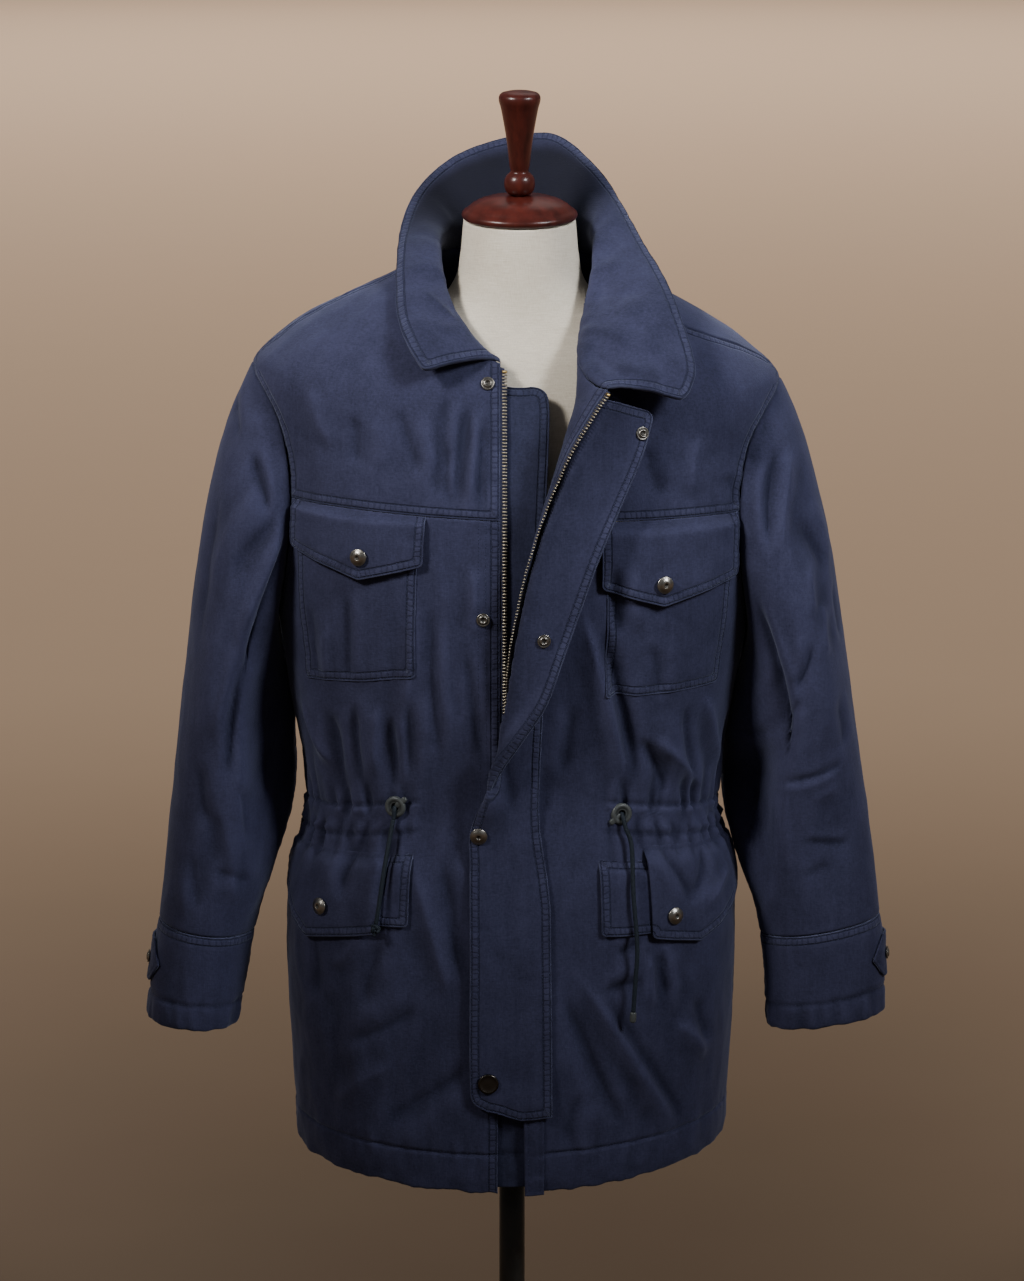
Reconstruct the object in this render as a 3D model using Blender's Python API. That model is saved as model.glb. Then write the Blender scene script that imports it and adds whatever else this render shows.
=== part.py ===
"""Padded field jacket, open at the neck, on a limbless dress form with a pole stand.

Metres, +Z up, -Y toward the viewer. The origin is the middle of the stand base's underside.
"right" and "left" are the wearer's sides: right is x < 0, left is x > 0.
Cloth is a closed wall between an outer and an inner surface worked out from the tables below.
"""

import math

import bmesh
import bpy
from mathutils import Matrix, Vector

MM = 0.001

# Driving sizes
SEAM_GAP = 0.4 * MM
SHELL = 4.0 * MM
COLLAR_WALL = 5.0 * MM
COLLAR_GAP = 0.9 * MM
STORM_WALL = 3.0 * MM
FLAP_WALL = 2.2 * MM
POCKET_WALL = 1.5 * MM
GUARD_WALL = 2.0 * MM
ZIP_WALL = 1.6 * MM
ZIP_WIDTH = 5.0 * MM
LAYER_GAP = 1.1 * MM

HEM_HEIGHT = 0.590
HEM_BAND = 0.034
HEM_TILT = 0.02
SHOULDER_TILT = 0.03
WAIST_HEIGHT = 0.9136
ARMPIT_HEIGHT = 1.100
SHOULDER_TIP_HEIGHT = 1.330
NECK_HEIGHT = 1.436
ARMHOLE_MIDDLE = (ARMPIT_HEIGHT + SHOULDER_TIP_HEIGHT) / 2
ARMHOLE_HALF = (SHOULDER_TIP_HEIGHT - ARMPIT_HEIGHT) / 2
CHEST_SEAM_HEIGHT = ARMHOLE_MIDDLE
FRONT_BITE = math.radians(20)
BACK_BITE = math.radians(19)
SHOULDER_SEAM_FORWARD = math.radians(4)
SHOULDER_SEAM_RUN = 0.03
QUARTER = math.pi / 2

GATHER_COUNT = 40
GATHER_DEPTH = 6.2 * MM
GATHER_FADE = 0.030
GATHER_FREE_FRONT = math.radians(34)

RIGHT_ZIP_EDGE = -0.0105
RIGHT_ZIP_EDGE_HEM = -0.0135

ARM_SEGMENTS = 10
CAP_ROWS = 5
SLEEVE_TOP = 1.000
CUFF_SEAM_DROP = 0.198
CUFF_END_DROP = 0.291


def table(columns, rows):
    """Rows as dictionaries under the column names."""
    names = columns.split()
    return [dict(zip(names, row)) for row in rows]


# Rings of the body: side height, centre-front and centre-back heights, half width, front and
# back depth, squareness of the oval, sideways shift
RINGS = table(
    "height front back half_width front_depth back_depth power shift",
    [
        (0.590, 0.574, 0.580, 0.2080, 0.156, 0.143, 2.3, -0.001),
        (0.640, 0.629, 0.632, 0.2105, 0.156, 0.144, 2.3, -0.001),
        (0.720, 0.715, 0.716, 0.2145, 0.155, 0.144, 2.3, -0.001),
        (0.800, 0.798, 0.798, 0.2160, 0.152, 0.140, 2.3, -0.001),
        (0.860, 0.874, 0.864, 0.2105, 0.147, 0.133, 2.3, 0.000),
        (0.9136, 0.942, 0.922, 0.1955, 0.138, 0.125, 2.3, 0.000),
        (0.965, 0.988, 0.972, 0.1990, 0.141, 0.127, 2.3, 0.000),
        (1.030, 1.040, 1.033, 0.2110, 0.146, 0.133, 2.3, 0.000),
        (1.100, 1.100, 1.100, 0.2215, 0.149, 0.138, 2.3, 0.001),
        (1.160, 1.158, 1.160, 0.2275, 0.148, 0.140, 2.3, 0.002),
        (1.215, 1.210, 1.212, 0.2310, 0.144, 0.139, 2.3, 0.003),
        (1.275, 1.243, 1.262, 0.2370, 0.136, 0.133, 2.25, 0.003),
        (1.330, 1.270, 1.308, 0.2460, 0.126, 0.123, 2.2, 0.004),
        (1.368, 1.291, 1.348, 0.2080, 0.119, 0.111, 2.15, 0.004),
        (1.397, 1.309, 1.384, 0.1580, 0.112, 0.098, 2.1, 0.005),
        (1.418, 1.327, 1.413, 0.1140, 0.105, 0.084, 2.1, 0.005),
        (1.436, 1.345, 1.439, 0.0850, 0.099, 0.071, 2.1, 0.006),
    ],
)

# The left front's inner edge: where it leaves the body's oval, its end at the zip, how far its
# end has turned outward, and how strongly the cloth runs on before it turns
LAPEL = table(
    "height start_deg x y z turn_deg pull",
    [
        (0.590, 14, 0.0120, -0.1560, 0.574, 0, 0.025),
        (0.800, 14, 0.0080, -0.1525, 0.798, 0, 0.025),
        (0.940, 13, 0.0040, -0.1430, 0.940, 4, 0.025),
        (1.000, 13, 0.0010, -0.1480, 1.000, 14, 0.028),
        (1.050, 14, 0.0000, -0.1560, 1.050, 34, 0.034),
        (1.108, 16, 0.0040, -0.1660, 1.108, 62, 0.044),
        (1.190, 21, 0.0210, -0.1680, 1.188, 84, 0.056),
        (1.275, 27, 0.0400, -0.1660, 1.246, 104, 0.070),
        (1.364, 34, 0.0600, -0.1630, 1.290, 124, 0.084),
        (1.436, 45, 0.0860, -0.1540, 1.331, 146, 0.100),
    ],
)

# The storm flap's free edge, the way it points there, and how far the cloth loops out
STORM = table(
    "height x y z end_deg reach",
    [
        (0.6580, -0.0230, -0.1610, 0.6560, 0, 0.030),
        (0.6620, -0.0340, -0.1600, 0.6620, 0, 0.036),
        (0.6740, -0.0390, -0.1600, 0.6740, 0, 0.040),
        (0.8000, -0.0390, -0.1575, 0.8000, 0, 0.040),
        (0.8800, -0.0390, -0.1500, 0.8900, 0, 0.040),
        (0.9250, -0.0370, -0.1490, 0.9270, 20, 0.042),
        (0.9650, -0.0130, -0.1620, 0.9760, 150, 0.056),
        (1.0000, 0.0060, -0.1690, 1.0060, 176, 0.070),
        (1.0500, 0.0310, -0.1720, 1.0450, 182, 0.062),
        (1.1080, 0.0480, -0.1710, 1.0920, 186, 0.050),
        (1.1900, 0.0760, -0.1660, 1.1720, 190, 0.040),
        (1.2750, 0.0980, -0.1530, 1.2240, 196, 0.040),
        (1.3640, 0.1180, -0.1380, 1.2700, 202, 0.040),
        (1.4240, 0.1290, -0.1270, 1.3080, 208, 0.040),
    ],
)

# Soft folds of the body: the two ends as angle round the body and height, width and depth
BODY_FOLDS = table(
    "deg_a height_a deg_b height_b width depth",
    [
        (-68, 0.925, -64, 1.060, 0.014, 3.5 * MM),
        (-52, 0.930, -49, 1.050, 0.013, 3.5 * MM),
        (-28, 0.960, -25, 1.120, 0.016, 2.5 * MM),
        (-14, 1.000, -13, 1.190, 0.016, 2.2 * MM),
        (-34, 0.900, -52, 0.640, 0.022, 4.0 * MM),
        (-70, 0.880, -60, 0.660, 0.024, 4.0 * MM),
        (-18, 0.760, -40, 0.640, 0.020, -3.0 * MM),
        (47, 0.930, 38, 1.080, 0.014, 4.0 * MM),
        (62, 0.930, 50, 1.030, 0.015, 3.5 * MM),
        (36, 0.860, 46, 0.660, 0.022, 4.0 * MM),
        (68, 0.880, 60, 0.650, 0.024, 4.0 * MM),
        (22, 0.840, 30, 0.640, 0.018, -3.0 * MM),
        (120, 0.930, 132, 1.090, 0.018, 4.0 * MM),
        (-122, 0.930, -134, 1.090, 0.018, 4.0 * MM),
        (160, 0.930, 164, 1.060, 0.018, 3.0 * MM),
        (-158, 0.890, -150, 0.680, 0.024, 4.5 * MM),
        (125, 0.890, 130, 0.660, 0.024, 4.5 * MM),
        (170, 0.880, 176, 0.660, 0.026, 4.0 * MM),
    ],
)

# Sleeve sections below the armpit: drop from SLEEVE_TOP, centre away from the body's middle
# plane, centre depth, half sizes, lean of the section
SLEEVES = {
    "right": table(
        "drop out depth half_out half_depth lean_deg",
        [
            (0.000, 0.2660, -0.012, 0.0490, 0.080, 9),
            (0.100, 0.2725, -0.020, 0.0535, 0.068, 8),
            (0.200, 0.2925, -0.029, 0.0450, 0.055, 8),
            (0.300, 0.3090, -0.037, 0.0430, 0.046, 5),
        ],
    ),
    "left": table(
        "drop out depth half_out half_depth lean_deg",
        [
            (0.000, 0.2710, -0.012, 0.0540, 0.077, 10),
            (0.100, 0.2760, -0.020, 0.0630, 0.057, 10),
            (0.200, 0.2950, -0.029, 0.0570, 0.044, 10),
            (0.300, 0.3020, -0.037, 0.0555, 0.036, 8),
        ],
    ),
}
SIGN = {"right": -1, "left": 1}

# Long folds of the sleeves: ends as angle round the sleeve and drop, width and depth
SLEEVE_FOLDS = {
    "right": table(
        "deg_a drop_a deg_b drop_b width depth",
        [
            (118, -0.150, 96, 0.060, 0.016, -5.0 * MM),
            (62, -0.190, 66, 0.020, 0.018, 4.0 * MM),
            (84, 0.060, 74, 0.180, 0.014, -3.0 * MM),
            (140, 0.020, 120, 0.170, 0.014, 3.0 * MM),
            (250, -0.140, 262, 0.060, 0.018, -4.5 * MM),
            (290, 0.020, 280, 0.160, 0.018, 3.5 * MM),
        ],
    ),
    "left": table(
        "deg_a drop_a deg_b drop_b width depth",
        [
            (110, -0.160, 98, 0.040, 0.016, -5.0 * MM),
            (70, -0.180, 58, 0.030, 0.018, 4.0 * MM),
            (60, 0.060, 80, 0.180, 0.015, -3.0 * MM),
            (130, 0.010, 118, 0.160, 0.014, 3.5 * MM),
            (248, -0.130, 264, 0.050, 0.018, -4.5 * MM),
            (295, 0.010, 276, 0.170, 0.018, 3.5 * MM),
        ],
    ),
}

# Collar: place along the neckline, the outer edge there, and how high the cloth arches between
COLLAR = table(
    "place x y z rise bow",
    [
        (0.00, -0.0800, -0.1280, 1.3440, 0.016, 0.010),
        (0.06, -0.0970, -0.1120, 1.3640, 0.020, 0.012),
        (0.14, -0.1040, -0.0780, 1.3880, 0.026, 0.012),
        (0.22, -0.1060, -0.0320, 1.4240, 0.034, 0.008),
        (0.30, -0.1030, 0.0200, 1.4620, 0.040, 0.000),
        (0.38, -0.0860, 0.0640, 1.4960, 0.040, 0.000),
        (0.45, -0.0480, 0.0930, 1.5240, 0.040, 0.000),
        (0.52, 0.0120, 0.1050, 1.5400, 0.040, 0.000),
        (0.58, 0.0480, 0.0990, 1.5370, 0.040, 0.000),
        (0.66, 0.0860, 0.0700, 1.5020, 0.040, 0.000),
        (0.74, 0.1090, 0.0300, 1.4660, 0.036, 0.004),
        (0.82, 0.1330, -0.0250, 1.4300, 0.032, 0.010),
        (0.90, 0.1520, -0.0780, 1.3930, 0.026, 0.014),
        (0.96, 0.1640, -0.1180, 1.3520, 0.022, 0.014),
        (1.00, 0.1580, -0.1380, 1.3270, 0.018, 0.012),
    ],
)
COLLAR_COLUMNS = 22
COLLAR_ROWS = 5

# Body of the dress form
FORM_RINGS = table(
    "height half_width depth",
    [
        (0.715, 0.120, 0.080),
        (0.722, 0.150, 0.102),
        (0.780, 0.166, 0.112),
        (0.860, 0.158, 0.106),
        (0.940, 0.140, 0.096),
        (1.020, 0.146, 0.103),
        (1.100, 0.160, 0.112),
        (1.180, 0.170, 0.114),
        (1.250, 0.176, 0.104),
        (1.310, 0.174, 0.090),
        (1.345, 0.154, 0.078),
        (1.372, 0.112, 0.066),
        (1.392, 0.078, 0.060),
        (1.415, 0.060, 0.057),
        (1.440, 0.0545, 0.0545),
    ],
)
FORM_SIDES = 20
FORM_SHIFT = 0.0070
NECK_RADIUS = 0.0520
NECK_LEAN = math.radians(-6)
NECK_PIVOT = Vector((FORM_SHIFT, 0.0, 1.4690))

# Turned wood, as radius and height above the neck's top
CAP_PROFILE = table(
    "radius rise",
    [(0.0480, 0.0005), (0.0530, 0.0030), (0.0535, 0.0065), (0.0500, 0.0095),
     (0.0420, 0.0155), (0.0280, 0.0205), (0.0150, 0.0225)],
)
FINIAL_PROFILE = table(
    "radius rise",
    [(0.0085, 0.0230), (0.0135, 0.0285), (0.0142, 0.0340), (0.0125, 0.0410), (0.0085, 0.0440),
     (0.0095, 0.0480), (0.0128, 0.0780), (0.0172, 0.1040), (0.0190, 0.1090), (0.0192, 0.1130),
     (0.0160, 0.1165), (0.0070, 0.1190)],
)
BASE_PROFILE = table("radius rise", [(0.170, 0.0), (0.170, 0.018), (0.160, 0.026)])
POLE_RADIUS = 0.0125
POLE_BOTTOM = 0.0264
POLE_TOP = 0.7146

# Snaps: a metal cap, seen on its domed face, or a smaller stud or socket
SNAP_PROFILES = {
    "cap": table("radius rise", [(0.0078, 0.0), (0.0080, 0.0014), (0.0050, 0.0030), (0.0022, 0.0022)]),
    "disc": table("radius rise", [(0.0095, 0.0), (0.0096, 0.0012), (0.0060, 0.0022), (0.0024, 0.0020)]),
    "small": table("radius rise", [(0.0060, 0.0), (0.0062, 0.0012), (0.0040, 0.0026), (0.0016, 0.0018)]),
}
SNAP_SIDES = 8
SNAP_SEAT = 2.0 * MM

# Cloth and hard finishes: colour, roughness, metallic
FINISHES = {
    "navy": ((0.027, 0.034, 0.076), 0.92, 0.0),
    "navy_inside": ((0.024, 0.030, 0.068), 0.94, 0.0),
    "zip_brass": ((0.30, 0.22, 0.12), 0.38, 1.0),
    "pewter": ((0.26, 0.25, 0.23), 0.32, 1.0),
    "cord": ((0.012, 0.022, 0.035), 0.88, 0.0),
    "lock": ((0.020, 0.028, 0.034), 0.50, 0.0),
    "linen": ((0.62, 0.56, 0.47), 0.90, 0.0),
    "mahogany": ((0.090, 0.016, 0.012), 0.28, 0.0),
    "dark_metal": ((0.05, 0.045, 0.042), 0.45, 1.0),
}


def smooth(rows, name, at, key):
    """Value of a column at a place between rows, on a smooth curve through them."""
    last = len(rows) - 1
    i = 0
    while i < last - 1 and at > rows[i + 1][key]:
        i += 1
    span = rows[i + 1][key] - rows[i][key]

    def slope(j):
        before = rows[max(j - 1, 0)]
        after = rows[min(j + 1, last)]
        return (after[name] - before[name]) / (after[key] - before[key])

    t = (at - rows[i][key]) / span
    return hermite(rows[i][name], slope(i) * span, rows[i + 1][name], slope(i + 1) * span, t)


def hermite(start, start_pull, end, end_pull, t):
    """Cubic from start to end with the given end tangents, for numbers or vectors."""
    square = t * t
    cube = square * t
    return (
        start * (2 * cube - 3 * square + 1)
        + start_pull * (cube - 2 * square + t)
        + end * (3 * square - 2 * cube)
        + end_pull * (cube - square)
    )


def ease(value):
    """Smooth step from 0 to 1."""
    value = min(max(value, 0.0), 1.0)
    return value * value * (3 - 2 * value)


def lerp(a, b, t):
    """Straight mix of two values."""
    return a + (b - a) * t


# ---------------------------------------------------------------- surfaces of the body


def body_shape(phi, height):
    """Point of the body's oval, without folds; phi is 0 at the centre front, positive to the left."""
    at = {name: smooth(RINGS, name, height, "height") for name in RINGS[0] if name != "height"}
    s = math.sin(phi)
    c = math.cos(phi)
    depth = at["front_depth"] if c > 0 else at["back_depth"]
    end = at["front"] if c > 0 else at["back"]
    across = abs(s) / at["half_width"]
    along = abs(c) / depth
    radius = (across ** at["power"] + along ** at["power"]) ** (-1 / at["power"])
    x = radius * s + at["shift"]
    tilt = HEM_TILT * x * ease((0.78 - height) / 0.19)
    tilt -= SHOULDER_TILT * x * ease((height - 1.00) / 0.18)
    return Vector((x, -radius * c, height + (end - height) * c * c + tilt))


def body_normal(phi, height):
    """Outward normal of the body's oval."""
    step = 0.002
    around = body_shape(phi + step, height) - body_shape(phi - step, height)
    up = body_shape(phi, height + step) - body_shape(phi, height - step)
    return around.cross(up).normalized()


def armhole_round(height):
    """1 at the armhole's middle height, 0 at and beyond its ends."""
    ratio = (height - ARMHOLE_MIDDLE) / ARMHOLE_HALF
    return max(1 - ratio * ratio, 0.0) ** 0.45


def front_edge_angle(height):
    """Where a front panel ends at the side: side seam, armhole, shoulder seam."""
    over = ease((height - SHOULDER_TIP_HEIGHT) / SHOULDER_SEAM_RUN)
    return QUARTER - FRONT_BITE * armhole_round(height) - SHOULDER_SEAM_FORWARD * over


def back_edge_angle(height):
    """Where the back panel ends at the side."""
    over = ease((height - SHOULDER_TIP_HEIGHT) / SHOULDER_SEAM_RUN)
    return QUARTER + BACK_BITE * armhole_round(height) - SHOULDER_SEAM_FORWARD * over


def fold_depth(u, v, fold_a, fold_b, width, depth):
    """Depth of one soft fold at a place on the flat cloth."""
    along = (fold_b - fold_a)
    place = Vector((u, v)) - fold_a
    t = min(max(place.dot(along) / along.length_squared, 0.0), 1.0)
    away = (place - along * t).length
    ends = ease(min(t, 1 - t) / 0.3)
    return depth * ends * math.exp(-(away / width) ** 2)


def body_relief(phi, height):
    """Gathers at the waist cord, soft folds and the padded hem, as a distance outward."""
    turn = math.atan2(math.sin(phi), math.cos(phi))
    away = abs(height - WAIST_HEIGHT)
    zone = ease((abs(turn) - GATHER_FREE_FRONT) / math.radians(8))
    uneven = 0.72 + 0.28 * math.sin(5.3 * turn + 1.1)
    gathers = GATHER_DEPTH * zone * uneven * math.exp(-(away / GATHER_FADE) ** 2)
    total = gathers * math.cos(GATHER_COUNT * turn)
    total -= 2.0 * MM * math.exp(-(away / 0.010) ** 2) * ease((abs(turn) - 0.2) / 0.3)
    for fold in BODY_FOLDS:
        reach = 0.19
        a = Vector((math.radians(fold["deg_a"]) * reach, fold["height_a"]))
        b = Vector((math.radians(fold["deg_b"]) * reach, fold["height_b"]))
        total += fold_depth(turn * reach, height, a, b, fold["width"], fold["depth"])
    above_hem = height - HEM_HEIGHT
    if above_hem < HEM_BAND + 0.01:
        total += 1.6 * MM * math.sin(math.pi * min(max(above_hem / HEM_BAND, 0.0), 1.0))
        total -= 1.6 * MM * math.exp(-((above_hem - HEM_BAND) / 0.004) ** 2)
    edge = abs(abs(turn) - QUARTER)
    near_armhole = ease(edge / 0.20 + max(0.0, (ARMPIT_HEIGHT - height) / 0.08))
    return total * near_armhole


def body_pair(phi, height, out=0.0, wall=SHELL):
    """Outer and inner point of a wall whose outer face stands out from the body's cloth."""
    base = body_shape(phi, height)
    normal = body_normal(phi, height)
    relief = body_relief(phi, height)
    return base + normal * (relief + out), base + normal * (relief + out - wall)


def body_angle(x, height):
    """Angle round the front at which the body's oval has this x."""
    low = -QUARTER
    high = QUARTER
    for _ in range(30):
        middle = (low + high) / 2
        if body_shape(middle, height).x < x:
            low = middle
        else:
            high = middle
    return (low + high) / 2


# ---------------------------------------------------------------- meshes


def finish(name):
    """Material of one finish, made once."""
    material = bpy.data.materials.get(name)
    if material is None:
        colour, roughness, metallic = FINISHES[name]
        material = bpy.data.materials.new(name)
        material.use_nodes = True
        shader = material.node_tree.nodes["Principled BSDF"]
        shader.inputs["Base Color"].default_value = (*colour, 1.0)
        shader.inputs["Roughness"].default_value = roughness
        shader.inputs["Metallic"].default_value = metallic
        material.diffuse_color = (*colour, 1.0)
    return material


def add_object(name, mesh, finish_name):
    """Scene object with its own copy of a finish."""
    material = finish(finish_name).copy()
    material.name = f"{name}_{finish_name}"
    mesh.materials.append(material)
    made = bpy.data.objects.new(name, mesh)
    bpy.context.scene.collection.objects.link(made)
    return made


def close_mesh(bm, name, finish_name):
    """Object from a closed bmesh, its faces turned outward and shaded smooth."""
    bmesh.ops.recalc_face_normals(bm, faces=bm.faces)
    for face in bm.faces:
        face.smooth = True
    mesh = bpy.data.meshes.new(name)
    bm.to_mesh(mesh)
    bm.free()
    return add_object(name, mesh, finish_name)


def strip(low, high):
    """Triangles between two rows of points that may differ in number, as (row, column) corners."""
    i = 0
    j = 0
    corners = []
    if len(low) == len(high):
        for k in range(len(low) - 1):
            if (low[k] - high[k + 1]).length <= (low[k + 1] - high[k]).length:
                corners += [((0, k), (0, k + 1), (1, k + 1)), ((0, k), (1, k + 1), (1, k))]
            else:
                corners += [((0, k), (0, k + 1), (1, k)), ((0, k + 1), (1, k + 1), (1, k))]
        return corners
    while i < len(low) - 1 or j < len(high) - 1:
        if j == len(high) - 1:
            use_low = True
        elif i == len(low) - 1:
            use_low = False
        else:
            use_low = (low[i + 1] - high[j]).length <= (low[i] - high[j + 1]).length
        if use_low:
            corners.append(((0, i), (0, i + 1), (1, j)))
            i += 1
        else:
            corners.append(((0, i), (1, j + 1), (1, j)))
            j += 1
    return corners


def wall(name, rows, finish_name="navy"):
    """Closed wall from rows of (outer, inner) points."""
    bm = bmesh.new()
    outer = [[bm.verts.new(pair[0]) for pair in row] for row in rows]
    inner = [[bm.verts.new(pair[1]) for pair in row] for row in rows]
    for r in range(len(rows) - 1):
        low = [pair[0] for pair in rows[r]]
        high = [pair[0] for pair in rows[r + 1]]
        for corners in strip(low, high):
            bm.faces.new([outer[r + row][column] for row, column in corners])
            bm.faces.new([inner[r + row][column] for row, column in reversed(corners)])
        for end in (0, -1):
            bm.faces.new((outer[r][end], inner[r][end], inner[r + 1][end], outer[r + 1][end]))
    for r in (0, -1):
        for c in range(len(rows[r]) - 1):
            bm.faces.new((outer[r][c], outer[r][c + 1], inner[r][c + 1], inner[r][c]))
    return close_mesh(bm, name, finish_name)


def loft(name, rings, finish_name):
    """Closed body from rings of points, with a flat end at each side."""
    bm = bmesh.new()
    loops = [[bm.verts.new(point) for point in ring] for ring in rings]
    sides = len(loops[0])
    for low, high in zip(loops, loops[1:]):
        for i in range(sides):
            j = (i + 1) % sides
            bm.faces.new((low[i], low[j], high[j], high[i]))
    bm.faces.new(loops[0])
    bm.faces.new(loops[-1])
    return close_mesh(bm, name, finish_name)


def turned(name, profile, sides, place, finish_name):
    """Body turned about its own Z axis and set in place by a matrix."""
    rings = []
    for row in profile:
        rings.append([
            place @ Vector((
                row["radius"] * math.cos(2 * math.pi * i / sides),
                row["radius"] * math.sin(2 * math.pi * i / sides),
                row["rise"],
            ))
            for i in range(sides)
        ])
    return loft(name, rings, finish_name)


def facing(point, normal):
    """Matrix that sets +Z along a normal at a point."""
    return Matrix.Translation(point) @ normal.to_track_quat("Z", "Y").to_matrix().to_4x4()


# ---------------------------------------------------------------- panels of the body

HEM_ROWS = [0.590, 0.607, 0.6235, 0.630]
SKIRT_ROWS = [0.665, 0.705, 0.750, 0.795, 0.835, 0.862]
GATHER_ROWS = [0.884, 0.900, 0.9136, 0.927, 0.943]
RIB_ROWS = [0.965, 1.000, 1.035, 1.070]
ARM_HEIGHTS = [
    ARMHOLE_MIDDLE - ARMHOLE_HALF * math.cos(math.pi * k / ARM_SEGMENTS)
    for k in range(ARM_SEGMENTS + 1)
]
SHOULDER_ROWS = [1.349, 1.368, 1.383, 1.401, 1.419, NECK_HEIGHT]
GATHER_STEP = math.radians(3)
FRONT_COLUMNS = 8
BACK_COLUMNS = 14
LAPEL_COLUMNS = 5
SEAM_ANGLE = 0.0010


def lower_rows():
    """Heights of the panels below the chest seam."""
    half = ARM_SEGMENTS // 2
    rows = HEM_ROWS + SKIRT_ROWS + GATHER_ROWS + RIB_ROWS + ARM_HEIGHTS[: half + 1]
    rows[-1] -= SEAM_GAP / 2
    return rows


def yoke_rows():
    """Heights of the front yokes."""
    half = ARM_SEGMENTS // 2
    rows = ARM_HEIGHTS[half:] + SHOULDER_ROWS
    rows[0] += SEAM_GAP / 2
    return rows


def angles(start, end, height, coarse):
    """Angles across a panel at one height: a few, or one for each part of a gather."""
    if height in GATHER_ROWS:
        return gather_angles(start, end)
    return [lerp(start, end, i / coarse) for i in range(coarse + 1)]


def gather_angles(start, end):
    """Angles between two ends on the common steps that part each gather."""
    low, high = sorted((start, end))
    first = math.ceil((low + 0.35 * GATHER_STEP) / GATHER_STEP)
    last = math.floor((high - 0.35 * GATHER_STEP) / GATHER_STEP)
    inside = [k * GATHER_STEP for k in range(first, last + 1)]
    return [low] + inside + [high] if start < end else [high] + inside[::-1] + [low]


def right_zip_angle(height):
    """Angle of the right front's edge at the zip."""
    low = ease((0.80 - height) / 0.2)
    return body_angle(lerp(RIGHT_ZIP_EDGE, RIGHT_ZIP_EDGE_HEM, low), height)


def right_front_row(height):
    """Right front from its zip edge to the side."""
    start = right_zip_angle(height)
    end = -front_edge_angle(height) + SEAM_ANGLE
    return [body_pair(phi, height) for phi in angles(start, end, height, FRONT_COLUMNS)]


def lapel_curve(height, t):
    """Left front from where it leaves the oval (t = 0) to its zip edge (t = 1)."""
    at = {name: smooth(LAPEL, name, height, "height") for name in LAPEL[0] if name != "height"}
    start_angle = math.radians(at["start_deg"])
    start = body_pair(start_angle, height)[0]
    toward = body_pair(start_angle - 0.02, height)[0] - start
    turn = math.radians(at["turn_deg"])
    end = Vector((at["x"], at["y"], at["z"]))
    end_pull = Vector((-math.cos(turn), -math.sin(turn), 0.0)) * at["pull"]
    return hermite(start, toward.normalized() * at["pull"], end, end_pull, t)


def lapel_frame(height, t):
    """Point, direction across and outward normal on the left front's edge zone."""
    step = 0.004
    across = (lapel_curve(height, t + step) - lapel_curve(height, t - step)).normalized()
    up = lapel_curve(height + step, t) - lapel_curve(height - step, t)
    return lapel_curve(height, t), across, (-across).cross(up).normalized()


def lapel_pair(height, t, out=0.0, thick=SHELL):
    """Outer and inner point of a wall on the left front's edge zone."""
    point, _, normal = lapel_frame(height, t)
    if t < 0.2:
        start = math.radians(smooth(LAPEL, "start_deg", height, "height"))
        normal = lerp(body_normal(start, height), normal, ease(t / 0.2)).normalized()
    return point + normal * out, point + normal * (out - thick)


def left_front_row(height):
    """Left front from its zip edge to the side."""
    row = [lapel_pair(height, 1 - i / LAPEL_COLUMNS) for i in range(LAPEL_COLUMNS)]
    start = math.radians(smooth(LAPEL, "start_deg", height, "height"))
    end = front_edge_angle(height) - SEAM_ANGLE
    return row + [body_pair(phi, height) for phi in angles(start, end, height, FRONT_COLUMNS - 1)]


def back_row(height):
    """Back panel from the left side round to the right side."""
    edge = back_edge_angle(height) + SEAM_ANGLE
    return [body_pair(phi, height) for phi in angles(edge, 2 * math.pi - edge, height, BACK_COLUMNS)]


def build_body():
    """The five panels of the body."""
    half = ARM_SEGMENTS // 2
    back_heights = lower_rows()[:-1] + ARM_HEIGHTS[half:] + SHOULDER_ROWS
    wall("right_front", [right_front_row(h) for h in lower_rows()])
    wall("right_yoke", [right_front_row(h) for h in yoke_rows()])
    wall("left_front", [left_front_row(h) for h in lower_rows()])
    wall("left_yoke", [left_front_row(h) for h in yoke_rows()])
    wall("back", [back_row(h) for h in back_heights])


# ---------------------------------------------------------------- sleeves and cuffs


def armhole_point(side, psi):
    """Point of the armhole; psi is 0 at the shoulder tip and a quarter turn at the front."""
    height = ARMHOLE_MIDDLE + ARMHOLE_HALF * math.cos(psi)
    angle = front_edge_angle(height) if math.sin(psi) >= 0 else back_edge_angle(height)
    return body_shape(SIGN[side] * angle, height), body_normal(SIGN[side] * angle, height)


def sleeve_section(side, psi, drop):
    """Point of the hanging sleeve at a drop below SLEEVE_TOP."""
    rows = SLEEVES[side]
    at = {name: smooth(rows, name, drop, "drop") for name in rows[0] if name != "drop"}
    lean = math.radians(at["lean_deg"])
    out = at["out"] + at["half_out"] * math.cos(psi) * math.cos(lean)
    rise = at["half_out"] * math.cos(psi) * math.sin(lean)
    depth = at["depth"] - at["half_depth"] * math.sin(psi)
    return Vector((SIGN[side] * out, depth, SLEEVE_TOP - drop + rise))


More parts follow.
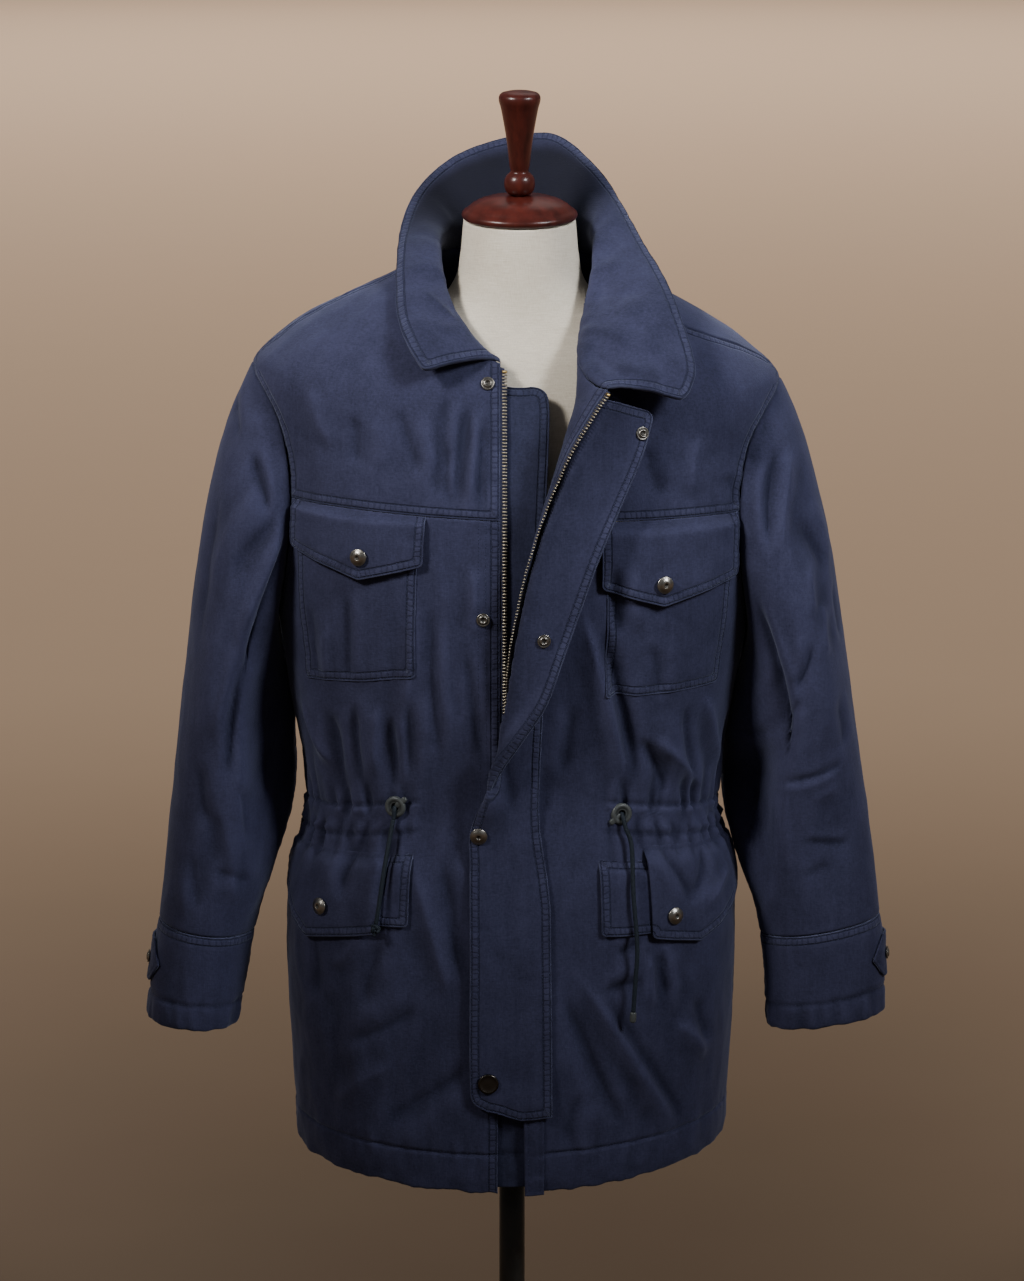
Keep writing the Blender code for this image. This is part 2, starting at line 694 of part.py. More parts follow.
def sleeve_shape(side, psi, run):
    """Point of the sleeve: run is -1 at the armhole, 0 at SLEEVE_TOP, then metres of drop."""
    if run >= 0:
        return sleeve_section(side, psi, run)
    start, _ = armhole_point(side, psi)
    end = sleeve_section(side, psi, 0.0)
    top = (1 + math.cos(psi)) / 2
    sign = SIGN[side]
    leave = Vector((sign * lerp(0.10, 0.50, top), -0.42 * math.sin(psi), -lerp(0.95, 0.85, top)))
    below = sleeve_section(side, psi, 0.02) - end
    reach = (end - start).length
    start = start + leave.normalized() * SEAM_GAP
    return hermite(
        start,
        leave.normalized() * reach * lerp(0.7, 0.8, top),
        end,
        below.normalized() * reach * lerp(0.8, 0.9, top),
        run + 1,
    )


def sleeve_relief(side, psi, run):
    """Long folds of a sleeve, as a distance outward."""
    drop = run if run >= 0 else run * 0.2
    reach = 0.065
    total = 0.0
    turn = psi % (2 * math.pi)
    for fold in SLEEVE_FOLDS[side]:
        a = Vector((math.radians(fold["deg_a"]) * reach, fold["drop_a"]))
        b = Vector((math.radians(fold["deg_b"]) * reach, fold["drop_b"]))
        total += fold_depth(turn * reach, drop, a, b, fold["width"], fold["depth"])
    return total * ease((run + 1) / 0.3)


def sleeve_pair(side, psi, run, out=0.0, thick=SHELL):
    """Outer and inner point of a sleeve wall."""
    step = 0.01
    around = sleeve_shape(side, psi + step, run) - sleeve_shape(side, psi - step, run)
    if -0.02 < run <= 0:
        down = sleeve_shape(side, psi, 0.01) - sleeve_shape(side, psi, 0.0)
    elif run < 0:
        down = sleeve_shape(side, psi, run + step) - sleeve_shape(side, psi, max(run - step, -1.0))
    else:
        down = sleeve_shape(side, psi, run + step) - sleeve_shape(side, psi, run)
    normal = around.cross(down).normalized() * SIGN[side]
    if run < -0.7:
        share = max(math.cos(psi), 0.0) * ease((-0.7 - run) / 0.3)
        normal = lerp(normal, armhole_point(side, psi)[1], share).normalized()
    point = sleeve_shape(side, psi, run)
    relief = sleeve_relief(side, psi, run)
    return point + normal * (relief + out), point + normal * (relief + out - thick)


def tube_row(side, run, out=0.0, thick=SHELL):
    """One row round the sleeve, open by a seam's gap at the underarm."""
    row = []
    count = 2 * ARM_SEGMENTS
    slit = SEAM_GAP / 0.12
    for i in range(count + 1):
        psi = math.pi + 2 * math.pi * i / count
        if i == 0:
            psi += slit
        if i == count:
            psi -= slit
        row.append(sleeve_pair(side, psi, run, out, thick))
    return row


SLEEVE_DROPS = [0.0, 0.034, 0.067, 0.100, 0.134, 0.168, CUFF_SEAM_DROP - SEAM_GAP]
CUFF_BULGE = table(
    "drop out",
    [
        (CUFF_SEAM_DROP, 0.2 * MM),
        (0.210, 1.4 * MM),
        (0.263, 1.0 * MM),
        (0.268, -0.4 * MM),
        (0.275, 1.8 * MM),
        (CUFF_END_DROP, 0.0),
    ],
)
TAB_ROWS = table(
    "drop front_deg",
    [(0.216, 18), (0.222, 27), (0.236, 40), (0.250, 27), (0.256, 18)],
)
TAB_BACK = math.radians(-48)
TAB_COLUMNS = 6


def build_sleeves(side):
    """Sleeve, cuff, tab and its snap on one side."""
    runs = [-1 + k / CAP_ROWS for k in range(CAP_ROWS)] + SLEEVE_DROPS
    wall(f"{side}_sleeve", [tube_row(side, run) for run in runs])
    cuff = [tube_row(side, row["drop"], row["out"]) for row in CUFF_BULGE]
    wall(f"{side}_cuff", cuff)
    rows = []
    for row in TAB_ROWS:
        front = math.radians(row["front_deg"])
        turns = [lerp(TAB_BACK, front, i / TAB_COLUMNS) for i in range(TAB_COLUMNS + 1)]
        out = 1.4 * MM + LAYER_GAP + FLAP_WALL
        rows.append([sleeve_pair(side, psi, row["drop"], out, FLAP_WALL) for psi in turns])
    wall(f"{side}_cuff_tab", rows)
    seat, inner = sleeve_pair(side, math.radians(8), 0.236, 1.4 * MM + LAYER_GAP + FLAP_WALL)
    out_way = (seat - inner).normalized()
    turned(
        f"{side}_cuff_snap",
        SNAP_PROFILES["small"],
        SNAP_SIDES,
        facing(seat + out_way * SEAM_GAP, out_way),
        "pewter",
    )


# ---------------------------------------------------------------- collar


def neckline():
    """Middle points of the body's top edge, from the right zip edge round to the left one."""
    top = SHOULDER_ROWS[-1]
    low = top - 0.004
    stations = []
    start = right_zip_angle(top)
    end = -2 * math.pi + math.radians(smooth(LAPEL, "start_deg", top, "height"))
    count = 60
    for i in range(count + 1):
        phi = lerp(start, end, i / count)
        outer, inner = body_pair(phi, top)
        below = body_pair(phi, low)
        stations.append(neck_station(outer, inner, below))
    for i in range(1, 13):
        outer, inner = lapel_pair(top, i / 12)
        below = lapel_pair(low, i / 12)
        stations.append(neck_station(outer, inner, below))
    return stations


def neck_station(outer, inner, below):
    """Middle of the top edge, the way the cloth runs up there, and its outward normal."""
    up = ((outer + inner) - (below[0] + below[1])).normalized()
    return (outer + inner) / 2, up, (outer - inner).normalized()


def collar_column(stations, lengths, place):
    """Middle line of the collar from the neck seam to its outer edge."""
    want = place * lengths[-1]
    i = 0
    while i < len(lengths) - 2 and lengths[i + 1] < want:
        i += 1
    t = (want - lengths[i]) / (lengths[i + 1] - lengths[i])
    seam = lerp(stations[i][0], stations[i + 1][0], t)
    up = lerp(stations[i][1], stations[i + 1][1], t).normalized()
    normal = lerp(stations[i][2], stations[i + 1][2], t).normalized()
    at = {name: smooth(COLLAR, name, place, "place") for name in COLLAR[0] if name != "place"}
    edge = Vector((at["x"], at["y"], at["z"]))
    base = seam + up * COLLAR_GAP
    first = base + up * at["rise"]
    second = lerp(base, edge, 0.62) + Vector((0.0, 0.0, at["rise"] * 0.4 + at["bow"]))
    line = []
    for r in range(COLLAR_ROWS + 1):
        s = r / COLLAR_ROWS
        one = 1 - s
        point = base * one**3 + first * 3 * one * one * s + second * 3 * one * s * s + edge * s**3
        line.append(point)
    return line, normal


def build_collar():
    """Collar as one padded wall."""
    stations = neckline()
    lengths = [0.0]
    for a, b in zip(stations, stations[1:]):
        lengths.append(lengths[-1] + (b[0] - a[0]).length)
    columns = []
    for c in range(COLLAR_COLUMNS + 1):
        columns.append(collar_column(stations, lengths, c / COLLAR_COLUMNS))
    seam_normals = [normal for _, normal in columns]
    columns = [line for line, _ in columns]
    rows = []
    for r in range(COLLAR_ROWS + 1):
        row = []
        for c in range(COLLAR_COLUMNS + 1):
            ahead = columns[min(c + 1, COLLAR_COLUMNS)][r]
            behind = columns[max(c - 1, 0)][r]
            above = columns[c][min(r + 1, COLLAR_ROWS)]
            below = columns[c][max(r - 1, 0)]
            normal = (above - below).cross(ahead - behind).normalized()
            if r == 0:
                normal = seam_normals[c]
            thin = 0.8 if r in (0, COLLAR_ROWS) else 1.0
            half = normal * COLLAR_WALL * thin / 2
            row.append((columns[c][r] + half, columns[c][r] - half))
        rows.append(row)
    wall("collar", rows)


# ---------------------------------------------------------------- front closure

STORM_ROOT = 0.030
STORM_LEG_COLUMNS = 3
STORM_FREE_COLUMNS = 7
STORM_BOTTOM_LIFT = 2.6 * MM


def storm_lift(height):
    """Gap between the left front and the storm flap: larger over the zip's end at the hem."""
    return SEAM_GAP + LAYER_GAP * 0.6 + STORM_BOTTOM_LIFT * ease((0.70 - height) / 0.03)


def storm_curve(height, s):
    """Middle of the storm flap's wall from the zip edge (s = 0) to its free edge (s = 1)."""
    outer, inner = lapel_pair(height, 1.0, storm_lift(height) + STORM_WALL, STORM_WALL)
    at = {name: smooth(STORM, name, height, "height") for name in STORM[0] if name != "height"}
    way = math.radians(at["end_deg"])
    end_pull = Vector((-math.cos(way), math.sin(way), 0.0)) * at["reach"]
    start_pull = lapel_frame(height, 1.0)[1] * at["reach"]
    end = Vector((at["x"], at["y"], at["z"]))
    return hermite((outer + inner) / 2, start_pull, end, end_pull, s)


def storm_pair(height, s):
    """Outer and inner point of the storm flap beyond the zip edge."""
    step = 0.01
    point = storm_curve(height, s)
    ahead = storm_curve(height, s + step) - storm_curve(height, s - step)
    up = storm_curve(height + step / 2, s) - storm_curve(height - step / 2, s)
    half = (-ahead).cross(up).normalized() * STORM_WALL / 2
    return point + half, point - half


def storm_row(height):
    """Storm flap from its seam on the left front, past the zip edge, to its free edge."""
    run = 0.0
    t = 1.0
    previous = lapel_curve(height, 1.0)
    while run < STORM_ROOT and t > 0.02:
        t -= 0.01
        here = lapel_curve(height, t)
        run += (here - previous).length
        previous = here
    out = storm_lift(height) + STORM_WALL
    row = []
    for i in range(STORM_LEG_COLUMNS):
        row.append(lapel_pair(height, lerp(t, 1.0, i / STORM_LEG_COLUMNS), out, STORM_WALL))
    for i in range(STORM_FREE_COLUMNS + 1):
        row.append(storm_pair(height, i / STORM_FREE_COLUMNS))
    return row


STORM_HEIGHTS = [
    0.6580, 0.6620, 0.6740, 0.7200, 0.7900, 0.8500, 0.8900, 0.9150, 0.9350, 0.9550, 0.9750, 0.9950,
    1.0200, 1.0500, 1.0900, 1.1350, 1.1850, 1.2350, 1.2900, 1.3500, 1.3900, 1.4240,
]


GUARD_BOTTOM = 0.70
GUARD_CORNER = 1.402
GUARD_TOP = 1.419
GUARD = table(
    "height reach",
    [(0.700, 0.026), (1.000, 0.026), (1.180, 0.030), (1.320, 0.033), (1.385, 0.034), (1.402, 0.033),
     (1.419, 0.018)],
)


ZIP_END_ROWS = [0.5880, 0.607, 0.6235, 0.630, 0.6680]
ZIP_END_REACH = 0.30
ZIP_END_WALL = 2.0 * MM


def build_closure():
    """Storm flap, wind guard, zip strips and the zip's end at the hem."""
    wall("storm_flap", [storm_row(h) for h in STORM_HEIGHTS])

    heights = lower_rows()[len(HEM_ROWS):-1] + yoke_rows()
    guard_rows = []
    for height in [h for h in heights if GUARD_BOTTOM < h < GUARD_CORNER] + [GUARD_CORNER, GUARD_TOP]:
        start = body_angle(-0.026, height)
        end = body_angle(smooth(GUARD, "reach", height, "height"), height)
        out = -SHELL - LAYER_GAP
        guard_rows.append([
            body_pair(lerp(start, end, i / 3), height, out, GUARD_WALL) for i in range(4)
        ])
    wall("wind_guard", guard_rows, "navy_inside")

    right_rows = []
    left_rows = []
    for height in heights[:-1] + [heights[-1] - 3 * MM]:
        edge = right_zip_angle(height)
        outer, inner = body_pair(edge, height)
        next_outer, _ = body_pair(edge + 0.01, height)
        across = (next_outer - outer).normalized()
        normal = (outer - inner).normalized()
        right_rows.append(zip_section(outer, across, normal))
        point, across, normal = lapel_frame(height, 1.0)
        left_rows.append(zip_section(point, across, normal))
    wall("right_zip", right_rows, "zip_brass")
    wall("left_zip", left_rows, "zip_brass")

    end_rows = []
    for height in ZIP_END_ROWS:
        turns = [lerp(1.00, ZIP_END_REACH, i / 3) for i in range(4)]
        end_rows.append([
            lapel_pair(height, t, SEAM_GAP + ZIP_END_WALL, ZIP_END_WALL) for t in turns
        ])
    wall("zip_end", end_rows)


def zip_section(edge, across, normal):
    """Across one side of the zip: a narrow strip that runs on from a front's edge."""
    row = []
    for share in (0.0, 1.0):
        point = edge + across * (SEAM_GAP + share * (ZIP_WIDTH - 1.2 * MM)) - normal * 1.2 * MM
        row.append((point, point - normal * ZIP_WALL))
    return row


# ---------------------------------------------------------------- pockets and flaps


def laid_piece(name, side, heights_at, angle_span, columns, rows, out, thick, lift=0.0, step=0.0):
    """Piece on the front: columns between two angles, rows between two heights at each column.

    lift raises the middle of its lower edge, and step raises its edge toward the centre front.
    """
    sign = SIGN[side]
    near, far = angle_span
    if columns:
        turns = [lerp(near, far, c / columns) for c in range(columns + 1)]
    else:
        turns = gather_angles(near, far)
    grid = []
    for r in range(rows + 1):
        v = r / rows
        row = []
        for turn in turns:
            u = (turn - near) / (far - near)
            phi = sign * turn
            top, bottom = heights_at(u)
            height = lerp(bottom, top, v)
            away = out + thick + lift * (1 - v) ** 2 * math.sin(math.pi * min(max(u, 0.04), 0.96))
            away += step * ease(1 - u / 0.3)
            row.append(body_pair(phi, height, away, thick))
        grid.append(row)
    return wall(name, grid)


def pointed(inner_bottom, point_bottom, outer_bottom, point_at, top_inner, top_outer):
    """Top and bottom heights of a flap whose lower edge comes to a point."""

    def heights(u):
        top = lerp(top_inner, top_outer, u)
        if u < point_at:
            bottom = lerp(inner_bottom, point_bottom, u / point_at)
        else:
            bottom = lerp(point_bottom, outer_bottom, (u - point_at) / (1 - point_at))
        return top, bottom

    return heights


CHEST = {
    "right": {"inner": 0.0775, "flap": (1.168, 1.151, 1.172, 0.46), "pocket": (1.061, 1.050)},
    "left": {"inner": 0.0800, "flap": (1.151, 1.134, 1.156, 0.44), "pocket": (1.042, 1.048)},
}


def build_chest(side):
    """Patch pocket, pointed flap and snap on one side of the chest."""
    sizes = CHEST[side]
    sign = SIGN[side]
    inner = abs(body_angle(sign * sizes["inner"], CHEST_SEAM_HEIGHT))
    outer = math.radians(68.5)
    low_inner, low_outer = sizes["pocket"]
    top = CHEST_SEAM_HEIGHT - 6 * MM
    laid_piece(
        f"{side}_chest_pocket", side, lambda u: (top, lerp(low_inner, low_outer, u)),
        (inner + math.radians(2), outer - math.radians(1)), 6, 4, LAYER_GAP, POCKET_WALL,
    )
    inner_bottom, point_bottom, outer_bottom, point_at = sizes["flap"]
    flap_out = 2 * LAYER_GAP + POCKET_WALL
    laid_piece(
        f"{side}_chest_flap", side,
        pointed(inner_bottom, point_bottom, outer_bottom, point_at, CHEST_SEAM_HEIGHT, CHEST_SEAM_HEIGHT),
        (inner, outer), 6, 3, flap_out, FLAP_WALL, 3 * MM,
    )
    phi = sign * lerp(inner, outer, point_at)
    place_snap(f"{side}_chest_snap", phi, point_bottom + 0.021, flap_out + FLAP_WALL + 3 * MM, "cap")


def place_snap(name, phi, height, out, kind):
    """Snap on the front at an angle and height, standing out from the cloth."""
    outer, inner = body_pair(phi, height, out)
    way = (outer - inner).normalized()
    turned(name, SNAP_PROFILES[kind], SNAP_SIDES, facing(outer + way * SEAM_GAP, way), "pewter")


LOWER_GAP = 1.8 * MM
TONGUE_UNDER = math.radians(2)
LOWER = {
    "right": {
        "main": (42, 87, 0.884, 0.882, 0.822, 0.808, 0.820, 0.52),
        "tongue": (-0.093, 0.883, 0.826),
        "snap": (-0.174, 0.836),
    },
    "left": {
        "main": (45, 87, 0.890, 0.893, 0.815, 0.806, 0.834, 0.34),
        "tongue": (0.081, 0.878, 0.819),
        "snap": (0.148, 0.832),
    },
}


def build_lower(side):
    """Lower pocket flap, the piece that shows beside it, and its snap."""
    sizes = LOWER[side]
    start_deg, end_deg, top_in, top_out, low_in, low_point, low_out, point_at = sizes["main"]
    inner = math.radians(start_deg)
    outer = math.radians(end_deg)
    laid_piece(
        f"{side}_lower_flap", side,
        pointed(low_in, low_point, low_out, point_at, top_in, top_out),
        (inner, outer), 0, 4, LOWER_GAP, FLAP_WALL, 3 * MM, LAYER_GAP + FLAP_WALL,
    )
    near, top, low = sizes["tongue"]
    near_angle = abs(body_angle(near, 0.86))
    far_angle = inner + TONGUE_UNDER
    laid_piece(
        f"{side}_lower_tongue", side, lambda u: (top, low),
        (near_angle, far_angle), 0, 3, LOWER_GAP, FLAP_WALL,
    )
    snap_x, snap_height = sizes["snap"]
    phi = body_angle(snap_x, snap_height)
    place_snap(f"{side}_lower_snap", phi, snap_height, LOWER_GAP + FLAP_WALL + 3 * MM, "cap")


# ---------------------------------------------------------------- snaps, cords and locks


def front_place(x, z):
    """Angle and height of the place on the front with this x and z."""
    height = z
    phi = 0.0
    for _ in range(25):
        phi = body_angle(x, height)
        height += z - body_shape(phi, height).z
    return phi, height


STUDS = table("name x z kind", [("stud_upper", -0.0220, 1.330, "small"), ("stud_lower", -0.0260, 1.121, "small")])
STORM_SNAPS = table(
    "name height share face kind",
    [
        ("cap_waist", 0.9160, 0.80, 1, "cap"),
        ("cap_hem", 0.6860, 0.64, 1, "disc"),
        ("socket_upper", 1.3930, 0.84, -1, "small"),
        ("socket_lower", 1.1180, 0.62, -1, "small"),
    ],
)
CORDS = {
    "right": table("x z", [(-0.1065, 0.9275), (-0.1080, 0.915), (-0.1130, 0.880), (-0.1170, 0.850),
                           (-0.1195, 0.8325)]),
    "left": table("x z", [(0.1025, 0.9195), (0.1075, 0.902), (0.1090, 0.860), (0.1115, 0.810),
                          (0.1100, 0.780), (0.1085, 0.7500)]),
}
CORD_RADIUS = 2.1 * MM
CORD_OUT = {"right": 13.5 * MM, "left": 9.5 * MM}
CORD_STEP = 0.010
TOGGLES = table("side x z lug_deg", [("right", -0.1060, 0.940, 40), ("left", 0.1005, 0.933, 215)])
TOGGLE_PROFILE = table(
    "radius rise",
    [(0.0098, 0.0), (0.0102, 0.0014), (0.0088, 0.0034), (0.0052, 0.0038), (0.0034, 0.0026)],
)
TOGGLE_GAP = 0.6 * MM
TOGGLE_SIDES = 14
LUG_LENGTH = 0.0135
LUG_WIDTH = 0.0052
LUG_HEIGHT = 0.0030
CORD_ENDS = {
    "right": table("radius rise", [(0.0022, 0.0), (0.0044, 0.0020), (0.0048, 0.0050), (0.0032, 0.0088),
                                   (0.0016, 0.0100)]),
    "left": table("radius rise", [(0.0024, 0.0), (0.0032, 0.0008), (0.0032, 0.0092), (0.0024, 0.0100)]),
}


def build_studs():
    """Studs on the right front, and caps and sockets on the storm flap."""
    for row in STUDS:
        phi, height = front_place(row["x"], row["z"])
        place_snap(row["name"], phi, height, LAYER_GAP * 0.5, row["kind"])
    for row in STORM_SNAPS:
        outer, inner = storm_pair(row["height"], row["share"])
        if row["face"] < 0:
            outer, inner = inner, outer
        way = (outer - inner).normalized()
        seat = outer + way * SNAP_SEAT
        turned(row["name"], SNAP_PROFILES[row["kind"]], SNAP_SIDES, facing(seat, way), "pewter")


def build_toggle(side, x, z, lug_deg):
    """Cord lock: a low ring with a small lug at its rim."""
    phi, height = front_place(x, z)
    outer, inner = body_pair(phi, height)
    way = (outer - inner).normalized()
    crest = 0.0
    for i in range(TOGGLE_SIDES):
        turn = 2 * math.pi * i / TOGGLE_SIDES
        for reach in (0.5, 1.0):
            beside = reach * TOGGLE_PROFILE[1]["radius"]
            there = front_place(x + beside * math.cos(turn), z + beside * math.sin(turn))
            crest = max(crest, (body_pair(*there)[0] - outer).dot(way))
    place = facing(outer + way * (crest + TOGGLE_GAP), way)
    ring = turned(f"{side}_toggle", TOGGLE_PROFILE, TOGGLE_SIDES, place, "lock")
    bm = bmesh.new()
    bmesh.ops.create_cube(bm, size=1.0)
    shape = Matrix.Translation((LUG_LENGTH * 0.55, 0.0, LUG_HEIGHT / 2 + 0.0002))
    shape = shape @ Matrix.Diagonal((LUG_LENGTH, LUG_WIDTH, LUG_HEIGHT, 1.0))
    turn = Matrix.Rotation(math.radians(lug_deg), 4, "Z")
    bmesh.ops.transform(bm, matrix=place @ turn @ shape, verts=bm.verts)
    lug = close_mesh(bm, f"{side}_toggle_lug", "lock")
    lug.hide_render = True
    lug.display_type = "WIRE"
    join = ring.modifiers.new("lug", "BOOLEAN")
    join.operation = "UNION"
    join.solver = "EXACT"
    join.object = lug


def cord_route(side):
    """Evenly spaced points along a drawcord's free tail."""
    rows = CORDS[side]
    knots = []
    for row in rows:
        phi, height = front_place(row["x"], row["z"])
        knots.append(body_pair(phi, height, CORD_OUT[side])[0])
    dense = []
    for i in range(len(knots) - 1):
        before = knots[max(i - 1, 0)]
        after = knots[min(i + 2, len(knots) - 1)]
        pull_a = (knots[i + 1] - before) / 2
        pull_b = (after - knots[i]) / 2
        for k in range(20):
            dense.append(hermite(knots[i], pull_a, knots[i + 1], pull_b, k / 20))
    dense.append(knots[-1])
    total = sum((b - a).length for a, b in zip(dense, dense[1:]))
    count = max(int(round(total / CORD_STEP)), 2)
    route = [dense[0]]
    run = 0.0
    want = total / count
    for a, b in zip(dense, dense[1:]):
        run += (b - a).length
        if run >= want - 1e-9 and len(route) < count:
            route.append(b.copy())
            want += total / count
    route.append(dense[-1])
    return route


def build_cord(side):
    """Free tail of the waist drawcord and the knot or bar at its end."""
    route = cord_route(side)
    curve = bpy.data.curves.new(f"{side}_cord", "CURVE")
    curve.dimensions = "3D"
    curve.bevel_depth = CORD_RADIUS
    curve.bevel_resolution = 2
    curve.use_fill_caps = True
    spline = curve.splines.new("POLY")
    spline.points.add(len(route) - 1)
    for point, place in zip(spline.points, route):
        point.co = (*place, 1.0)
    add_object(f"{side}_cord", curve, "cord")
    way = (route[-1] - route[-2]).normalized()
    place = facing(route[-1] + way * SEAM_GAP, way)
    turned(f"{side}_cord_end", CORD_ENDS[side], 10, place, "cord")


# ---------------------------------------------------------------- dress form and stand


def build_form():
    """Dress form, its turned neck cap and finial, pole and base."""
    rings = []
    for row in FORM_RINGS:
        ring = []
        for i in range(FORM_SIDES):
            turn = 2 * math.pi * i / FORM_SIDES
            shift = FORM_SHIFT * ease((row["height"] - 1.30) / 0.1)
            ring.append(Vector((
                row["half_width"] * math.sin(turn) + shift,
                -row["depth"] * math.cos(turn),
                row["height"],
            )))
        rings.append(ring)
    neck = Matrix.Translation(NECK_PIVOT) @ Matrix.Rotation(-NECK_LEAN, 4, "X")
    top = []
    for i in range(FORM_SIDES):
        turn = 2 * math.pi * i / FORM_SIDES
        top.append(neck @ Vector((NECK_RADIUS * math.sin(turn), -NECK_RADIUS * math.cos(turn), 0.0)))
    rings.append(top)
    loft("form_torso", rings, "linen")
    turned("form_cap", CAP_PROFILE, 24, neck, "mahogany")
    turned("form_finial", FINIAL_PROFILE, 16, neck, "mahogany")
    pole = table("radius rise", [(POLE_RADIUS, POLE_BOTTOM), (POLE_RADIUS, POLE_TOP)])
    turned("form_pole", pole, 16, Matrix.Identity(4), "dark_metal")
    turned("form_base", BASE_PROFILE, 32, Matrix.Identity(4), "dark_metal")


def main():
    """Build every piece."""
    for old in list(bpy.data.objects):
        bpy.data.objects.remove(old)
    build_body()
    for side in ("right", "left"):
        build_sleeves(side)
        build_chest(side)
        build_lower(side)
    build_collar()
    build_closure()
    build_studs()
    for row in TOGGLES:
        build_toggle(row["side"], row["x"], row["z"], row["lug_deg"])
    for side in ("right", "left"):
        build_cord(side)
    build_form()


main()
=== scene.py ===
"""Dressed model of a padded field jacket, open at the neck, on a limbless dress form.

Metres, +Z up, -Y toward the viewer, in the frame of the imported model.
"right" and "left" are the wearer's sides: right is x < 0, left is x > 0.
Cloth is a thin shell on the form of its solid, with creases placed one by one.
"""

import logging
import math
from dataclasses import dataclass, field
from enum import Enum
from typing import Any, Callable, Iterable, Sequence

import bpy
import numpy as np
from mathutils import Matrix, Vector
from mathutils.kdtree import KDTree


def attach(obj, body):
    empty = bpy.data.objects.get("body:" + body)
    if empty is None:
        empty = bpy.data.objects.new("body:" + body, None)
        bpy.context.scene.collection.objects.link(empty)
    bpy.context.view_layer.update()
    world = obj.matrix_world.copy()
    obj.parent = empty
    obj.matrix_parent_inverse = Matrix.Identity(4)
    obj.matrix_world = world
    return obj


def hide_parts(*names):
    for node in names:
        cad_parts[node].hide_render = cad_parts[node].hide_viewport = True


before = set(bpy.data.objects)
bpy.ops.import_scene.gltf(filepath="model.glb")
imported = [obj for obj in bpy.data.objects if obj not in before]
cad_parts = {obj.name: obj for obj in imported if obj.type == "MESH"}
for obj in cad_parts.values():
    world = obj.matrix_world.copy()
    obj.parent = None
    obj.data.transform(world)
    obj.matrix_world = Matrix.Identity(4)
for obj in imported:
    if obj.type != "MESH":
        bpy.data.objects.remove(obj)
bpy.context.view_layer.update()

LOG = logging.getLogger("field_jacket")
Array = np.ndarray
Pair = tuple[float, float]
Triple = tuple[float, float, float]
# Points, normals and creases of a stretch of cloth
Skin = tuple[Array, Array, Array]
Surface = Callable[[Array, Array], Skin]
MM = 0.001

# ---------------------------------------------------------------- driving sizes

SEAM_GAP = 0.4 * MM
SHELL = 4.0 * MM
COLLAR_WALL = 5.0 * MM
COLLAR_GAP = 0.9 * MM
STORM_WALL = 3.0 * MM
FLAP_WALL = 2.2 * MM
POCKET_WALL = 1.5 * MM
PATCH_WALL = 1.1 * MM
FLAP_LIFT = 3 * MM
TOUCHING = 0.15 * MM
GUARD_WALL = 2.0 * MM
TAPE_WALL = 1.0 * MM
ZIP_WIDTH = 5.0 * MM
TAPE_UNDER = 2.0 * MM
TAPE_SHORT = 1.0 * MM
LAYER_GAP = 1.1 * MM
TAB_OUT = 1.4 * MM + LAYER_GAP + FLAP_WALL
HEM_HEIGHT = 0.590
HEM_BAND = 0.034
HEM_TILT = 0.02
HEM_TILT_FROM = 0.78
HEM_TILT_RUN = 0.19
HEM_PUFF = 0.9 * MM
HEM_GROOVE = 1.5 * MM
HEM_GROOVE_WIDTH = 1.7 * MM
HEM_PUCKER = 1.5 * MM
HEM_WAVE = 1.9 * MM
HEM_LUMPS = 1.3 * MM
SHOULDER_TILT = 0.03
SHOULDER_TILT_FROM = 1.00
SHOULDER_TILT_RUN = 0.18
WAIST_HEIGHT = 0.9136
ARMPIT_HEIGHT = 1.100
SHOULDER_TIP_HEIGHT = 1.330
NECK_HEIGHT = 1.436
ARMHOLE_MIDDLE = (ARMPIT_HEIGHT + SHOULDER_TIP_HEIGHT) / 2
ARMHOLE_HALF = (SHOULDER_TIP_HEIGHT - ARMPIT_HEIGHT) / 2
FRONT_BITE = math.radians(20)
BACK_BITE = math.radians(19)
SHOULDER_SEAM_FORWARD = math.radians(4)
SHOULDER_SEAM_RUN = 0.03
LEFT_SEAM_MORE = math.radians(15)
LEFT_SEAM_FROM = 1.345
LEFT_SEAM_RUN = 0.050
QUARTER = math.pi / 2
SEAM_ANGLE = 0.0010
GATHER_COUNT = 40
GATHER_DEPTH = 6.2 * MM
GATHER_FADE = 0.030
GATHER_FREE_FRONT = math.radians(34)
CASING = (-0.0140, 0.0120)
RIGHT_ZIP_EDGE = -0.0105
RIGHT_ZIP_EDGE_HEM = -0.0135
GUARD_START = -0.026
ZIP_BOTTOM = 0.665
ZIP_TOP = NECK_HEIGHT - 3 * MM
SLEEVE_TOP = 1.000
CUFF_SEAM_DROP = 0.198
CUFF_END_DROP = 0.291
BODY_REACH = 0.19
SLEEVE_REACH = 0.065
SNAP_SIDES = 56
STUD_RISE = 0.45 * MM
SOCKET_RISE = 0.5 * MM
STITCH_PITCH = 3.3 * MM
STITCH_LENGTH = 2.5 * MM
STITCH_RADIUS = 0.26 * MM
FIRST_STITCH = 1.9 * MM
SECOND_STITCH = 8.3 * MM
SINGLE_STITCH = 4.2 * MM
GROOVE_DEPTH = 0.42 * MM
GROOVE_WIDTH = 1.1 * MM
EDGE_ROUND = 0.62
EDGE_DROP = 0.80
HIGHEST_LIE = 1.6 * MM
TICKS = 97
SEWN_REACH = 26 * MM
RIM_LINES = np.array([0.0, 0.5, 1.2, 2.1, 3.2, 4.8, 6.6, 8.8]) * MM
FAR = 1.0
# Numbers kept on each point, and what a point has that is given none
POINT_VALUES = {"band": 1000.0, "run": 0.0, "rim": 1000.0, "hollow": 0.0, "lie": 0.0, "shade": 0.0}


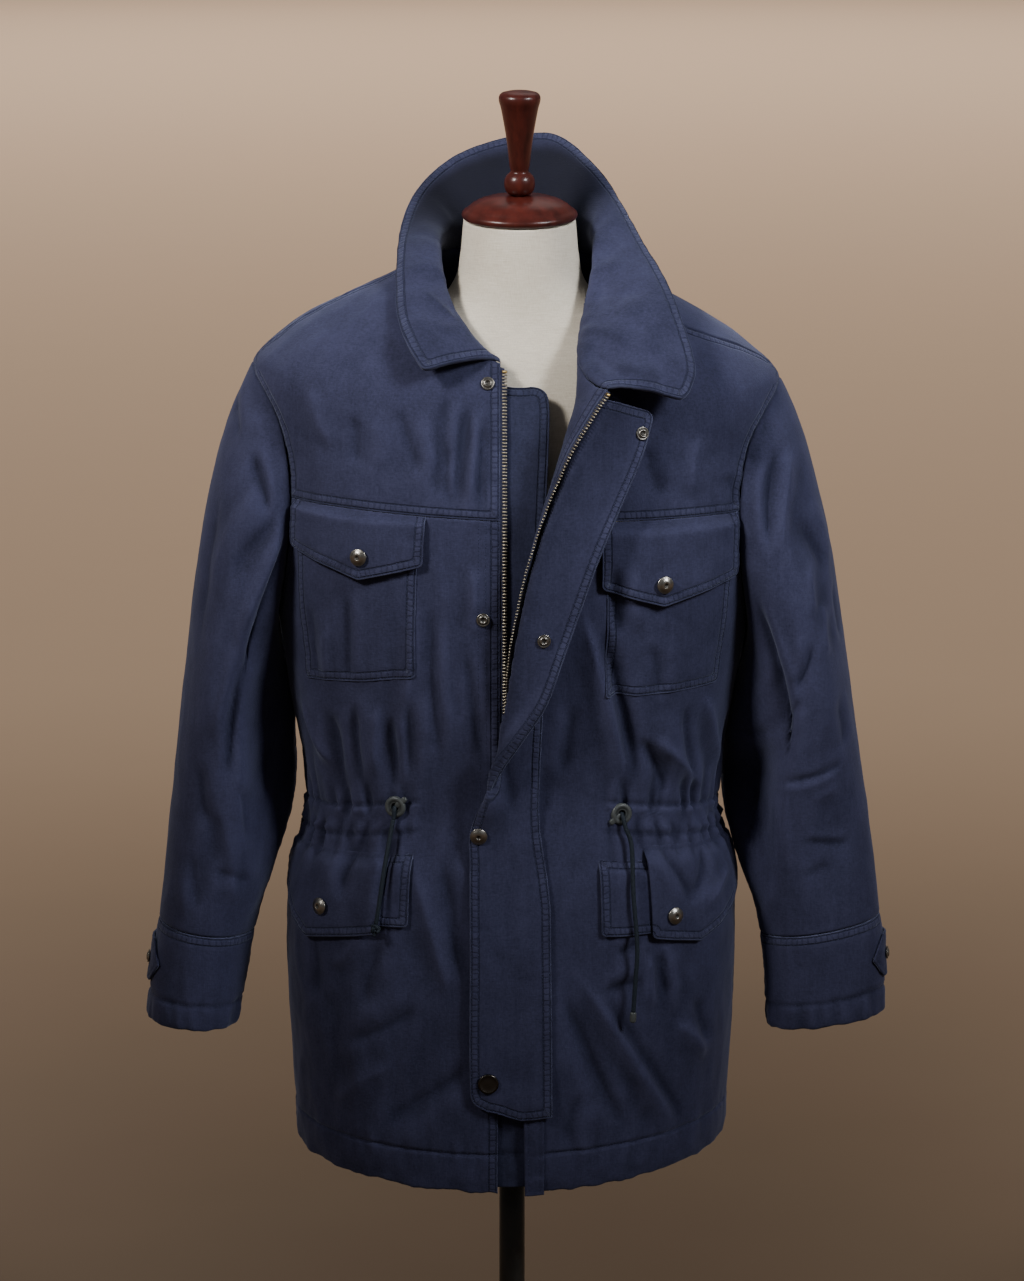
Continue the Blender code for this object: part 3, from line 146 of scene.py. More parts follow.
class Side(Enum):
    """The wearer's side of a piece, as the sign of its x."""

    RIGHT = -1
    LEFT = 1

    @property
    def word(self) -> str:
        """The side in the names of its pieces."""
        return self.name.lower()

    def of(self, pair: Sequence[Any]) -> Any:
        """This side's part of a pair that names the right one first."""
        return pair[self is Side.LEFT]


class Edge(Enum):
    """How one edge of a cloth piece is sewn: how much it puckers and where its stitches lie."""

    OPEN = (0.0, ())
    DOUBLE = (0.62, (FIRST_STITCH, SECOND_STITCH))
    SINGLE = (0.50, (SINGLE_STITCH,))
    SEAM = (0.55, ())


# ---------------------------------------------------------------- numbers


def unit(vectors: Array) -> Array:
    """Vectors at length one."""
    return vectors / np.maximum(np.linalg.norm(vectors, axis=-1, keepdims=True), 1e-12)


def ease(value: Any) -> Any:
    """Smooth step from 0 to 1."""
    value = np.clip(value, 0.0, 1.0)
    return value * value * (3 - 2 * value)


def window(value: Any, low: float, high: float, rise: float, fall: float) -> Any:
    """1 between low and high, easing from 0 over rise past low and to 0 over fall before high."""
    return ease((value - low) / rise) * ease((high - value) / fall)


def lerp(a: Any, b: Any, t: Any) -> Any:
    """Straight mix of two values."""
    return a + (b - a) * t


def hermite(start: Any, start_pull: Any, end: Any, end_pull: Any, t: Any) -> Any:
    """Cubic from start to end with the given end tangents."""
    square = t * t
    cube = square * t
    return (
        start * (2 * cube - 3 * square + 1)
        + start_pull * (cube - 2 * square + t)
        + end * (3 * square - 2 * cube)
        + end_pull * (cube - square)
    )


def stack(x: Any, y: Any, z: Any) -> Array:
    """Three coordinates as points."""
    return np.stack(np.broadcast_arrays(x, y, z), axis=-1).astype(float)


def alike(first: Any, second: Any) -> Sequence[Array]:
    """Two values as arrays of one shape."""
    return np.broadcast_arrays(np.asarray(first, float), np.asarray(second, float))


def turn_of(phi: Any) -> Any:
    """An angle brought between minus and plus half a turn."""
    return np.arctan2(np.sin(phi), np.cos(phi))


def round_turn(count: int) -> Array:
    """Evenly spaced angles of one full turn."""
    return np.arange(count) * (2 * math.pi / count)


def corner_cut(distance: Any, radius: float) -> Any:
    """How far a rounded corner pulls an edge back at a distance from the corner."""
    short = np.clip(radius - distance, 0.0, radius)
    return radius - np.sqrt(np.maximum(radius * radius - short * short, 0.0))


def arc_lengths(points: Array, axis: int = 0) -> Array:
    """Length run up to each point of a line, or of a grid along one of its axes."""
    steps = np.linalg.norm(np.diff(points, axis=axis), axis=-1)
    return np.insert(np.cumsum(steps, axis=axis), 0, 0.0, axis=axis)


def read_along(want: Any, keys: Array, store: Array) -> Array:
    """Rows of a store at places between its keys."""
    return np.stack([np.interp(want, keys, column) for column in store.T], axis=-1)


def resample(line: Array, pitch: float) -> tuple[Array, Array]:
    """Evenly spaced points along a line.

    Args:
        line: points of the line, in order.
        pitch: wanted distance between points.

    Returns:
        The points, and the length run up to each.
    """
    arcs = arc_lengths(line)
    count = max(int(round(arcs[-1] / pitch)), 1)
    want = np.linspace(0.0, arcs[-1], count + 1)
    return read_along(want, arcs, line), want


def table(text: str) -> tuple[str, list[tuple[float, ...]]]:
    """Column names and rows of a table whose first line names its columns."""
    columns, *lines = text.strip().splitlines()
    return columns, [tuple(map(float, line.split())) for line in lines]


def named(text: str) -> dict[str, tuple[float, ...]]:
    """Numbers of each row of a table by the name that the row starts with."""
    rows = [line.split() for line in text.strip().splitlines()[1:]]
    return {name: tuple(map(float, numbers)) for name, *numbers in rows}


class Track:
    """Named columns of a short table, with smooth curves through its rows."""

    def __init__(self, columns: str, rows: Sequence[Sequence[float]]) -> None:
        """Keep the rows, the first column being the key."""
        names = columns.split()
        data = np.array(rows, float)
        self.keys = data[:, 0]
        self.columns = {name: data[:, i] for i, name in enumerate(names)}
        here = np.arange(len(data))
        before = np.maximum(here - 1, 0)
        after = np.minimum(here + 1, len(data) - 1)
        gap = self.keys[after] - self.keys[before]
        self.slopes = {
            name: (values[after] - values[before]) / gap for name, values in self.columns.items()
        }

    def at(self, name: str, where: Any) -> Any:
        """Value of a column at places along the key."""
        where = np.asarray(where, float)
        i = np.clip(np.searchsorted(self.keys, where, "left") - 1, 0, len(self.keys) - 2)
        span = self.keys[i + 1] - self.keys[i]
        t = (where - self.keys[i]) / span
        values = self.columns[name]
        slopes = self.slopes[name]
        return hermite(values[i], slopes[i] * span, values[i + 1], slopes[i + 1] * span, t)


class Tabled:
    """A slow function of height, kept at close steps and read between them."""

    def __init__(self, function: Callable[[Array], Array], low: float, high: float) -> None:
        """Work the function out once between two heights."""
        self.at_heights = np.arange(low, high, 0.001)
        self.values = np.asarray(function(self.at_heights))

    def __call__(self, height: Any) -> Array:
        """Values at heights."""
        if self.values.ndim == 1:
            return np.interp(height, self.at_heights, self.values)
        return read_along(height, self.at_heights, self.values)


class Noise:
    """Smooth noise in space, the same on every run."""

    def __init__(self, seed: int) -> None:
        """Draw the lattice from a fixed seed."""
        draw = np.random.default_rng(seed)
        self.order = draw.permutation(256)
        self.slopes = unit(draw.normal(size=(256, 3)))

    def at(self, points: Array, size: Any) -> Array:
        """Noise from about -1 to 1 at points, with lumps of the given size."""
        place = points / np.asarray(size, float)
        cell = np.floor(place).astype(int)
        inside = place - cell
        fade = inside**3 * (inside * (inside * 6 - 15) + 10)
        total = np.zeros(place.shape[:-1])
        for corner in np.ndindex(2, 2, 2):
            at = (cell + corner) & 255
            pick = self.order[at[..., 0]]
            pick = self.order[(pick + at[..., 1]) & 255]
            pick = self.order[(pick + at[..., 2]) & 255]
            reach = (self.slopes[pick] * (inside - corner)).sum(-1)
            share = np.where(np.array(corner) == 1, fade, 1 - fade).prod(-1)
            total += share * reach
        return total * 1.7

    def along(self, run: Array, size: float, lane: float = 0.0) -> Array:
        """Noise along a line."""
        return self.at(stack(run, lane, 0.37 * size), size)


# ---------------------------------------------------------------- tables of the cloth

RINGS = Track(*table("""
    height front  back half_width front_depth back_depth power  shift
      0.59 0.574  0.58      0.208       0.156      0.143   2.3 -0.001
      0.64 0.629 0.632     0.2105       0.156      0.144   2.3 -0.001
      0.72 0.715 0.716     0.2145       0.155      0.144   2.3 -0.001
       0.8 0.798 0.798      0.216       0.152       0.14   2.3 -0.001
      0.86 0.874 0.864     0.2105       0.147      0.133   2.3      0
    0.9136 0.942 0.922     0.1955       0.138      0.125   2.3      0
     0.965 0.988 0.972      0.199       0.141      0.127   2.3      0
      1.03  1.04 1.033      0.211       0.146      0.133   2.3      0
       1.1   1.1   1.1     0.2215       0.149      0.138   2.3  0.001
      1.16 1.158  1.16     0.2275       0.148       0.14   2.3  0.002
     1.215  1.21 1.212      0.231       0.144      0.139   2.3  0.003
     1.275 1.243 1.262      0.237       0.136      0.133  2.25  0.003
      1.33  1.27 1.308      0.246       0.126      0.123   2.2  0.004
     1.368 1.291 1.348      0.208       0.119      0.111  2.15  0.004
     1.397 1.309 1.384      0.158       0.112      0.098   2.1  0.005
     1.418 1.327 1.413      0.114       0.105      0.084   2.1  0.005
     1.436 1.345 1.439      0.085       0.099      0.071   2.1  0.006
"""))

# The left front's inner edge: where it leaves the oval, its end at the zip, how far it has turned
LAPEL = Track(*table("""
    height start_deg     x       y     z turn_deg  pull
      0.59        14 0.012  -0.156 0.574        0 0.025
       0.8        14 0.008 -0.1525 0.798        0 0.025
      0.94        13 0.004  -0.143  0.94        4 0.025
         1        13 0.001  -0.148     1       14 0.028
      1.05        14     0  -0.156  1.05       34 0.034
     1.108        16 0.004  -0.166 1.108       62 0.044
      1.19        21 0.021  -0.168 1.188       84 0.056
     1.275        27  0.04  -0.166 1.246      104  0.07
     1.364        34  0.06  -0.163  1.29      124 0.084
     1.436        45 0.086  -0.154 1.331      146   0.1
"""))

# The storm flap's free edge, the way it points there, and how far the cloth loops out
STORM = Track(*table("""
    height      x       y     z end_deg reach
     0.658 -0.023  -0.161 0.656       0  0.03
     0.662 -0.034   -0.16 0.662       0 0.036
     0.674 -0.039   -0.16 0.674       0  0.04
       0.8 -0.039 -0.1575   0.8       0  0.04
      0.88 -0.039   -0.15  0.89       0  0.04
     0.925 -0.037  -0.149 0.927      20 0.042
     0.965 -0.013  -0.162 0.976     150 0.056
         1  0.006  -0.169 1.006     176  0.07
      1.05  0.031  -0.172 1.045     182 0.062
     1.108  0.048  -0.171 1.092     186  0.05
      1.19  0.076  -0.166 1.172     190  0.04
     1.275  0.098  -0.153 1.224     196  0.04
     1.364  0.118  -0.138  1.27     202  0.04
     1.424  0.129  -0.127 1.308     208  0.04
"""))

# Soft folds that the solids have: the two ends as degrees round the body and height
BODY_FOLDS = table("""
    deg_a along_a deg_b along_b width  depth
      -68   0.925   -64    1.06 0.014 0.0035
      -52    0.93   -49    1.05 0.013 0.0035
      -28    0.96   -25    1.12 0.016 0.0025
      -14       1   -13    1.19 0.016 0.0022
      -34     0.9   -52    0.64 0.022  0.004
      -70    0.88   -60    0.66 0.024  0.004
      -18    0.76   -40    0.64  0.02 -0.003
       47    0.93    38    1.08 0.014  0.004
       62    0.93    50    1.03 0.015 0.0035
       36    0.86    46    0.66 0.022  0.004
       68    0.88    60    0.65 0.024  0.004
       22    0.84    30    0.64 0.018 -0.003
      120    0.93   132    1.09 0.018  0.004
     -122    0.93  -134    1.09 0.018  0.004
      160    0.93   164    1.06 0.018  0.003
     -158    0.89  -150    0.68 0.024 0.0045
      125    0.89   130    0.66 0.024 0.0045
      170    0.88   176    0.66 0.026  0.004
""")[1]

# Sharper creases that show: ends as degrees round the body and height, width, depth outward
BODY_CREASES = table("""
    deg_a along_a deg_b along_b  width   depth
    -52.6   1.143 -51.9   1.044  0.005 -0.0016
    -26.8   1.326 -22.7   1.219  0.008  -0.002
    -27.3   1.137 -26.7   0.958  0.007 -0.0024
      -31   1.137 -38.9   0.977  0.009  0.0018
    -17.5   1.101  -9.4   0.948  0.007  -0.002
    -51.3   1.035 -52.6   0.941  0.006 -0.0032
    -40.2   1.021 -42.3   0.935  0.006 -0.0032
    -59.8   1.027 -59.1    0.93  0.007 -0.0026
    -44.8   1.036 -46.8   0.951  0.007  0.0022
    -72.5   1.035   -60   0.956  0.008  0.0026
    -34.3   1.048 -37.2   0.939  0.007  -0.002
    -15.4   1.176 -12.1   1.102  0.008  0.0014
    -63.6   1.124 -63.2    1.05  0.007 -0.0016
    -57.3   1.109   -61   1.041  0.006  0.0012
     22.4   1.141  40.5   0.941  0.008  0.0032
     28.8   1.112  45.1   0.942   0.01 -0.0042
     32.3   1.178  34.4   1.102  0.009  -0.003
     48.1   0.999  68.3   0.936  0.008  0.0026
     43.4   0.999  54.8   0.936  0.007  -0.003
     61.2   1.042  78.1   0.957  0.008  0.0024
     56.4   1.034  63.3   0.939  0.006 -0.0022
     21.8   1.038  17.8   0.944  0.008 -0.0016
     43.8     1.1    49   1.036  0.007 -0.0014
    -51.6   0.906   -56   0.843  0.007 -0.0032
    -39.7   0.902 -44.9   0.842  0.006 -0.0022
    -35.1   0.885 -19.9   0.765  0.012  0.0026
    -26.4   0.884 -15.3    0.78   0.01 -0.0026
    -41.4   0.822 -47.7   0.746   0.01 -0.0018
    -45.2   0.817 -58.1   0.782  0.008  0.0016
    -28.5   0.759 -53.2   0.709  0.009 -0.0016
    -12.2    0.71   -44   0.634   0.01 -0.0022
    -36.1   0.705 -59.1   0.652  0.009  0.0014
    -62.1   0.812 -62.6   0.745  0.008 -0.0016
     20.1   0.801    55   0.622  0.009   0.003
     16.1   0.775  39.4   0.624  0.008  -0.003
     29.6   0.777  58.9   0.613  0.008  -0.003
     30.2   0.771  43.3   0.777  0.006 -0.0018
     44.1   0.804  45.3   0.747  0.007  0.0022
       48   0.803    49   0.755  0.006 -0.0022
       50   0.819  51.5   0.735  0.007   0.002
     51.5   0.735  64.3   0.686  0.007  0.0022
     57.5   0.754  64.9   0.699  0.007 -0.0022
     34.4   0.803    42   0.814  0.006 -0.0016
     51.5    0.89  58.1   0.837  0.006 -0.0026
       66   0.891  58.1   0.837  0.006 -0.0022
     74.6   0.868  61.5   0.831  0.006  0.0016
     24.6   0.679  16.6   0.627  0.008 -0.0016
     41.6   0.701  42.5   0.643  0.007  0.0014
    -54.8    1.32 -50.2   1.259   0.01 -0.0014
    -65.7   1.336 -58.5   1.273   0.01  0.0014
    -43.3    1.35 -33.2   1.261  0.009 -0.0014
    -29.5     1.4 -27.5   1.222 0.0095 -0.0021
    -21.5   1.395 -19.5    1.22  0.008 -0.0024
    -14.5   1.385   -12   1.216  0.007 -0.0022
      -25   1.385 -23.5   1.225 0.0085  0.0016
    -17.5   1.385   -16   1.225 0.0075  0.0016
     43.3   1.311  48.1   1.236  0.009 -0.0016
     58.7   1.305  54.8   1.233  0.009  0.0014
     66.6   1.257  68.2   1.217  0.008 -0.0016
     -2.6   1.048     0   0.931  0.007 -0.0016
      6.7   0.965     9   0.897  0.007  0.0012
""")[1]

# The same on the back, which the view hides
BODY_CREASES += table("""
    deg_a along_a deg_b along_b width   depth
      104    1.04   112    0.94 0.008 -0.0028
      118   1.075   124   0.945 0.007  0.0024
      131    1.03   135   0.938 0.008  -0.003
      146    1.06   143    0.94 0.008  0.0022
      158    1.02   160    0.94 0.007 -0.0028
      176    1.07   173   0.938 0.008   0.002
      189    1.03   191    0.94 0.007 -0.0026
      205   1.065   201    0.94 0.008  0.0024
      219    1.04   222    0.94 0.008  -0.003
      236    1.08   231   0.942 0.007  0.0022
      251   1.035   247    0.94 0.008 -0.0026
      109     0.9   118    0.76  0.01 -0.0026
      128   0.895   124     0.7  0.01  0.0024
      149    0.89   156    0.74 0.009 -0.0024
      171   0.895   166    0.68 0.011  0.0022
      193    0.89   199    0.73 0.009 -0.0026
      214   0.895   210    0.69  0.01  0.0024
      233    0.89   240    0.75 0.009 -0.0024
      254     0.9   250    0.72  0.01  0.0022
      120    1.25   152    1.12 0.011 -0.0022
      240    1.26   211    1.13 0.011 -0.0022
      128    1.31   165    1.21 0.012  0.0018
      231   1.315   196   1.215 0.012  0.0018
      140     0.7   168   0.625  0.01  -0.002
      222   0.705   195   0.628  0.01  -0.002
""")[1]

SLEEVES = {
    Side.RIGHT: Track(*table("""
        drop    out  depth half_out half_depth lean_deg
           0  0.266 -0.012    0.049       0.08        9
         0.1 0.2725  -0.02   0.0535      0.068        8
         0.2 0.2925 -0.029    0.045      0.055        8
         0.3  0.309 -0.037    0.043      0.046        5
    """)),
    Side.LEFT: Track(*table("""
        drop   out  depth half_out half_depth lean_deg
           0 0.271 -0.012    0.054      0.077       10
         0.1 0.276  -0.02    0.063      0.057       10
         0.2 0.295 -0.029    0.057      0.044       10
         0.3 0.302 -0.037   0.0555      0.036        8
    """)),
}

SLEEVE_FOLDS = {
    Side.RIGHT: table("""
        deg_a along_a deg_b along_b width   depth
          118   -0.15    96    0.06 0.016  -0.005
           62   -0.19    66    0.02 0.018   0.004
           84    0.06    74    0.18 0.014  -0.003
          140    0.02   120    0.17 0.014   0.003
          250   -0.14   262    0.06 0.018 -0.0045
          290    0.02   280    0.16 0.018  0.0035
    """)[1],
    Side.LEFT: table("""
        deg_a along_a deg_b along_b width   depth
          110   -0.16    98    0.04 0.016  -0.005
           70   -0.18    58    0.03 0.018   0.004
           60    0.06    80    0.18 0.015  -0.003
          130    0.01   118    0.16 0.014  0.0035
          248   -0.13   264    0.05 0.018 -0.0045
          295    0.01   276    0.17 0.018  0.0035
    """)[1],
}

# Sleeve creases: ends as degrees round the sleeve and drop, width, depth outward
SLEEVE_CREASES = {
    Side.RIGHT: table("""
        deg_a along_a deg_b along_b  width   depth
          108  -0.185    99  -0.045 0.0085 -0.0046
           96   -0.18    84   -0.07  0.009  0.0028
           84   -0.17    60  -0.095 0.0075 -0.0024
           62  -0.165    40   -0.08   0.01  0.0018
           99   -0.06    91    0.05 0.0055 -0.0024
           86  -0.076    78    0.01  0.008  0.0018
           27   -0.13    44   -0.05  0.007 -0.0013
           63    0.03    72   0.096  0.009 -0.0016
           87   0.066   117   0.168  0.008  0.0014
          105   0.042   120   0.108  0.007 -0.0018
           57    0.12    78   0.174  0.008 -0.0012
           42  -0.166    75  -0.154  0.007  -0.003
           87   0.132   132   0.144  0.007 -0.0012
            3  -0.172    33  -0.166  0.007 -0.0018
          232   -0.12   280   -0.09   0.01  -0.003
          260   -0.06   300   -0.02  0.009  0.0024
          240    0.02   290    0.05  0.009 -0.0024
          270     0.1   310   0.085  0.008 -0.0018
    """)[1],
    Side.LEFT: table("""
        deg_a along_a deg_b along_b  width   depth
           33  -0.172    66  -0.124  0.009   0.003
           39  -0.178    78  -0.136  0.008 -0.0032
           42   -0.13    30  -0.088  0.007  -0.003
           63  -0.064    93   -0.04  0.006  -0.002
           45  -0.082    54  -0.046  0.007  0.0016
          118   0.047    45    0.04 0.0036 -0.0013
          110   -0.15   108   0.055  0.007 -0.0042
          108   -0.01    90  -0.034  0.007 -0.0016
           96   0.108    46   0.118 0.0036 -0.0012
           84   0.066    54   0.062  0.007  0.0006
          100    0.14    70   0.136  0.005 -0.0007
           24  -0.082    21  -0.046  0.007 -0.0016
           48  -0.106    57  -0.076  0.008  0.0014
          111  -0.082   120   0.006  0.009  -0.002
           48  -0.022    42    0.03  0.007 -0.0014
          236   -0.11   284   -0.08   0.01  -0.003
          262   -0.04   298   -0.01  0.009  0.0022
          244    0.04   292   0.062  0.009 -0.0022
          272    0.12   308   0.104  0.008 -0.0018
    """)[1],
}

COLLAR = Track(*table("""
    place       x      y     z  rise   bow
        0   -0.08 -0.128 1.344  0.01 0.003
     0.06 -0.0935 -0.112 1.364  0.02 0.012
     0.14  -0.104 -0.078 1.388 0.026 0.012
     0.22  -0.106 -0.032 1.424 0.034 0.008
      0.3  -0.103   0.02 1.462  0.04     0
     0.38  -0.086  0.064 1.496  0.04     0
     0.45  -0.048  0.093 1.524  0.04     0
     0.52   0.012  0.105  1.54  0.04     0
     0.58   0.048  0.099 1.537  0.04     0
     0.66   0.086   0.07 1.502  0.04     0
     0.74   0.109   0.03 1.466 0.036 0.004
     0.82   0.133 -0.025  1.43 0.032  0.01
      0.9   0.152 -0.078 1.393 0.026 0.014
     0.96  0.1655 -0.119 1.346 0.017 0.009
        1  0.1565  -0.14 1.319 0.008 0.001
"""))

# Collar folds: ends as degrees along its length and metres up from the neck, width, depth outward
COLLAR_CREASES = table("""
    deg_a along_a deg_b along_b width   depth
       26   0.026    52   0.058 0.007 -0.0022
       20   0.046    46   0.018 0.008  0.0018
       58   0.014    74    0.07 0.008  -0.002
       86   0.012    98   0.066 0.009  0.0014
      118    0.02   130   0.072 0.009 -0.0016
      165   0.015   172    0.07  0.01  0.0016
      204   0.018   214    0.07 0.009 -0.0016
      246   0.016   258   0.068 0.009  0.0016
      274   0.014   292   0.062 0.008  -0.002
      296   0.028   318   0.066 0.008  0.0018
      312   0.014   342    0.05 0.007 -0.0024
      330   0.012   352   0.034 0.007  0.0022
      346   0.022   354   0.066 0.006 -0.0018
""")[1]
COLLAR_REACH = 0.09
COLLAR_HEIGHT = 0.085

CUFF_BULGE = Track(
    "drop out",
    [
        (CUFF_SEAM_DROP, 0.2 * MM),
        (0.210, 1.3 * MM),
        (0.262, 1.3 * MM),
        (0.2665, 0.0),
        (0.2700, 1.0 * MM),
        (0.2850, 0.9 * MM),
        (CUFF_END_DROP, 0.2 * MM),
    ],
)

# Flat cut of each cloth piece, in metres and square metres
CUTS = named("""
    piece              width length area
    right_front        0.302 0.685 0.1800
    right_yoke         0.311 0.361 0.0501
    left_front         0.332 0.669 0.1819
    left_yoke          0.299 0.374 0.0434
    back               0.617 1.040 0.4886
    right_sleeve       0.647 0.545 0.1851
    right_cuff         0.320 0.100 0.0297
    right_cuff_tab     0.085 0.060 0.0032
    left_sleeve        0.639 0.531 0.1826
    left_cuff          0.328 0.098 0.0302
    left_cuff_tab      0.077 0.057 0.0029
    right_chest_pocket 0.134 0.163 0.0200
    right_chest_flap   0.155 0.066 0.0081
    left_chest_pocket  0.143 0.162 0.0211
    left_chest_flap    0.161 0.081 0.0106
    right_lower_flap   0.198 0.089 0.0123
    right_lower_tongue 0.039 0.071 0.0024
    left_lower_flap    0.179 0.096 0.0127
    left_lower_tongue  0.063 0.074 0.0040
    collar             0.779 0.116 0.0504
    storm_flap         0.095 0.714 0.0527
    wind_guard         0.063 0.771 0.0411
    zip_end            0.020 0.088 0.0017
""")


# ---------------------------------------------------------------- the jacket's surfaces


@dataclass
class Creases:
    """Soft troughs and ridges, listed one by one, on a stretch of cloth."""

    rows: Sequence[Sequence[float]]
    reach: float
    waver: float = 1.4 * MM
    strength: float = 2.1
    blunt: float = 1.3 * MM
    fade: float = 0.3
    bank: float = 0.42

    def depth(self, across: Array, along: Array) -> Array:
        """Distance outward at places on the flat cloth.

        Args:
            across: metres round the piece.
            along: metres along the piece.

        Returns:
            The sum of all creases there.
        """
        total = np.zeros(np.shape(across))
        for index, (deg_a, a, deg_b, b, width, depth) in enumerate(self.rows):
            start = np.array([math.radians(deg_a) * self.reach, a])
            way = np.array([math.radians(deg_b) * self.reach, b]) - start
            length = float(np.linalg.norm(way))
            way /= length
            u = across - start[0]
            v = along - start[1]
            t = (u * way[0] + v * way[1]) / length
            off = u * way[1] - v * way[0]
            off = off + self.waver * np.sin(5.5 * t + 1.7 * index)
            ends = ease(np.minimum(t, 1 - t) / self.fade)
            lean = 1 if index % 2 else -1
            sharp = np.sqrt(off**2 + self.blunt**2) - self.blunt
            valley = np.exp(-1.25 * sharp / width)
            beside = np.exp(-(((off - lean * 1.9 * width) / (1.25 * width)) ** 2))
            total += self.strength * depth * ends * (valley - self.bank * beside)
        return total


@dataclass
class Folds:
    """The broad folds of the solids."""

    rows: Sequence[Sequence[float]]
    reach: float
    fade: float = 0.3

    def depth(self, across: Array, along: Array) -> Array:
        """Distance outward at places on the flat cloth."""
        total = np.zeros(np.shape(across))
        for deg_a, a, deg_b, b, width, depth in self.rows:
            start_u = math.radians(deg_a) * self.reach
            way_u = math.radians(deg_b) * self.reach - start_u
            way_v = b - a
            square = way_u**2 + way_v**2
            u = across - start_u
            v = along - a
            t = np.clip((u * way_u + v * way_v) / square, 0.0, 1.0)
            away = (u - way_u * t) ** 2 + (v - way_v * t) ** 2
            total += depth * ease(np.minimum(t, 1 - t) / self.fade) * np.exp(-away / width**2)
        return total


@dataclass
class Crumple:
    """Small unevenness that soft padded cotton has all over."""

    broad: Noise = Noise(11)
    middle: Noise = Noise(23)
    fine: Noise = Noise(37)
    patches: Noise = Noise(51)
    broad_size: Triple = (0.052, 0.060, 0.105)
    middle_size: Triple = (0.030, 0.034, 0.066)
    fine_size: Triple = (0.012, 0.014, 0.022)
    patch_size: Triple = (0.11, 0.11, 0.16)
    calm: list[tuple[Array, float]] = field(default_factory=list)

    def depth(self, points: Array, amount: float = 1.0) -> Array:
        """Distance outward at points of the cloth."""
        patch = 0.65 + 0.55 * self.patches.at(points, self.patch_size)
        wide = self.broad.at(points, self.broad_size)
        ridge = 0.7 - 2.0 * np.abs(self.middle.at(points, self.middle_size))
        small = self.fine.at(points, self.fine_size)
        return amount * patch * (1.35 * wide + 0.95 * ridge + 0.50 * small) * MM

    def stillness(self, points: Array) -> Array:
        """0 where a snap or lock holds the cloth flat, 1 away from it."""
        free = np.ones(points.shape[:-1])
        for place, radius in self.calm:
            away = np.linalg.norm(points - place, axis=-1)
            free *= 1 - np.exp(-((away / radius) ** 4))
        return free


CRUMPLE = Crumple()


@dataclass
class Gathers:
    """Folds drawn up by the waist cord, each with its own place, length, width and depth."""

    pitch: float = math.radians(4.3)
    casing: Pair = CASING
    seed: int = 5
    reaches: Sequence[tuple[int, float, float]] = ((1, 0.030, 0.105), (-1, 0.022, 0.070))
    depths: Pair = (1.0 * MM, 8.0 * MM)
    widths: Pair = (2.6 * MM, 5.0 * MM)
    astray: float = 0.38
    drift: float = 0.16
    widening: float = 0.055
    bank: float = 0.42
    stitch_groove: Pair = (1.9 * MM, 2.2 * MM)

    def __post_init__(self) -> None:
        """Draw the folds above and below the casing, and the short ones in it."""
        draw = np.random.default_rng(self.seed)
        count = int(2 * math.pi / self.pitch)
        self.folds = []
        for way, shortest, longest in self.reaches:
            astray = draw.uniform(-self.astray, self.astray, count)
            at = -math.pi + (np.arange(count) + astray) * self.pitch
            length = lerp(shortest, longest, draw.uniform(0, 1, count) ** 1.5)
            depth = lerp(*self.depths, draw.uniform(0, 1, count) ** 2.4)
            width = lerp(*self.widths, draw.uniform(0, 1, count))
            drift = draw.uniform(-self.drift, self.drift, count)
            self.folds += [(way, *fold) for fold in zip(at, length, depth, width, drift)]
        self.small = Noise(self.seed + 1)

    def depth(self, turn: Array, off: Array) -> Array:
        """Distance outward of the gathers.

        Args:
            turn: angle round the body.
            off: height above the waist ring.

        Returns:
            The sum of all folds there.
        """
        total = np.zeros(np.broadcast(turn, off).shape)
        low, high = self.casing
        for way, at, length, depth, width, drift in self.folds:
            start = high if way > 0 else -low
            beyond = off * way - start
            share = np.clip(beyond / length, -0.5, 1.0)
            aside = turn_of(turn - at) * BODY_REACH - drift * np.maximum(beyond, 0.0)
            wide = width + self.widening * np.maximum(beyond, 0.0)
            strong = ease((beyond + 0.014) / 0.011) * ease(1 - share) * depth
            valley = np.exp(-((aside / wide) ** 2))
            banks = np.exp(-(((np.abs(aside) - 2.1 * wide) / (1.2 * wide)) ** 2))
            total += strong * (self.bank * banks - valley)
        place = stack(turn * BODY_REACH, off * 0.30, 0.0)
        inside = ease((off - low + 0.002) / 0.006) * ease((high + 0.002 - off) / 0.006)
        total += inside * (1.4 + 3.4 * self.small.at(place, 0.0170)) * MM
        deep, broad = self.stitch_groove
        for line in self.casing:
            total -= deep * np.exp(-(((off - line) / broad) ** 2))
        zone = ease((np.abs(turn) - GATHER_FREE_FRONT + math.radians(3)) / math.radians(7))
        return total * zone


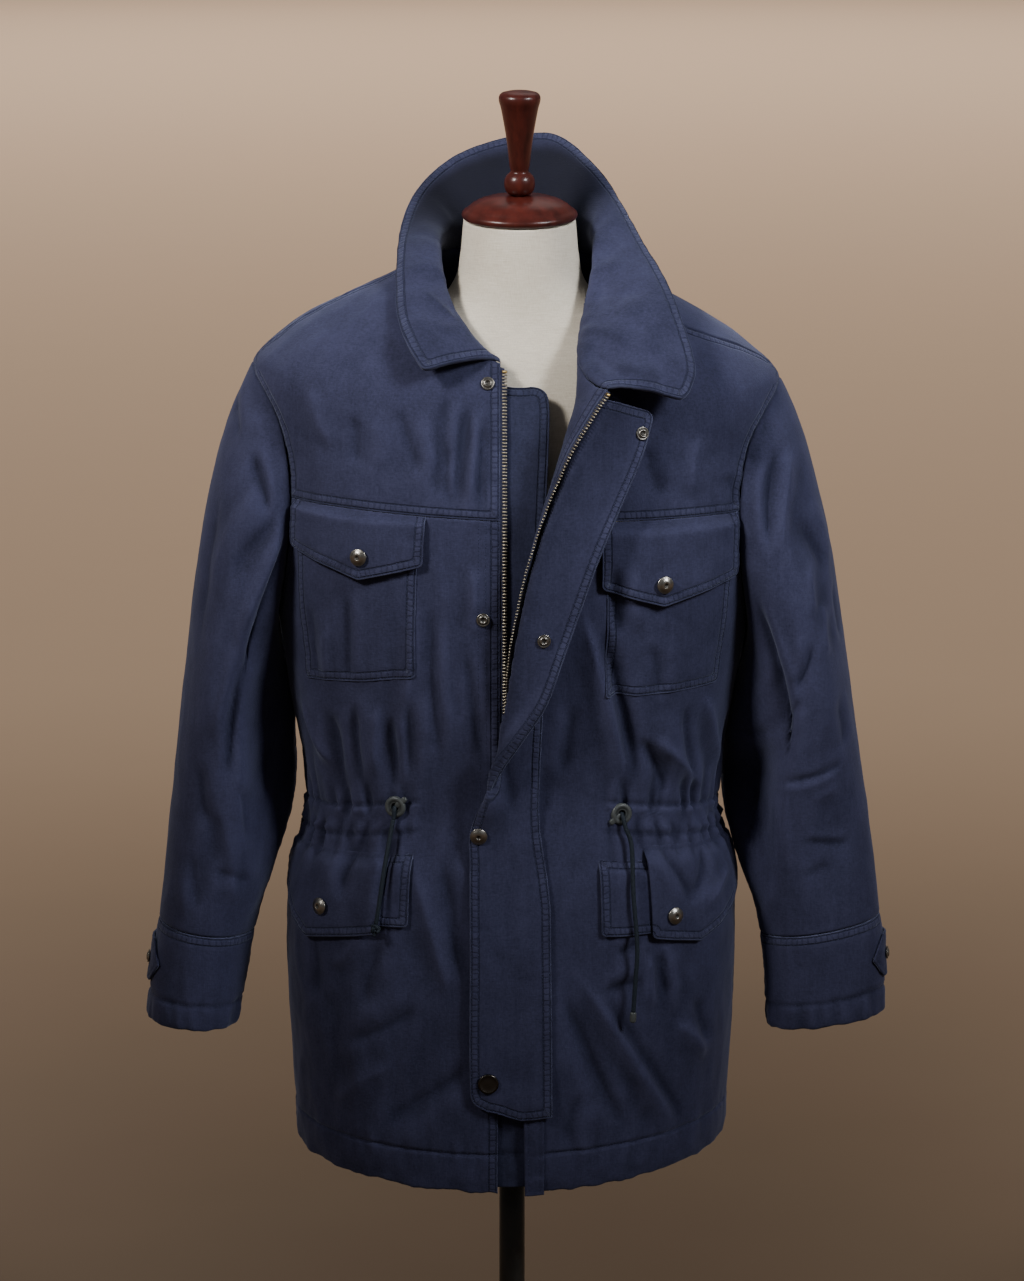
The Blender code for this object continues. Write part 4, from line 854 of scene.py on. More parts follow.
class BodyCloth:
    """Surface of the jacket's body: oval rings with gathers, folds and creases."""

    def __init__(self) -> None:
        """Work out what depends on height alone."""
        self.folds = Folds(BODY_FOLDS, BODY_REACH)
        self.creases = Creases(BODY_CREASES, BODY_REACH)
        self.gathers = Gathers()
        self.wrinkle = Noise(71)
        low, high = HEM_HEIGHT - 0.012, NECK_HEIGHT + 0.012
        self.zip_angle = Tabled(self._zip_angle, low, high)
        self.lapel_start = Tabled(self._lapel_start, low, high)
        self.lapel_way = Tabled(self._lapel_way, low, high)
        self.lapel_length = Tabled(self._lapel_length, low, high)

    def shape(self, phi: Array, height: Array) -> Array:
        """Points of the oval, without folds; phi is 0 at the centre front."""
        s = np.sin(phi)
        c = np.cos(phi)
        front = c > 0
        depth = np.where(front, RINGS.at("front_depth", height), RINGS.at("back_depth", height))
        end = np.where(front, RINGS.at("front", height), RINGS.at("back", height))
        power = RINGS.at("power", height)
        across = np.abs(s) / RINGS.at("half_width", height)
        along = np.abs(c) / depth
        radius = (across**power + along**power) ** (-1 / power)
        x = radius * s + RINGS.at("shift", height)
        tilt = HEM_TILT * x * ease((HEM_TILT_FROM - height) / HEM_TILT_RUN)
        tilt = tilt - SHOULDER_TILT * x * ease((height - SHOULDER_TILT_FROM) / SHOULDER_TILT_RUN)
        return stack(x, -radius * c, height + (end - height) * c * c + tilt)

    def normal(self, phi: Array, height: Array) -> Array:
        """Outward normals of the oval."""
        step = 0.002
        around = self.shape(phi + step, height) - self.shape(phi - step, height)
        up = self.shape(phi, height + step) - self.shape(phi, height - step)
        return unit(np.cross(around, up))

    def even_relief(self, phi: Array, height: Array) -> Array:
        """The solids' even gathers and broad folds, which the cords' routes follow."""
        turn = turn_of(phi)
        away = np.abs(height - WAIST_HEIGHT)
        zone = ease((np.abs(turn) - GATHER_FREE_FRONT) / math.radians(8))
        uneven = 0.72 + 0.28 * np.sin(5.3 * turn + 1.1)
        total = GATHER_DEPTH * zone * uneven * np.exp(-((away / GATHER_FADE) ** 2))
        total = total * np.cos(GATHER_COUNT * turn)
        total = total - 2.0 * MM * np.exp(-((away / 0.010) ** 2)) * ease((np.abs(turn) - 0.2) / 0.3)
        return total + self.folds.depth(turn * BODY_REACH, height)

    def relief(self, phi: Array, height: Array) -> Array:
        """Gathers at the waist cord, broad folds and the padded hem, as a distance outward."""
        turn = turn_of(phi)
        off = height - WAIST_HEIGHT
        total = self.gathers.depth(turn, off)
        total = total + self.folds.depth(turn * BODY_REACH, height)
        above = height - HEM_HEIGHT
        near_seam = np.abs(above - HEM_BAND)
        pucker = self.wrinkle.at(stack(turn * BODY_REACH, above * 0.35, 0.0), 0.011)
        hem = HEM_PUFF * np.sin(math.pi * np.clip(above / HEM_BAND, 0.0, 1.0))
        hem = hem - HEM_GROOVE * np.exp(-((near_seam / HEM_GROOVE_WIDTH) ** 2))
        hem = hem + HEM_PUCKER * pucker * np.exp(-near_seam / 0.016)
        total = total + hem * ease((0.070 - above) / 0.030)
        edge = np.abs(np.abs(turn) - QUARTER)
        rise = np.maximum(0.0, (ARMPIT_HEIGHT - height) / 0.08)
        return total * ease(edge / 0.20 + rise)

    def outer(self, phi: Array, height: Array, out: Any = 0.0) -> tuple[Array, Array]:
        """Points of the outer face, with folds, and the normals there."""
        phi, height = alike(phi, height)
        normal = self.normal(phi, height)
        points = self.shape(phi, height)
        return points + normal * (self.relief(phi, height) + out)[..., None], normal

    def detail(self, points: Array, across: Array, height: Array, amount: float = 1.0) -> Array:
        """Creases and crumple at points of the body, as a distance outward."""
        hem = ease(1 - (height - HEM_HEIGHT) / 0.030)
        lumps = CRUMPLE.fine.at(points, (0.020, 0.024, 0.016)) * HEM_LUMPS * hem
        total = self.creases.depth(across, height) + CRUMPLE.depth(points, amount) + lumps
        return total * CRUMPLE.stillness(points)

    def laid(self, phi: Array, height: Array, out: Any = 0.0) -> Skin:
        """Cloth that lies on the body.

        Args:
            phi: angle round the body.
            height: height on the body.
            out: how far it lies above the body.

        Returns:
            Points, normals and creases.
        """
        points, normal = self.outer(phi, height, out)
        points = points + self.hem_wave(phi, height)
        return points, normal, self.detail(points, np.asarray(phi) * BODY_REACH, height)

    def hem_wave(self, phi: Any, height: Any) -> Array:
        """How the padded hem's lower edge goes up and down."""
        near = ease(1 - (np.asarray(height) - HEM_HEIGHT) / 0.022)
        run = turn_of(np.asarray(phi)) * BODY_REACH
        wave = self.wrinkle.along(run, 0.021, 0.4) + 0.6 * self.wrinkle.along(run, 0.0093, 0.8)
        return stack(0.0, 0.0, HEM_WAVE * near * wave)

    def angle_at(self, x: Any, height: Any) -> Array:
        """Angle round the front at which the oval has this x."""
        x, height = alike(x, height)
        low = np.full(x.shape, -QUARTER)
        high = np.full(x.shape, QUARTER)
        for _ in range(26):
            middle = (low + high) / 2
            less = self.shape(middle, height)[..., 0] < x
            low = np.where(less, middle, low)
            high = np.where(less, high, middle)
        return (low + high) / 2

    def front_place(self, x: Any, z: Any) -> tuple[Array, Array]:
        """Angle and height of the place on the front with this x and z."""
        x, z = alike(x, z)
        height = z.copy()
        phi = np.zeros(x.shape)
        for _ in range(25):
            phi = self.angle_at(x, height)
            height = height + z - self.shape(phi, height)[..., 2]
        return phi, height

    def armhole_round(self, height: Array) -> Array:
        """1 at the armhole's middle height, 0 at and beyond its ends."""
        ratio = (height - ARMHOLE_MIDDLE) / ARMHOLE_HALF
        return np.maximum(1 - ratio * ratio, 0.0) ** 0.45

    def seam_forward(self, height: Array, side: Side) -> Array:
        """How far forward the shoulder seam lies; the left one shows more near the neck."""
        over = ease((height - SHOULDER_TIP_HEIGHT) / SHOULDER_SEAM_RUN)
        more = ease((height - LEFT_SEAM_FROM) / LEFT_SEAM_RUN) if side is Side.LEFT else 0.0
        return SHOULDER_SEAM_FORWARD * over + LEFT_SEAM_MORE * more

    def front_edge(self, height: Array, side: Side = Side.RIGHT) -> Array:
        """Where a front panel ends at the side: side seam, armhole, shoulder seam."""
        return QUARTER - FRONT_BITE * self.armhole_round(height) - self.seam_forward(height, side)

    def back_edge(self, height: Array, side: Side = Side.RIGHT) -> Array:
        """Where the back panel ends at the side."""
        return QUARTER + BACK_BITE * self.armhole_round(height) - self.seam_forward(height, side)

    def _zip_angle(self, height: Array) -> Array:
        """Angle of the right front's edge at the zip."""
        low = ease((0.80 - height) / 0.2)
        return self.angle_at(lerp(RIGHT_ZIP_EDGE, RIGHT_ZIP_EDGE_HEM, low), height)

    def _lapel_start(self, height: Array) -> Array:
        """Where the left front leaves the oval."""
        return self.outer(np.radians(LAPEL.at("start_deg", height)), height)[0]

    def _lapel_way(self, height: Array) -> Array:
        """The way the left front runs where it leaves the oval."""
        start = np.radians(LAPEL.at("start_deg", height))
        return unit(self.outer(start - 0.02, height)[0] - self.outer(start, height)[0])

    def _lapel_length(self, height: Array) -> Array:
        """Length of the left front's edge zone."""
        line = np.stack([self.lapel(height, np.full(height.shape, t)) for t in np.linspace(0, 1, 17)])
        return np.linalg.norm(np.diff(line, axis=0), axis=-1).sum(axis=0)

    def lapel(self, height: Array, t: Array) -> Array:
        """Left front from where it leaves the oval (t = 0) to its zip edge (t = 1)."""
        turn = np.radians(LAPEL.at("turn_deg", height))
        pull = LAPEL.at("pull", height)[..., None]
        end = stack(LAPEL.at("x", height), LAPEL.at("y", height), LAPEL.at("z", height))
        end_pull = stack(-np.cos(turn), -np.sin(turn), 0.0) * pull
        start = self.lapel_start(height)
        return hermite(start, self.lapel_way(height) * pull, end, end_pull, np.asarray(t)[..., None])

    def lapel_frame(self, height: Array, t: Array) -> Skin:
        """The left front's edge zone.

        Args:
            height: height on the body.
            t: 0 where it leaves the oval, 1 at the zip.

        Returns:
            Points, the way across and the outward normals.
        """
        height, t = alike(height, t)
        step = 0.004
        across = unit(self.lapel(height, t + step) - self.lapel(height, t - step))
        up = self.lapel(height + step, t) - self.lapel(height - step, t)
        normal = unit(np.cross(-across, up))
        oval = self.normal(np.radians(LAPEL.at("start_deg", height)), height)
        return self.lapel(height, t), across, unit(lerp(oval, normal, ease(t / 0.2)[..., None]))

    def lapel_across(self, height: Array, t: Array) -> Array:
        """Metres round the body that the left front's edge zone stands for."""
        start = np.radians(LAPEL.at("start_deg", height)) * BODY_REACH
        return start - self.lapel_length(height) * t


BODY = BodyCloth()


# ---------------------------------------------------------------- shader kit


class Wire:
    """A shader value that works in Python expressions."""

    def __init__(self, kit: "Kit", socket: Any) -> None:
        """Keep the socket and the material it belongs to."""
        self.kit = kit
        self.socket = socket

    def _math(self, operation: str, first: Any, second: Any) -> "Wire":
        """One Math node on two values."""
        return self.kit.node("ShaderNodeMath", {"operation": operation}, {0: first, 1: second})

    def __add__(self, other: Any) -> "Wire":
        """Sum."""
        return self._math("ADD", self, other)

    __radd__ = __add__

    def __sub__(self, other: Any) -> "Wire":
        """Difference."""
        return self._math("SUBTRACT", self, other)

    def __rsub__(self, other: Any) -> "Wire":
        """Difference from a number."""
        return self._math("SUBTRACT", other, self)

    def __mul__(self, other: Any) -> "Wire":
        """Product."""
        return self._math("MULTIPLY", self, other)

    __rmul__ = __mul__

    def __abs__(self) -> "Wire":
        """Size without sign."""
        return self._math("ABSOLUTE", self, 0.0)

    def sine(self) -> "Wire":
        """Sine of the value."""
        return self._math("SINE", self, 0.0)

    def between(self, low: float, high: float) -> "Wire":
        """Smooth step from 0 at low to 1 at high."""
        return self.kit.node(
            "ShaderNodeMapRange",
            {"interpolation_type": "SMOOTHSTEP"},
            {"Value": self, "From Min": low, "From Max": high, "To Min": 0.0, "To Max": 1.0},
        )


class Kit:
    """Builds one material's nodes."""

    def __init__(self, name: str) -> None:
        """Start a material with its shader and output."""
        self.material = bpy.data.materials.new(name)
        self.material.use_nodes = True
        self.tree = self.material.node_tree
        self.shader = self.tree.nodes["Principled BSDF"]

    def node(
        self,
        kind: str,
        settings: dict[str, Any] | None = None,
        values: dict[Any, Any] | None = None,
        output: Any = 0,
    ) -> Wire:
        """Add a node.

        Args:
            kind: the node's type.
            settings: its settings, set first.
            values: numbers, colours or wires for its sockets.
            output: the output that is wanted.

        Returns:
            The wanted output.
        """
        made = self.tree.nodes.new(kind)
        for key, value in (settings or {}).items():
            setattr(made, key, value)
        for key, value in (values or {}).items():
            self.set(made.inputs[key], value)
        return Wire(self, made.outputs[output])

    def set(self, socket: Any, value: Any) -> None:
        """Link or set one socket."""
        if isinstance(value, Wire):
            self.tree.links.new(value.socket, socket)
        elif isinstance(value, (tuple, list)) and len(value) == 3 and socket.type == "RGBA":
            socket.default_value = (*value, 1.0)
        else:
            socket.default_value = value

    def place(self) -> Wire:
        """The point of the surface in the object's own coordinates."""
        return self.node("ShaderNodeTexCoord", {}, {}, "Object")

    def stretched(self, scale: Sequence[float]) -> Wire:
        """The point, scaled by axis."""
        return self.node(
            "ShaderNodeVectorMath", {"operation": "MULTIPLY"}, {0: self.place(), 1: tuple(scale)}
        )

    def noise(self, scale: float, detail: float = 3.0, rough: float = 0.55, at: Any = None) -> Wire:
        """Noise from about -0.5 to 0.5 at the point."""
        made = self.node(
            "ShaderNodeTexNoise",
            {},
            {"Vector": at or self.place(), "Scale": scale, "Detail": detail, "Roughness": rough},
            "Fac",
        )
        return made - 0.5

    def grain(self, scale: Sequence[float], detail: float = 2.0, rough: float = 0.5) -> Wire:
        """Noise drawn out by axis, as threads and wood grain are."""
        return self.noise(1.0, detail, rough, self.stretched(scale))

    def value(self, name: str) -> Wire:
        """A number kept on the mesh's points."""
        return self.node("ShaderNodeAttribute", {"attribute_name": name}, {}, "Fac")

    def blend(self, share: Any, first: Any, second: Any) -> Wire:
        """Mix of two colours."""
        return self.node(
            "ShaderNodeMix",
            {"data_type": "RGBA", "clamp_factor": True},
            {0: share, 6: first, 7: second},
            2,
        )

    def bump(self, height: Wire, distance: float, strength: float = 1.0) -> Wire:
        """Surface normal from a height."""
        return self.node(
            "ShaderNodeBump", {}, {"Height": height, "Distance": distance, "Strength": strength}
        )

    def finish(self, **sockets: Any) -> Any:
        """Set the shader's sockets and give back the material."""
        for name, value in sockets.items():
            self.set(self.shader.inputs[name.replace("_", " ")], value)
        return self.material


# ---------------------------------------------------------------- finishes


@dataclass(frozen=True)
class WashedCotton:
    """Brushed cotton cloth, a little faded, with worn edges and stitched bands."""

    name: str
    dark: Triple
    light: Triple
    worn: Triple
    middle: float = 0.46
    warp: Triple = (1500.0, 1500.0, 120.0)
    weft: Triple = (150.0, 150.0, 1500.0)
    streaks: Triple = (230.0, 230.0, 11.0)
    sheen: Triple = (0.55, 0.62, 0.85)

    def material(self) -> Any:
        """Build the material."""
        kit = Kit(self.name)
        cloud = kit.noise(6.5, 3.0)
        mottle = kit.noise(38.0, 5.0, 0.62)
        fleck = kit.noise(420.0, 2.0, 0.6)
        warp = kit.grain(self.warp)
        weft = kit.grain(self.weft)
        band = kit.value("band")
        run = kit.value("run")
        rim = kit.value("rim")
        inside = band.between(1.9, 3.0) * (1.0 - band.between(7.2, 8.3))
        streak = kit.grain(self.streaks, 3.0, 0.6)
        rungs = (run * 1150.0 + kit.noise(60.0, 1.0) * 9.0).sine().between(-0.95, -0.35)
        groove = 1.0 - (abs(band - FIRST_STITCH / MM) - 0.2).between(0.0, 0.8)
        groove = groove + (1.0 - (abs(band - SECOND_STITCH / MM) - 0.3).between(0.0, 0.9))
        # painted highlight and shade of the creases, with wear: cloth standing above the cloth around it
        # is lighter, cloth sunk in a crease darker
        lie = kit.value("lie")
        tone = self.middle + 0.60 * cloud + 0.85 * mottle + 0.95 * fleck + 0.50 * (warp + weft)
        tone = tone + 0.45 * streak + lie * 0.20
        # painted light and shade of the puckers: lighter cells with thin dark gaps in the stitched band;
        # painted shade darkens the stitch grooves
        tone = tone + inside * (rungs * 0.26 - 0.16) - groove * 0.50
        colour = kit.blend(tone, self.dark, self.light)
        wear = (1.0 - rim.between(0.3, 1.5)) * (1.0 - band.between(2.0, 6.0)) * (mottle * 2.6 + 0.55)
        rubbed = inside * rungs * (mottle * 1.8 + 0.22)
        colour = kit.blend(wear * 0.55 + rubbed * 0.20, colour, self.worn)
        # painted shadow: where the shade value is high, the colour darkens toward a fifth of the dark tone
        deep = tuple(0.22 * part for part in self.dark)
        colour = kit.blend(kit.value("shade"), colour, deep)
        height = (warp + weft) * 0.24 + fleck * 0.22 + mottle * 0.25
        height = height + inside * rungs * 0.45 - groove * 0.9
        return kit.finish(
            Base_Color=colour,
            Roughness=0.86 + mottle * 0.12,
            Normal=kit.bump(height, 0.0009, 0.75),
            Sheen_Weight=0.22,
            Sheen_Roughness=0.45,
            Sheen_Tint=self.sheen,
            Specular_IOR_Level=0.22,
        )


@dataclass(frozen=True)
class SewingThread:
    """Matte thread, close to the cloth in colour."""

    name: str
    colour: Triple

    def material(self) -> Any:
        """Build the material."""
        kit = Kit(self.name)
        light = tuple(1.5 * part for part in self.colour)
        tone = kit.noise(300.0, 2.0) * 1.4 + 0.5
        return kit.finish(
            Base_Color=kit.blend(tone, self.colour, light),
            Roughness=0.7 + kit.noise(800.0) * 0.2,
            Specular_IOR_Level=0.3,
        )


@dataclass(frozen=True)
class CastMetal:
    """Plated metal, with a dark patina in its hollows and light scratches."""

    name: str
    bright: Triple
    patina: Triple
    rough: float

    def material(self) -> Any:
        """Build the material."""
        kit = Kit(self.name)
        hollow = kit.value("hollow")
        spots = kit.noise(900.0, 4.0, 0.6)
        fine = kit.noise(2600.0, 2.0)
        share = hollow * 0.8 + spots * 0.7 + 0.06
        return kit.finish(
            Base_Color=kit.blend(share, self.bright, self.patina),
            Metallic=1.0 - hollow * 0.25,
            Roughness=self.rough + hollow * 0.22 + spots * 0.25,
            Normal=kit.bump(spots * 0.4 + fine * 0.25, 0.00025, 0.6),
        )


@dataclass(frozen=True)
class MouldedPlastic:
    """Dark moulded plastic with a soft shine."""

    name: str
    colour: Triple
    edge: Triple

    def material(self) -> Any:
        """Build the material."""
        kit = Kit(self.name)
        lock_hollow = kit.value("hollow")
        spots = kit.noise(700.0, 4.0)
        return kit.finish(
            # lighter on the raised parts, darker in the hollows
            Base_Color=kit.blend((1.0 - lock_hollow) * 0.55 + spots * 0.5, self.colour, self.edge),
            Roughness=0.42 + spots * 0.25,
            Normal=kit.bump(spots, 0.0002, 0.5),
        )


@dataclass(frozen=True)
class PolishedWood:
    """Stained and varnished wood with grain along its height."""

    name: str
    dark: Triple
    light: Triple

    def material(self) -> Any:
        """Build the material."""
        kit = Kit(self.name)
        grain = kit.grain((95.0, 95.0, 9.0), 5.0, 0.62)
        pores = kit.grain((900.0, 900.0, 60.0))
        cloud = kit.noise(24.0, 2.0)
        tone = 0.42 + grain * 1.5 + cloud * 0.5 + pores * 0.25
        return kit.finish(
            Base_Color=kit.blend(tone, self.dark, self.light),
            Roughness=0.33 + grain * 0.10,
            Normal=kit.bump(pores * 0.5 + grain * 0.3, 0.0002, 0.35),
            Coat_Weight=0.12,
            Coat_Roughness=0.16,
            Specular_IOR_Level=0.35,
        )


@dataclass(frozen=True)
class StretchedLinen:
    """Cream linen stretched over the dress form."""

    name: str
    dark: Triple
    light: Triple

    def material(self) -> Any:
        """Build the material."""
        kit = Kit(self.name)
        warp = kit.grain((1300.0, 1300.0, 90.0))
        weft = kit.grain((90.0, 90.0, 1300.0))
        cloud = kit.noise(14.0, 3.0)
        tone = 0.6 + (warp + weft) * 0.7 + cloud * 0.5
        return kit.finish(
            Base_Color=kit.blend(tone, self.dark, self.light),
            Roughness=0.88 + cloud * 0.1,
            Normal=kit.bump(warp + weft, 0.0004, 0.6),
            Sheen_Weight=0.12,
        )


@dataclass(frozen=True)
class PaintedMetal:
    """Dark lacquered metal of the stand."""

    name: str
    colour: Triple
    edge: Triple

    def material(self) -> Any:
        """Build the material."""
        kit = Kit(self.name)
        spots = kit.noise(60.0, 5.0, 0.6)
        grit = kit.noise(900.0, 2.0)
        return kit.finish(
            Base_Color=kit.blend(spots * 0.9 + 0.35, self.colour, self.edge),
            Roughness=0.40 + spots * 0.2,
            Metallic=0.6 + spots * 0.3,
            Normal=kit.bump(grit, 0.0003, 0.4),
        )


class Finish(Enum):
    """The finishes of the model, with the record's slot that each stands for."""

    NAVY = (
        "navy",
        WashedCotton(
            "washed_navy", (0.0168, 0.0187, 0.0455), (0.0435, 0.0462, 0.1005), (0.105, 0.118, 0.198),
        ),
    )
    INSIDE = (
        "navy_inside",
        WashedCotton("inner_navy", (0.0125, 0.0145, 0.035), (0.033, 0.037, 0.082), (0.075, 0.09, 0.16)),
    )
    THREAD = ("navy", SewingThread("navy_thread", (0.020, 0.026, 0.060)))
    BRASS = ("zip_brass", CastMetal("zip_metal", (0.40, 0.36, 0.28), (0.10, 0.080, 0.055), 0.40))
    STOP = ("zip_brass", CastMetal("gilt_stop", (0.80, 0.58, 0.22), (0.35, 0.22, 0.07), 0.28))
    PEWTER = ("pewter", CastMetal("old_pewter", (0.30, 0.285, 0.26), (0.022, 0.020, 0.018), 0.31))
    BLACKENED = ("pewter", CastMetal("blackened_cap", (0.060, 0.055, 0.050), (0.030, 0.022, 0.015), 0.28))
    CORD = ("cord", SewingThread("dark_cord", (0.0075, 0.0125, 0.0200)))
    LOCK = ("lock", MouldedPlastic("cord_lock", (0.016, 0.021, 0.024), (0.095, 0.105, 0.105)))
    LINEN = ("linen", StretchedLinen("cream_linen", (0.50, 0.43, 0.33), (0.80, 0.74, 0.63)))
    WOOD = ("mahogany", PolishedWood("varnished_mahogany", (0.022, 0.0045, 0.0040), (0.105, 0.018, 0.012)))
    STAND = ("dark_metal", PaintedMetal("stand_lacquer", (0.018, 0.017, 0.016), (0.075, 0.070, 0.064)))

    @property
    def slot(self) -> str:
        """The record's material slot."""
        return self.value[0]

    def made(self) -> Any:
        """The material, built once."""
        recipe = self.value[1]
        return bpy.data.materials.get(recipe.name) or recipe.material()


# ---------------------------------------------------------------- meshes


def placed(name: str, data: Any) -> Any:
    """Object made from its data and put in the scene."""
    made = bpy.data.objects.new(name, data)
    bpy.context.scene.collection.objects.link(made)
    return made


class Draft:
    """Points, faces and per-point values of one piece, before its mesh is made."""

    def __init__(self, *finishes: Finish) -> None:
        """Start an empty piece with its finishes."""
        self.finishes = finishes
        self.points: list[Array] = []
        self.faces: list[tuple[int, ...]] = []
        self.kinds: list[int] = []
        self.values: dict[str, list[Array]] = {name: [] for name in POINT_VALUES}
        self.count = 0

    def add(self, points: Array, faces: Iterable[Sequence[int]], kind: int = 0, **values: Array) -> None:
        """Add points and faces.

        Args:
            points: the new points.
            faces: corners of each face, counted from the first new point.
            kind: which finish the faces take.
            values: numbers kept on the points.
        """
        flat = np.asarray(points, float).reshape(-1, 3)
        start = self.count
        added = [tuple(int(corner) + start for corner in face) for face in faces]
        self.points.append(flat)
        self.faces += added
        self.kinds += [kind] * len(added)
        for name, store in self.values.items():
            given = values.get(name)
            fill = np.full(len(flat), POINT_VALUES[name])
            store.append(fill if given is None else np.broadcast_to(given, (len(flat),)))
        self.count += len(flat)

    def build(self, name: str, replaces: Sequence[str] = ()) -> Any:
        """Make the object, ride it on the body and give it its finishes.

        Args:
            name: the piece's name.
            replaces: the nodes that it stands for.

        Returns:
            The object.
        """
        mesh = bpy.data.meshes.new(name)
        mesh.from_pydata(np.concatenate(self.points).tolist(), [], self.faces)
        mesh.polygons.foreach_set("use_smooth", [True] * len(mesh.polygons))
        mesh.polygons.foreach_set("material_index", self.kinds)
        for key, store in self.values.items():
            layer = mesh.attributes.new(key, "FLOAT", "POINT")
            layer.data.foreach_set("value", np.concatenate(store).astype(np.float32))
        for finish in self.finishes:
            mesh.materials.append(finish.made())
        made = placed(name, mesh)
        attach(made, "root")
        if replaces:
            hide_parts(*replaces)
        self.finishes[0].slot
        triangles = sum(len(face) - 2 for face in self.faces)
        LOG.info("%s: %d triangles", name, triangles)
        return made


def ring_faces(rings: int, sides: int, capped: bool = True, flip: bool = False) -> list[tuple[int, ...]]:
    """Faces between rings of points that follow one another.

    Args:
        rings: number of rings.
        sides: points in each ring.
        capped: True where both ends are closed by one face.
        flip: True to turn every face over.

    Returns:
        The faces, as corners counted from the first point.
    """
    faces = []
    for low in range(0, (rings - 1) * sides, sides):
        for i in range(sides):
            j = (i + 1) % sides
            faces.append((low + i, low + j, low + sides + j, low + sides + i))
    if capped:
        faces.append(tuple(reversed(range(sides))))
        faces.append(tuple(range((rings - 1) * sides, rings * sides)))
    return [face[::-1] for face in faces] if flip else faces


def turned(
    draft: Draft, profile: Sequence[Pair], sides: int, place: Array, kind: int = 0,
    hollow: Sequence[float] | None = None,
) -> None:
    """Add a body turned about its own Z axis.

    Args:
        draft: the piece that takes it.
        profile: radius and rise of each ring, from the seat to the top.
        sides: number of sides.
        place: 4 by 4 matrix that sets it in place.
        kind: which finish it takes.
        hollow: how deep each ring lies in a hollow, from 0 to 1.
    """
    turn = round_turn(sides)
    rings = [stack(r * np.cos(turn), r * np.sin(turn), rise) for r, rise in profile]
    points = np.concatenate(rings + [np.array([[0, 0, profile[0][1]], [0, 0, profile[-1][1]]])])
    faces = ring_faces(len(profile), sides, False)
    first, last = len(points) - 2, len(points) - 1
    top = (len(profile) - 1) * sides
    for i in range(sides):
        j = (i + 1) % sides
        faces.append((first, j, i))
        faces.append((last, top + i, top + j))
    depths = np.zeros(len(profile)) if hollow is None else np.array(hollow, float)
    values = np.concatenate([np.repeat(depths, sides), [depths[0], depths[-1]]])
    draft.add(points @ place[:3, :3].T + place[:3, 3], faces, kind, hollow=values)


def facing(point: Array, normal: Array) -> Array:
    """Matrix that sets +Z along a normal at a point."""
    turn = Vector(normal).to_track_quat("Z", "Y").to_matrix().to_4x4()
    return np.array(Matrix.Translation(Vector(point)) @ turn)


def grid_faces(rows: int, columns: int, start: int = 0, flip: bool = False) -> list[tuple[int, ...]]:
    """Quads of a grid of points."""
    at = start + np.arange(rows * columns).reshape(rows, columns)
    quads = np.stack([at[:-1, :-1], at[:-1, 1:], at[1:, 1:], at[1:, :-1]], axis=-1).reshape(-1, 4)
    return [tuple(quad) for quad in (quads[:, ::-1] if flip else quads).tolist()]


def stitches(draft: Draft, line: Array, normals: Array, kind: int) -> None:
    """Add a row of stitches along a line on the cloth.

    Args:
        draft: the piece that takes them.
        line: points of the line, in order.
        normals: outward normals along it.
        kind: which finish the thread takes.
    """
    arcs = arc_lengths(line)
    if arcs[-1] < 2 * STITCH_PITCH:
        return
    count = int(arcs[-1] / STITCH_PITCH)
    starts = (np.arange(count) + 0.12) * arcs[-1] / count
    halfway = starts + STITCH_LENGTH / 2
    a, b = read_along(starts, arcs, line), read_along(starts + STITCH_LENGTH, arcs, line)
    n = unit(read_along(halfway, arcs, normals))
    side = unit(np.cross(n, b - a)) * STITCH_RADIUS
    middle = read_along(halfway, arcs, line) + n * 0.14 * MM
    sink = n * 0.12 * MM
    up = n * STITCH_RADIUS
    points = np.stack([a - sink, b - sink, middle + side, middle + up, middle - side, middle - up], axis=1)
    one = [(0, 3, 2), (0, 4, 3), (0, 5, 4), (0, 2, 5), (1, 2, 3), (1, 3, 4), (1, 4, 5), (1, 5, 2)]
    faces = [tuple(6 * k + corner for corner in face) for k in range(count) for face in one]
    draft.add(points, faces, kind)


def contours(points: Array, normals: Array, values: Array, level: float) -> list[tuple[Array, Array]]:
    """Lines on a grid of cloth along which a value has one level.

    Args:
        points: grid of points.
        normals: normals there.
        values: the value at each point.
        level: the wanted level.

    Returns:
        Each line as its points and normals.
    """
    rows, columns = values.shape
    off = values - level
    off = np.where(off == 0, 1e-9, off)
    both = np.concatenate([points, normals], axis=-1)
    crossing: dict[int, Array] = {}
    shift = rows * columns
    for kind, (first, second) in enumerate(
        (((slice(None), slice(None, -1)), (slice(None), slice(1, None))),
         ((slice(None, -1), slice(None)), (slice(1, None), slice(None))))
    ):
        hit = np.argwhere(off[first] * off[second] < 0)
        for i, j in hit:
            i2, j2 = (i, j + 1) if kind == 0 else (i + 1, j)
            t = off[i, j] / (off[i, j] - off[i2, j2])
            crossing[kind * shift + i * columns + j] = lerp(both[i, j], both[i2, j2], t)
    links: dict[int, list[int]] = {}
    signs = off > 0
    mixed = (
        (signs[:-1, :-1] != signs[:-1, 1:]) | (signs[:-1, :-1] != signs[1:, :-1])
        | (signs[:-1, :-1] != signs[1:, 1:])
    )
    for i, j in np.argwhere(mixed):
        here = i * columns + j
        around = (here, shift + here + 1, here + columns, shift + here)
        ends = [key for key in around if key in crossing]
        if len(ends) == 2:
            links.setdefault(ends[0], []).append(ends[1])
            links.setdefault(ends[1], []).append(ends[0])
    lines = []
    left = set(links)
    for start in sorted(links, key=lambda key: len(links[key])):
        if start not in left:
            continue
        chain = [start]
        left.discard(start)
        while True:
            ahead = [key for key in links[chain[-1]] if key in left]
            if not ahead:
                break
            chain.append(ahead[0])
            left.discard(ahead[0])
        if len(chain) > 2:
            found = np.array([crossing[key] for key in chain])
            lines.append((found[:, :3], unit(found[:, 3:])))
    return lines


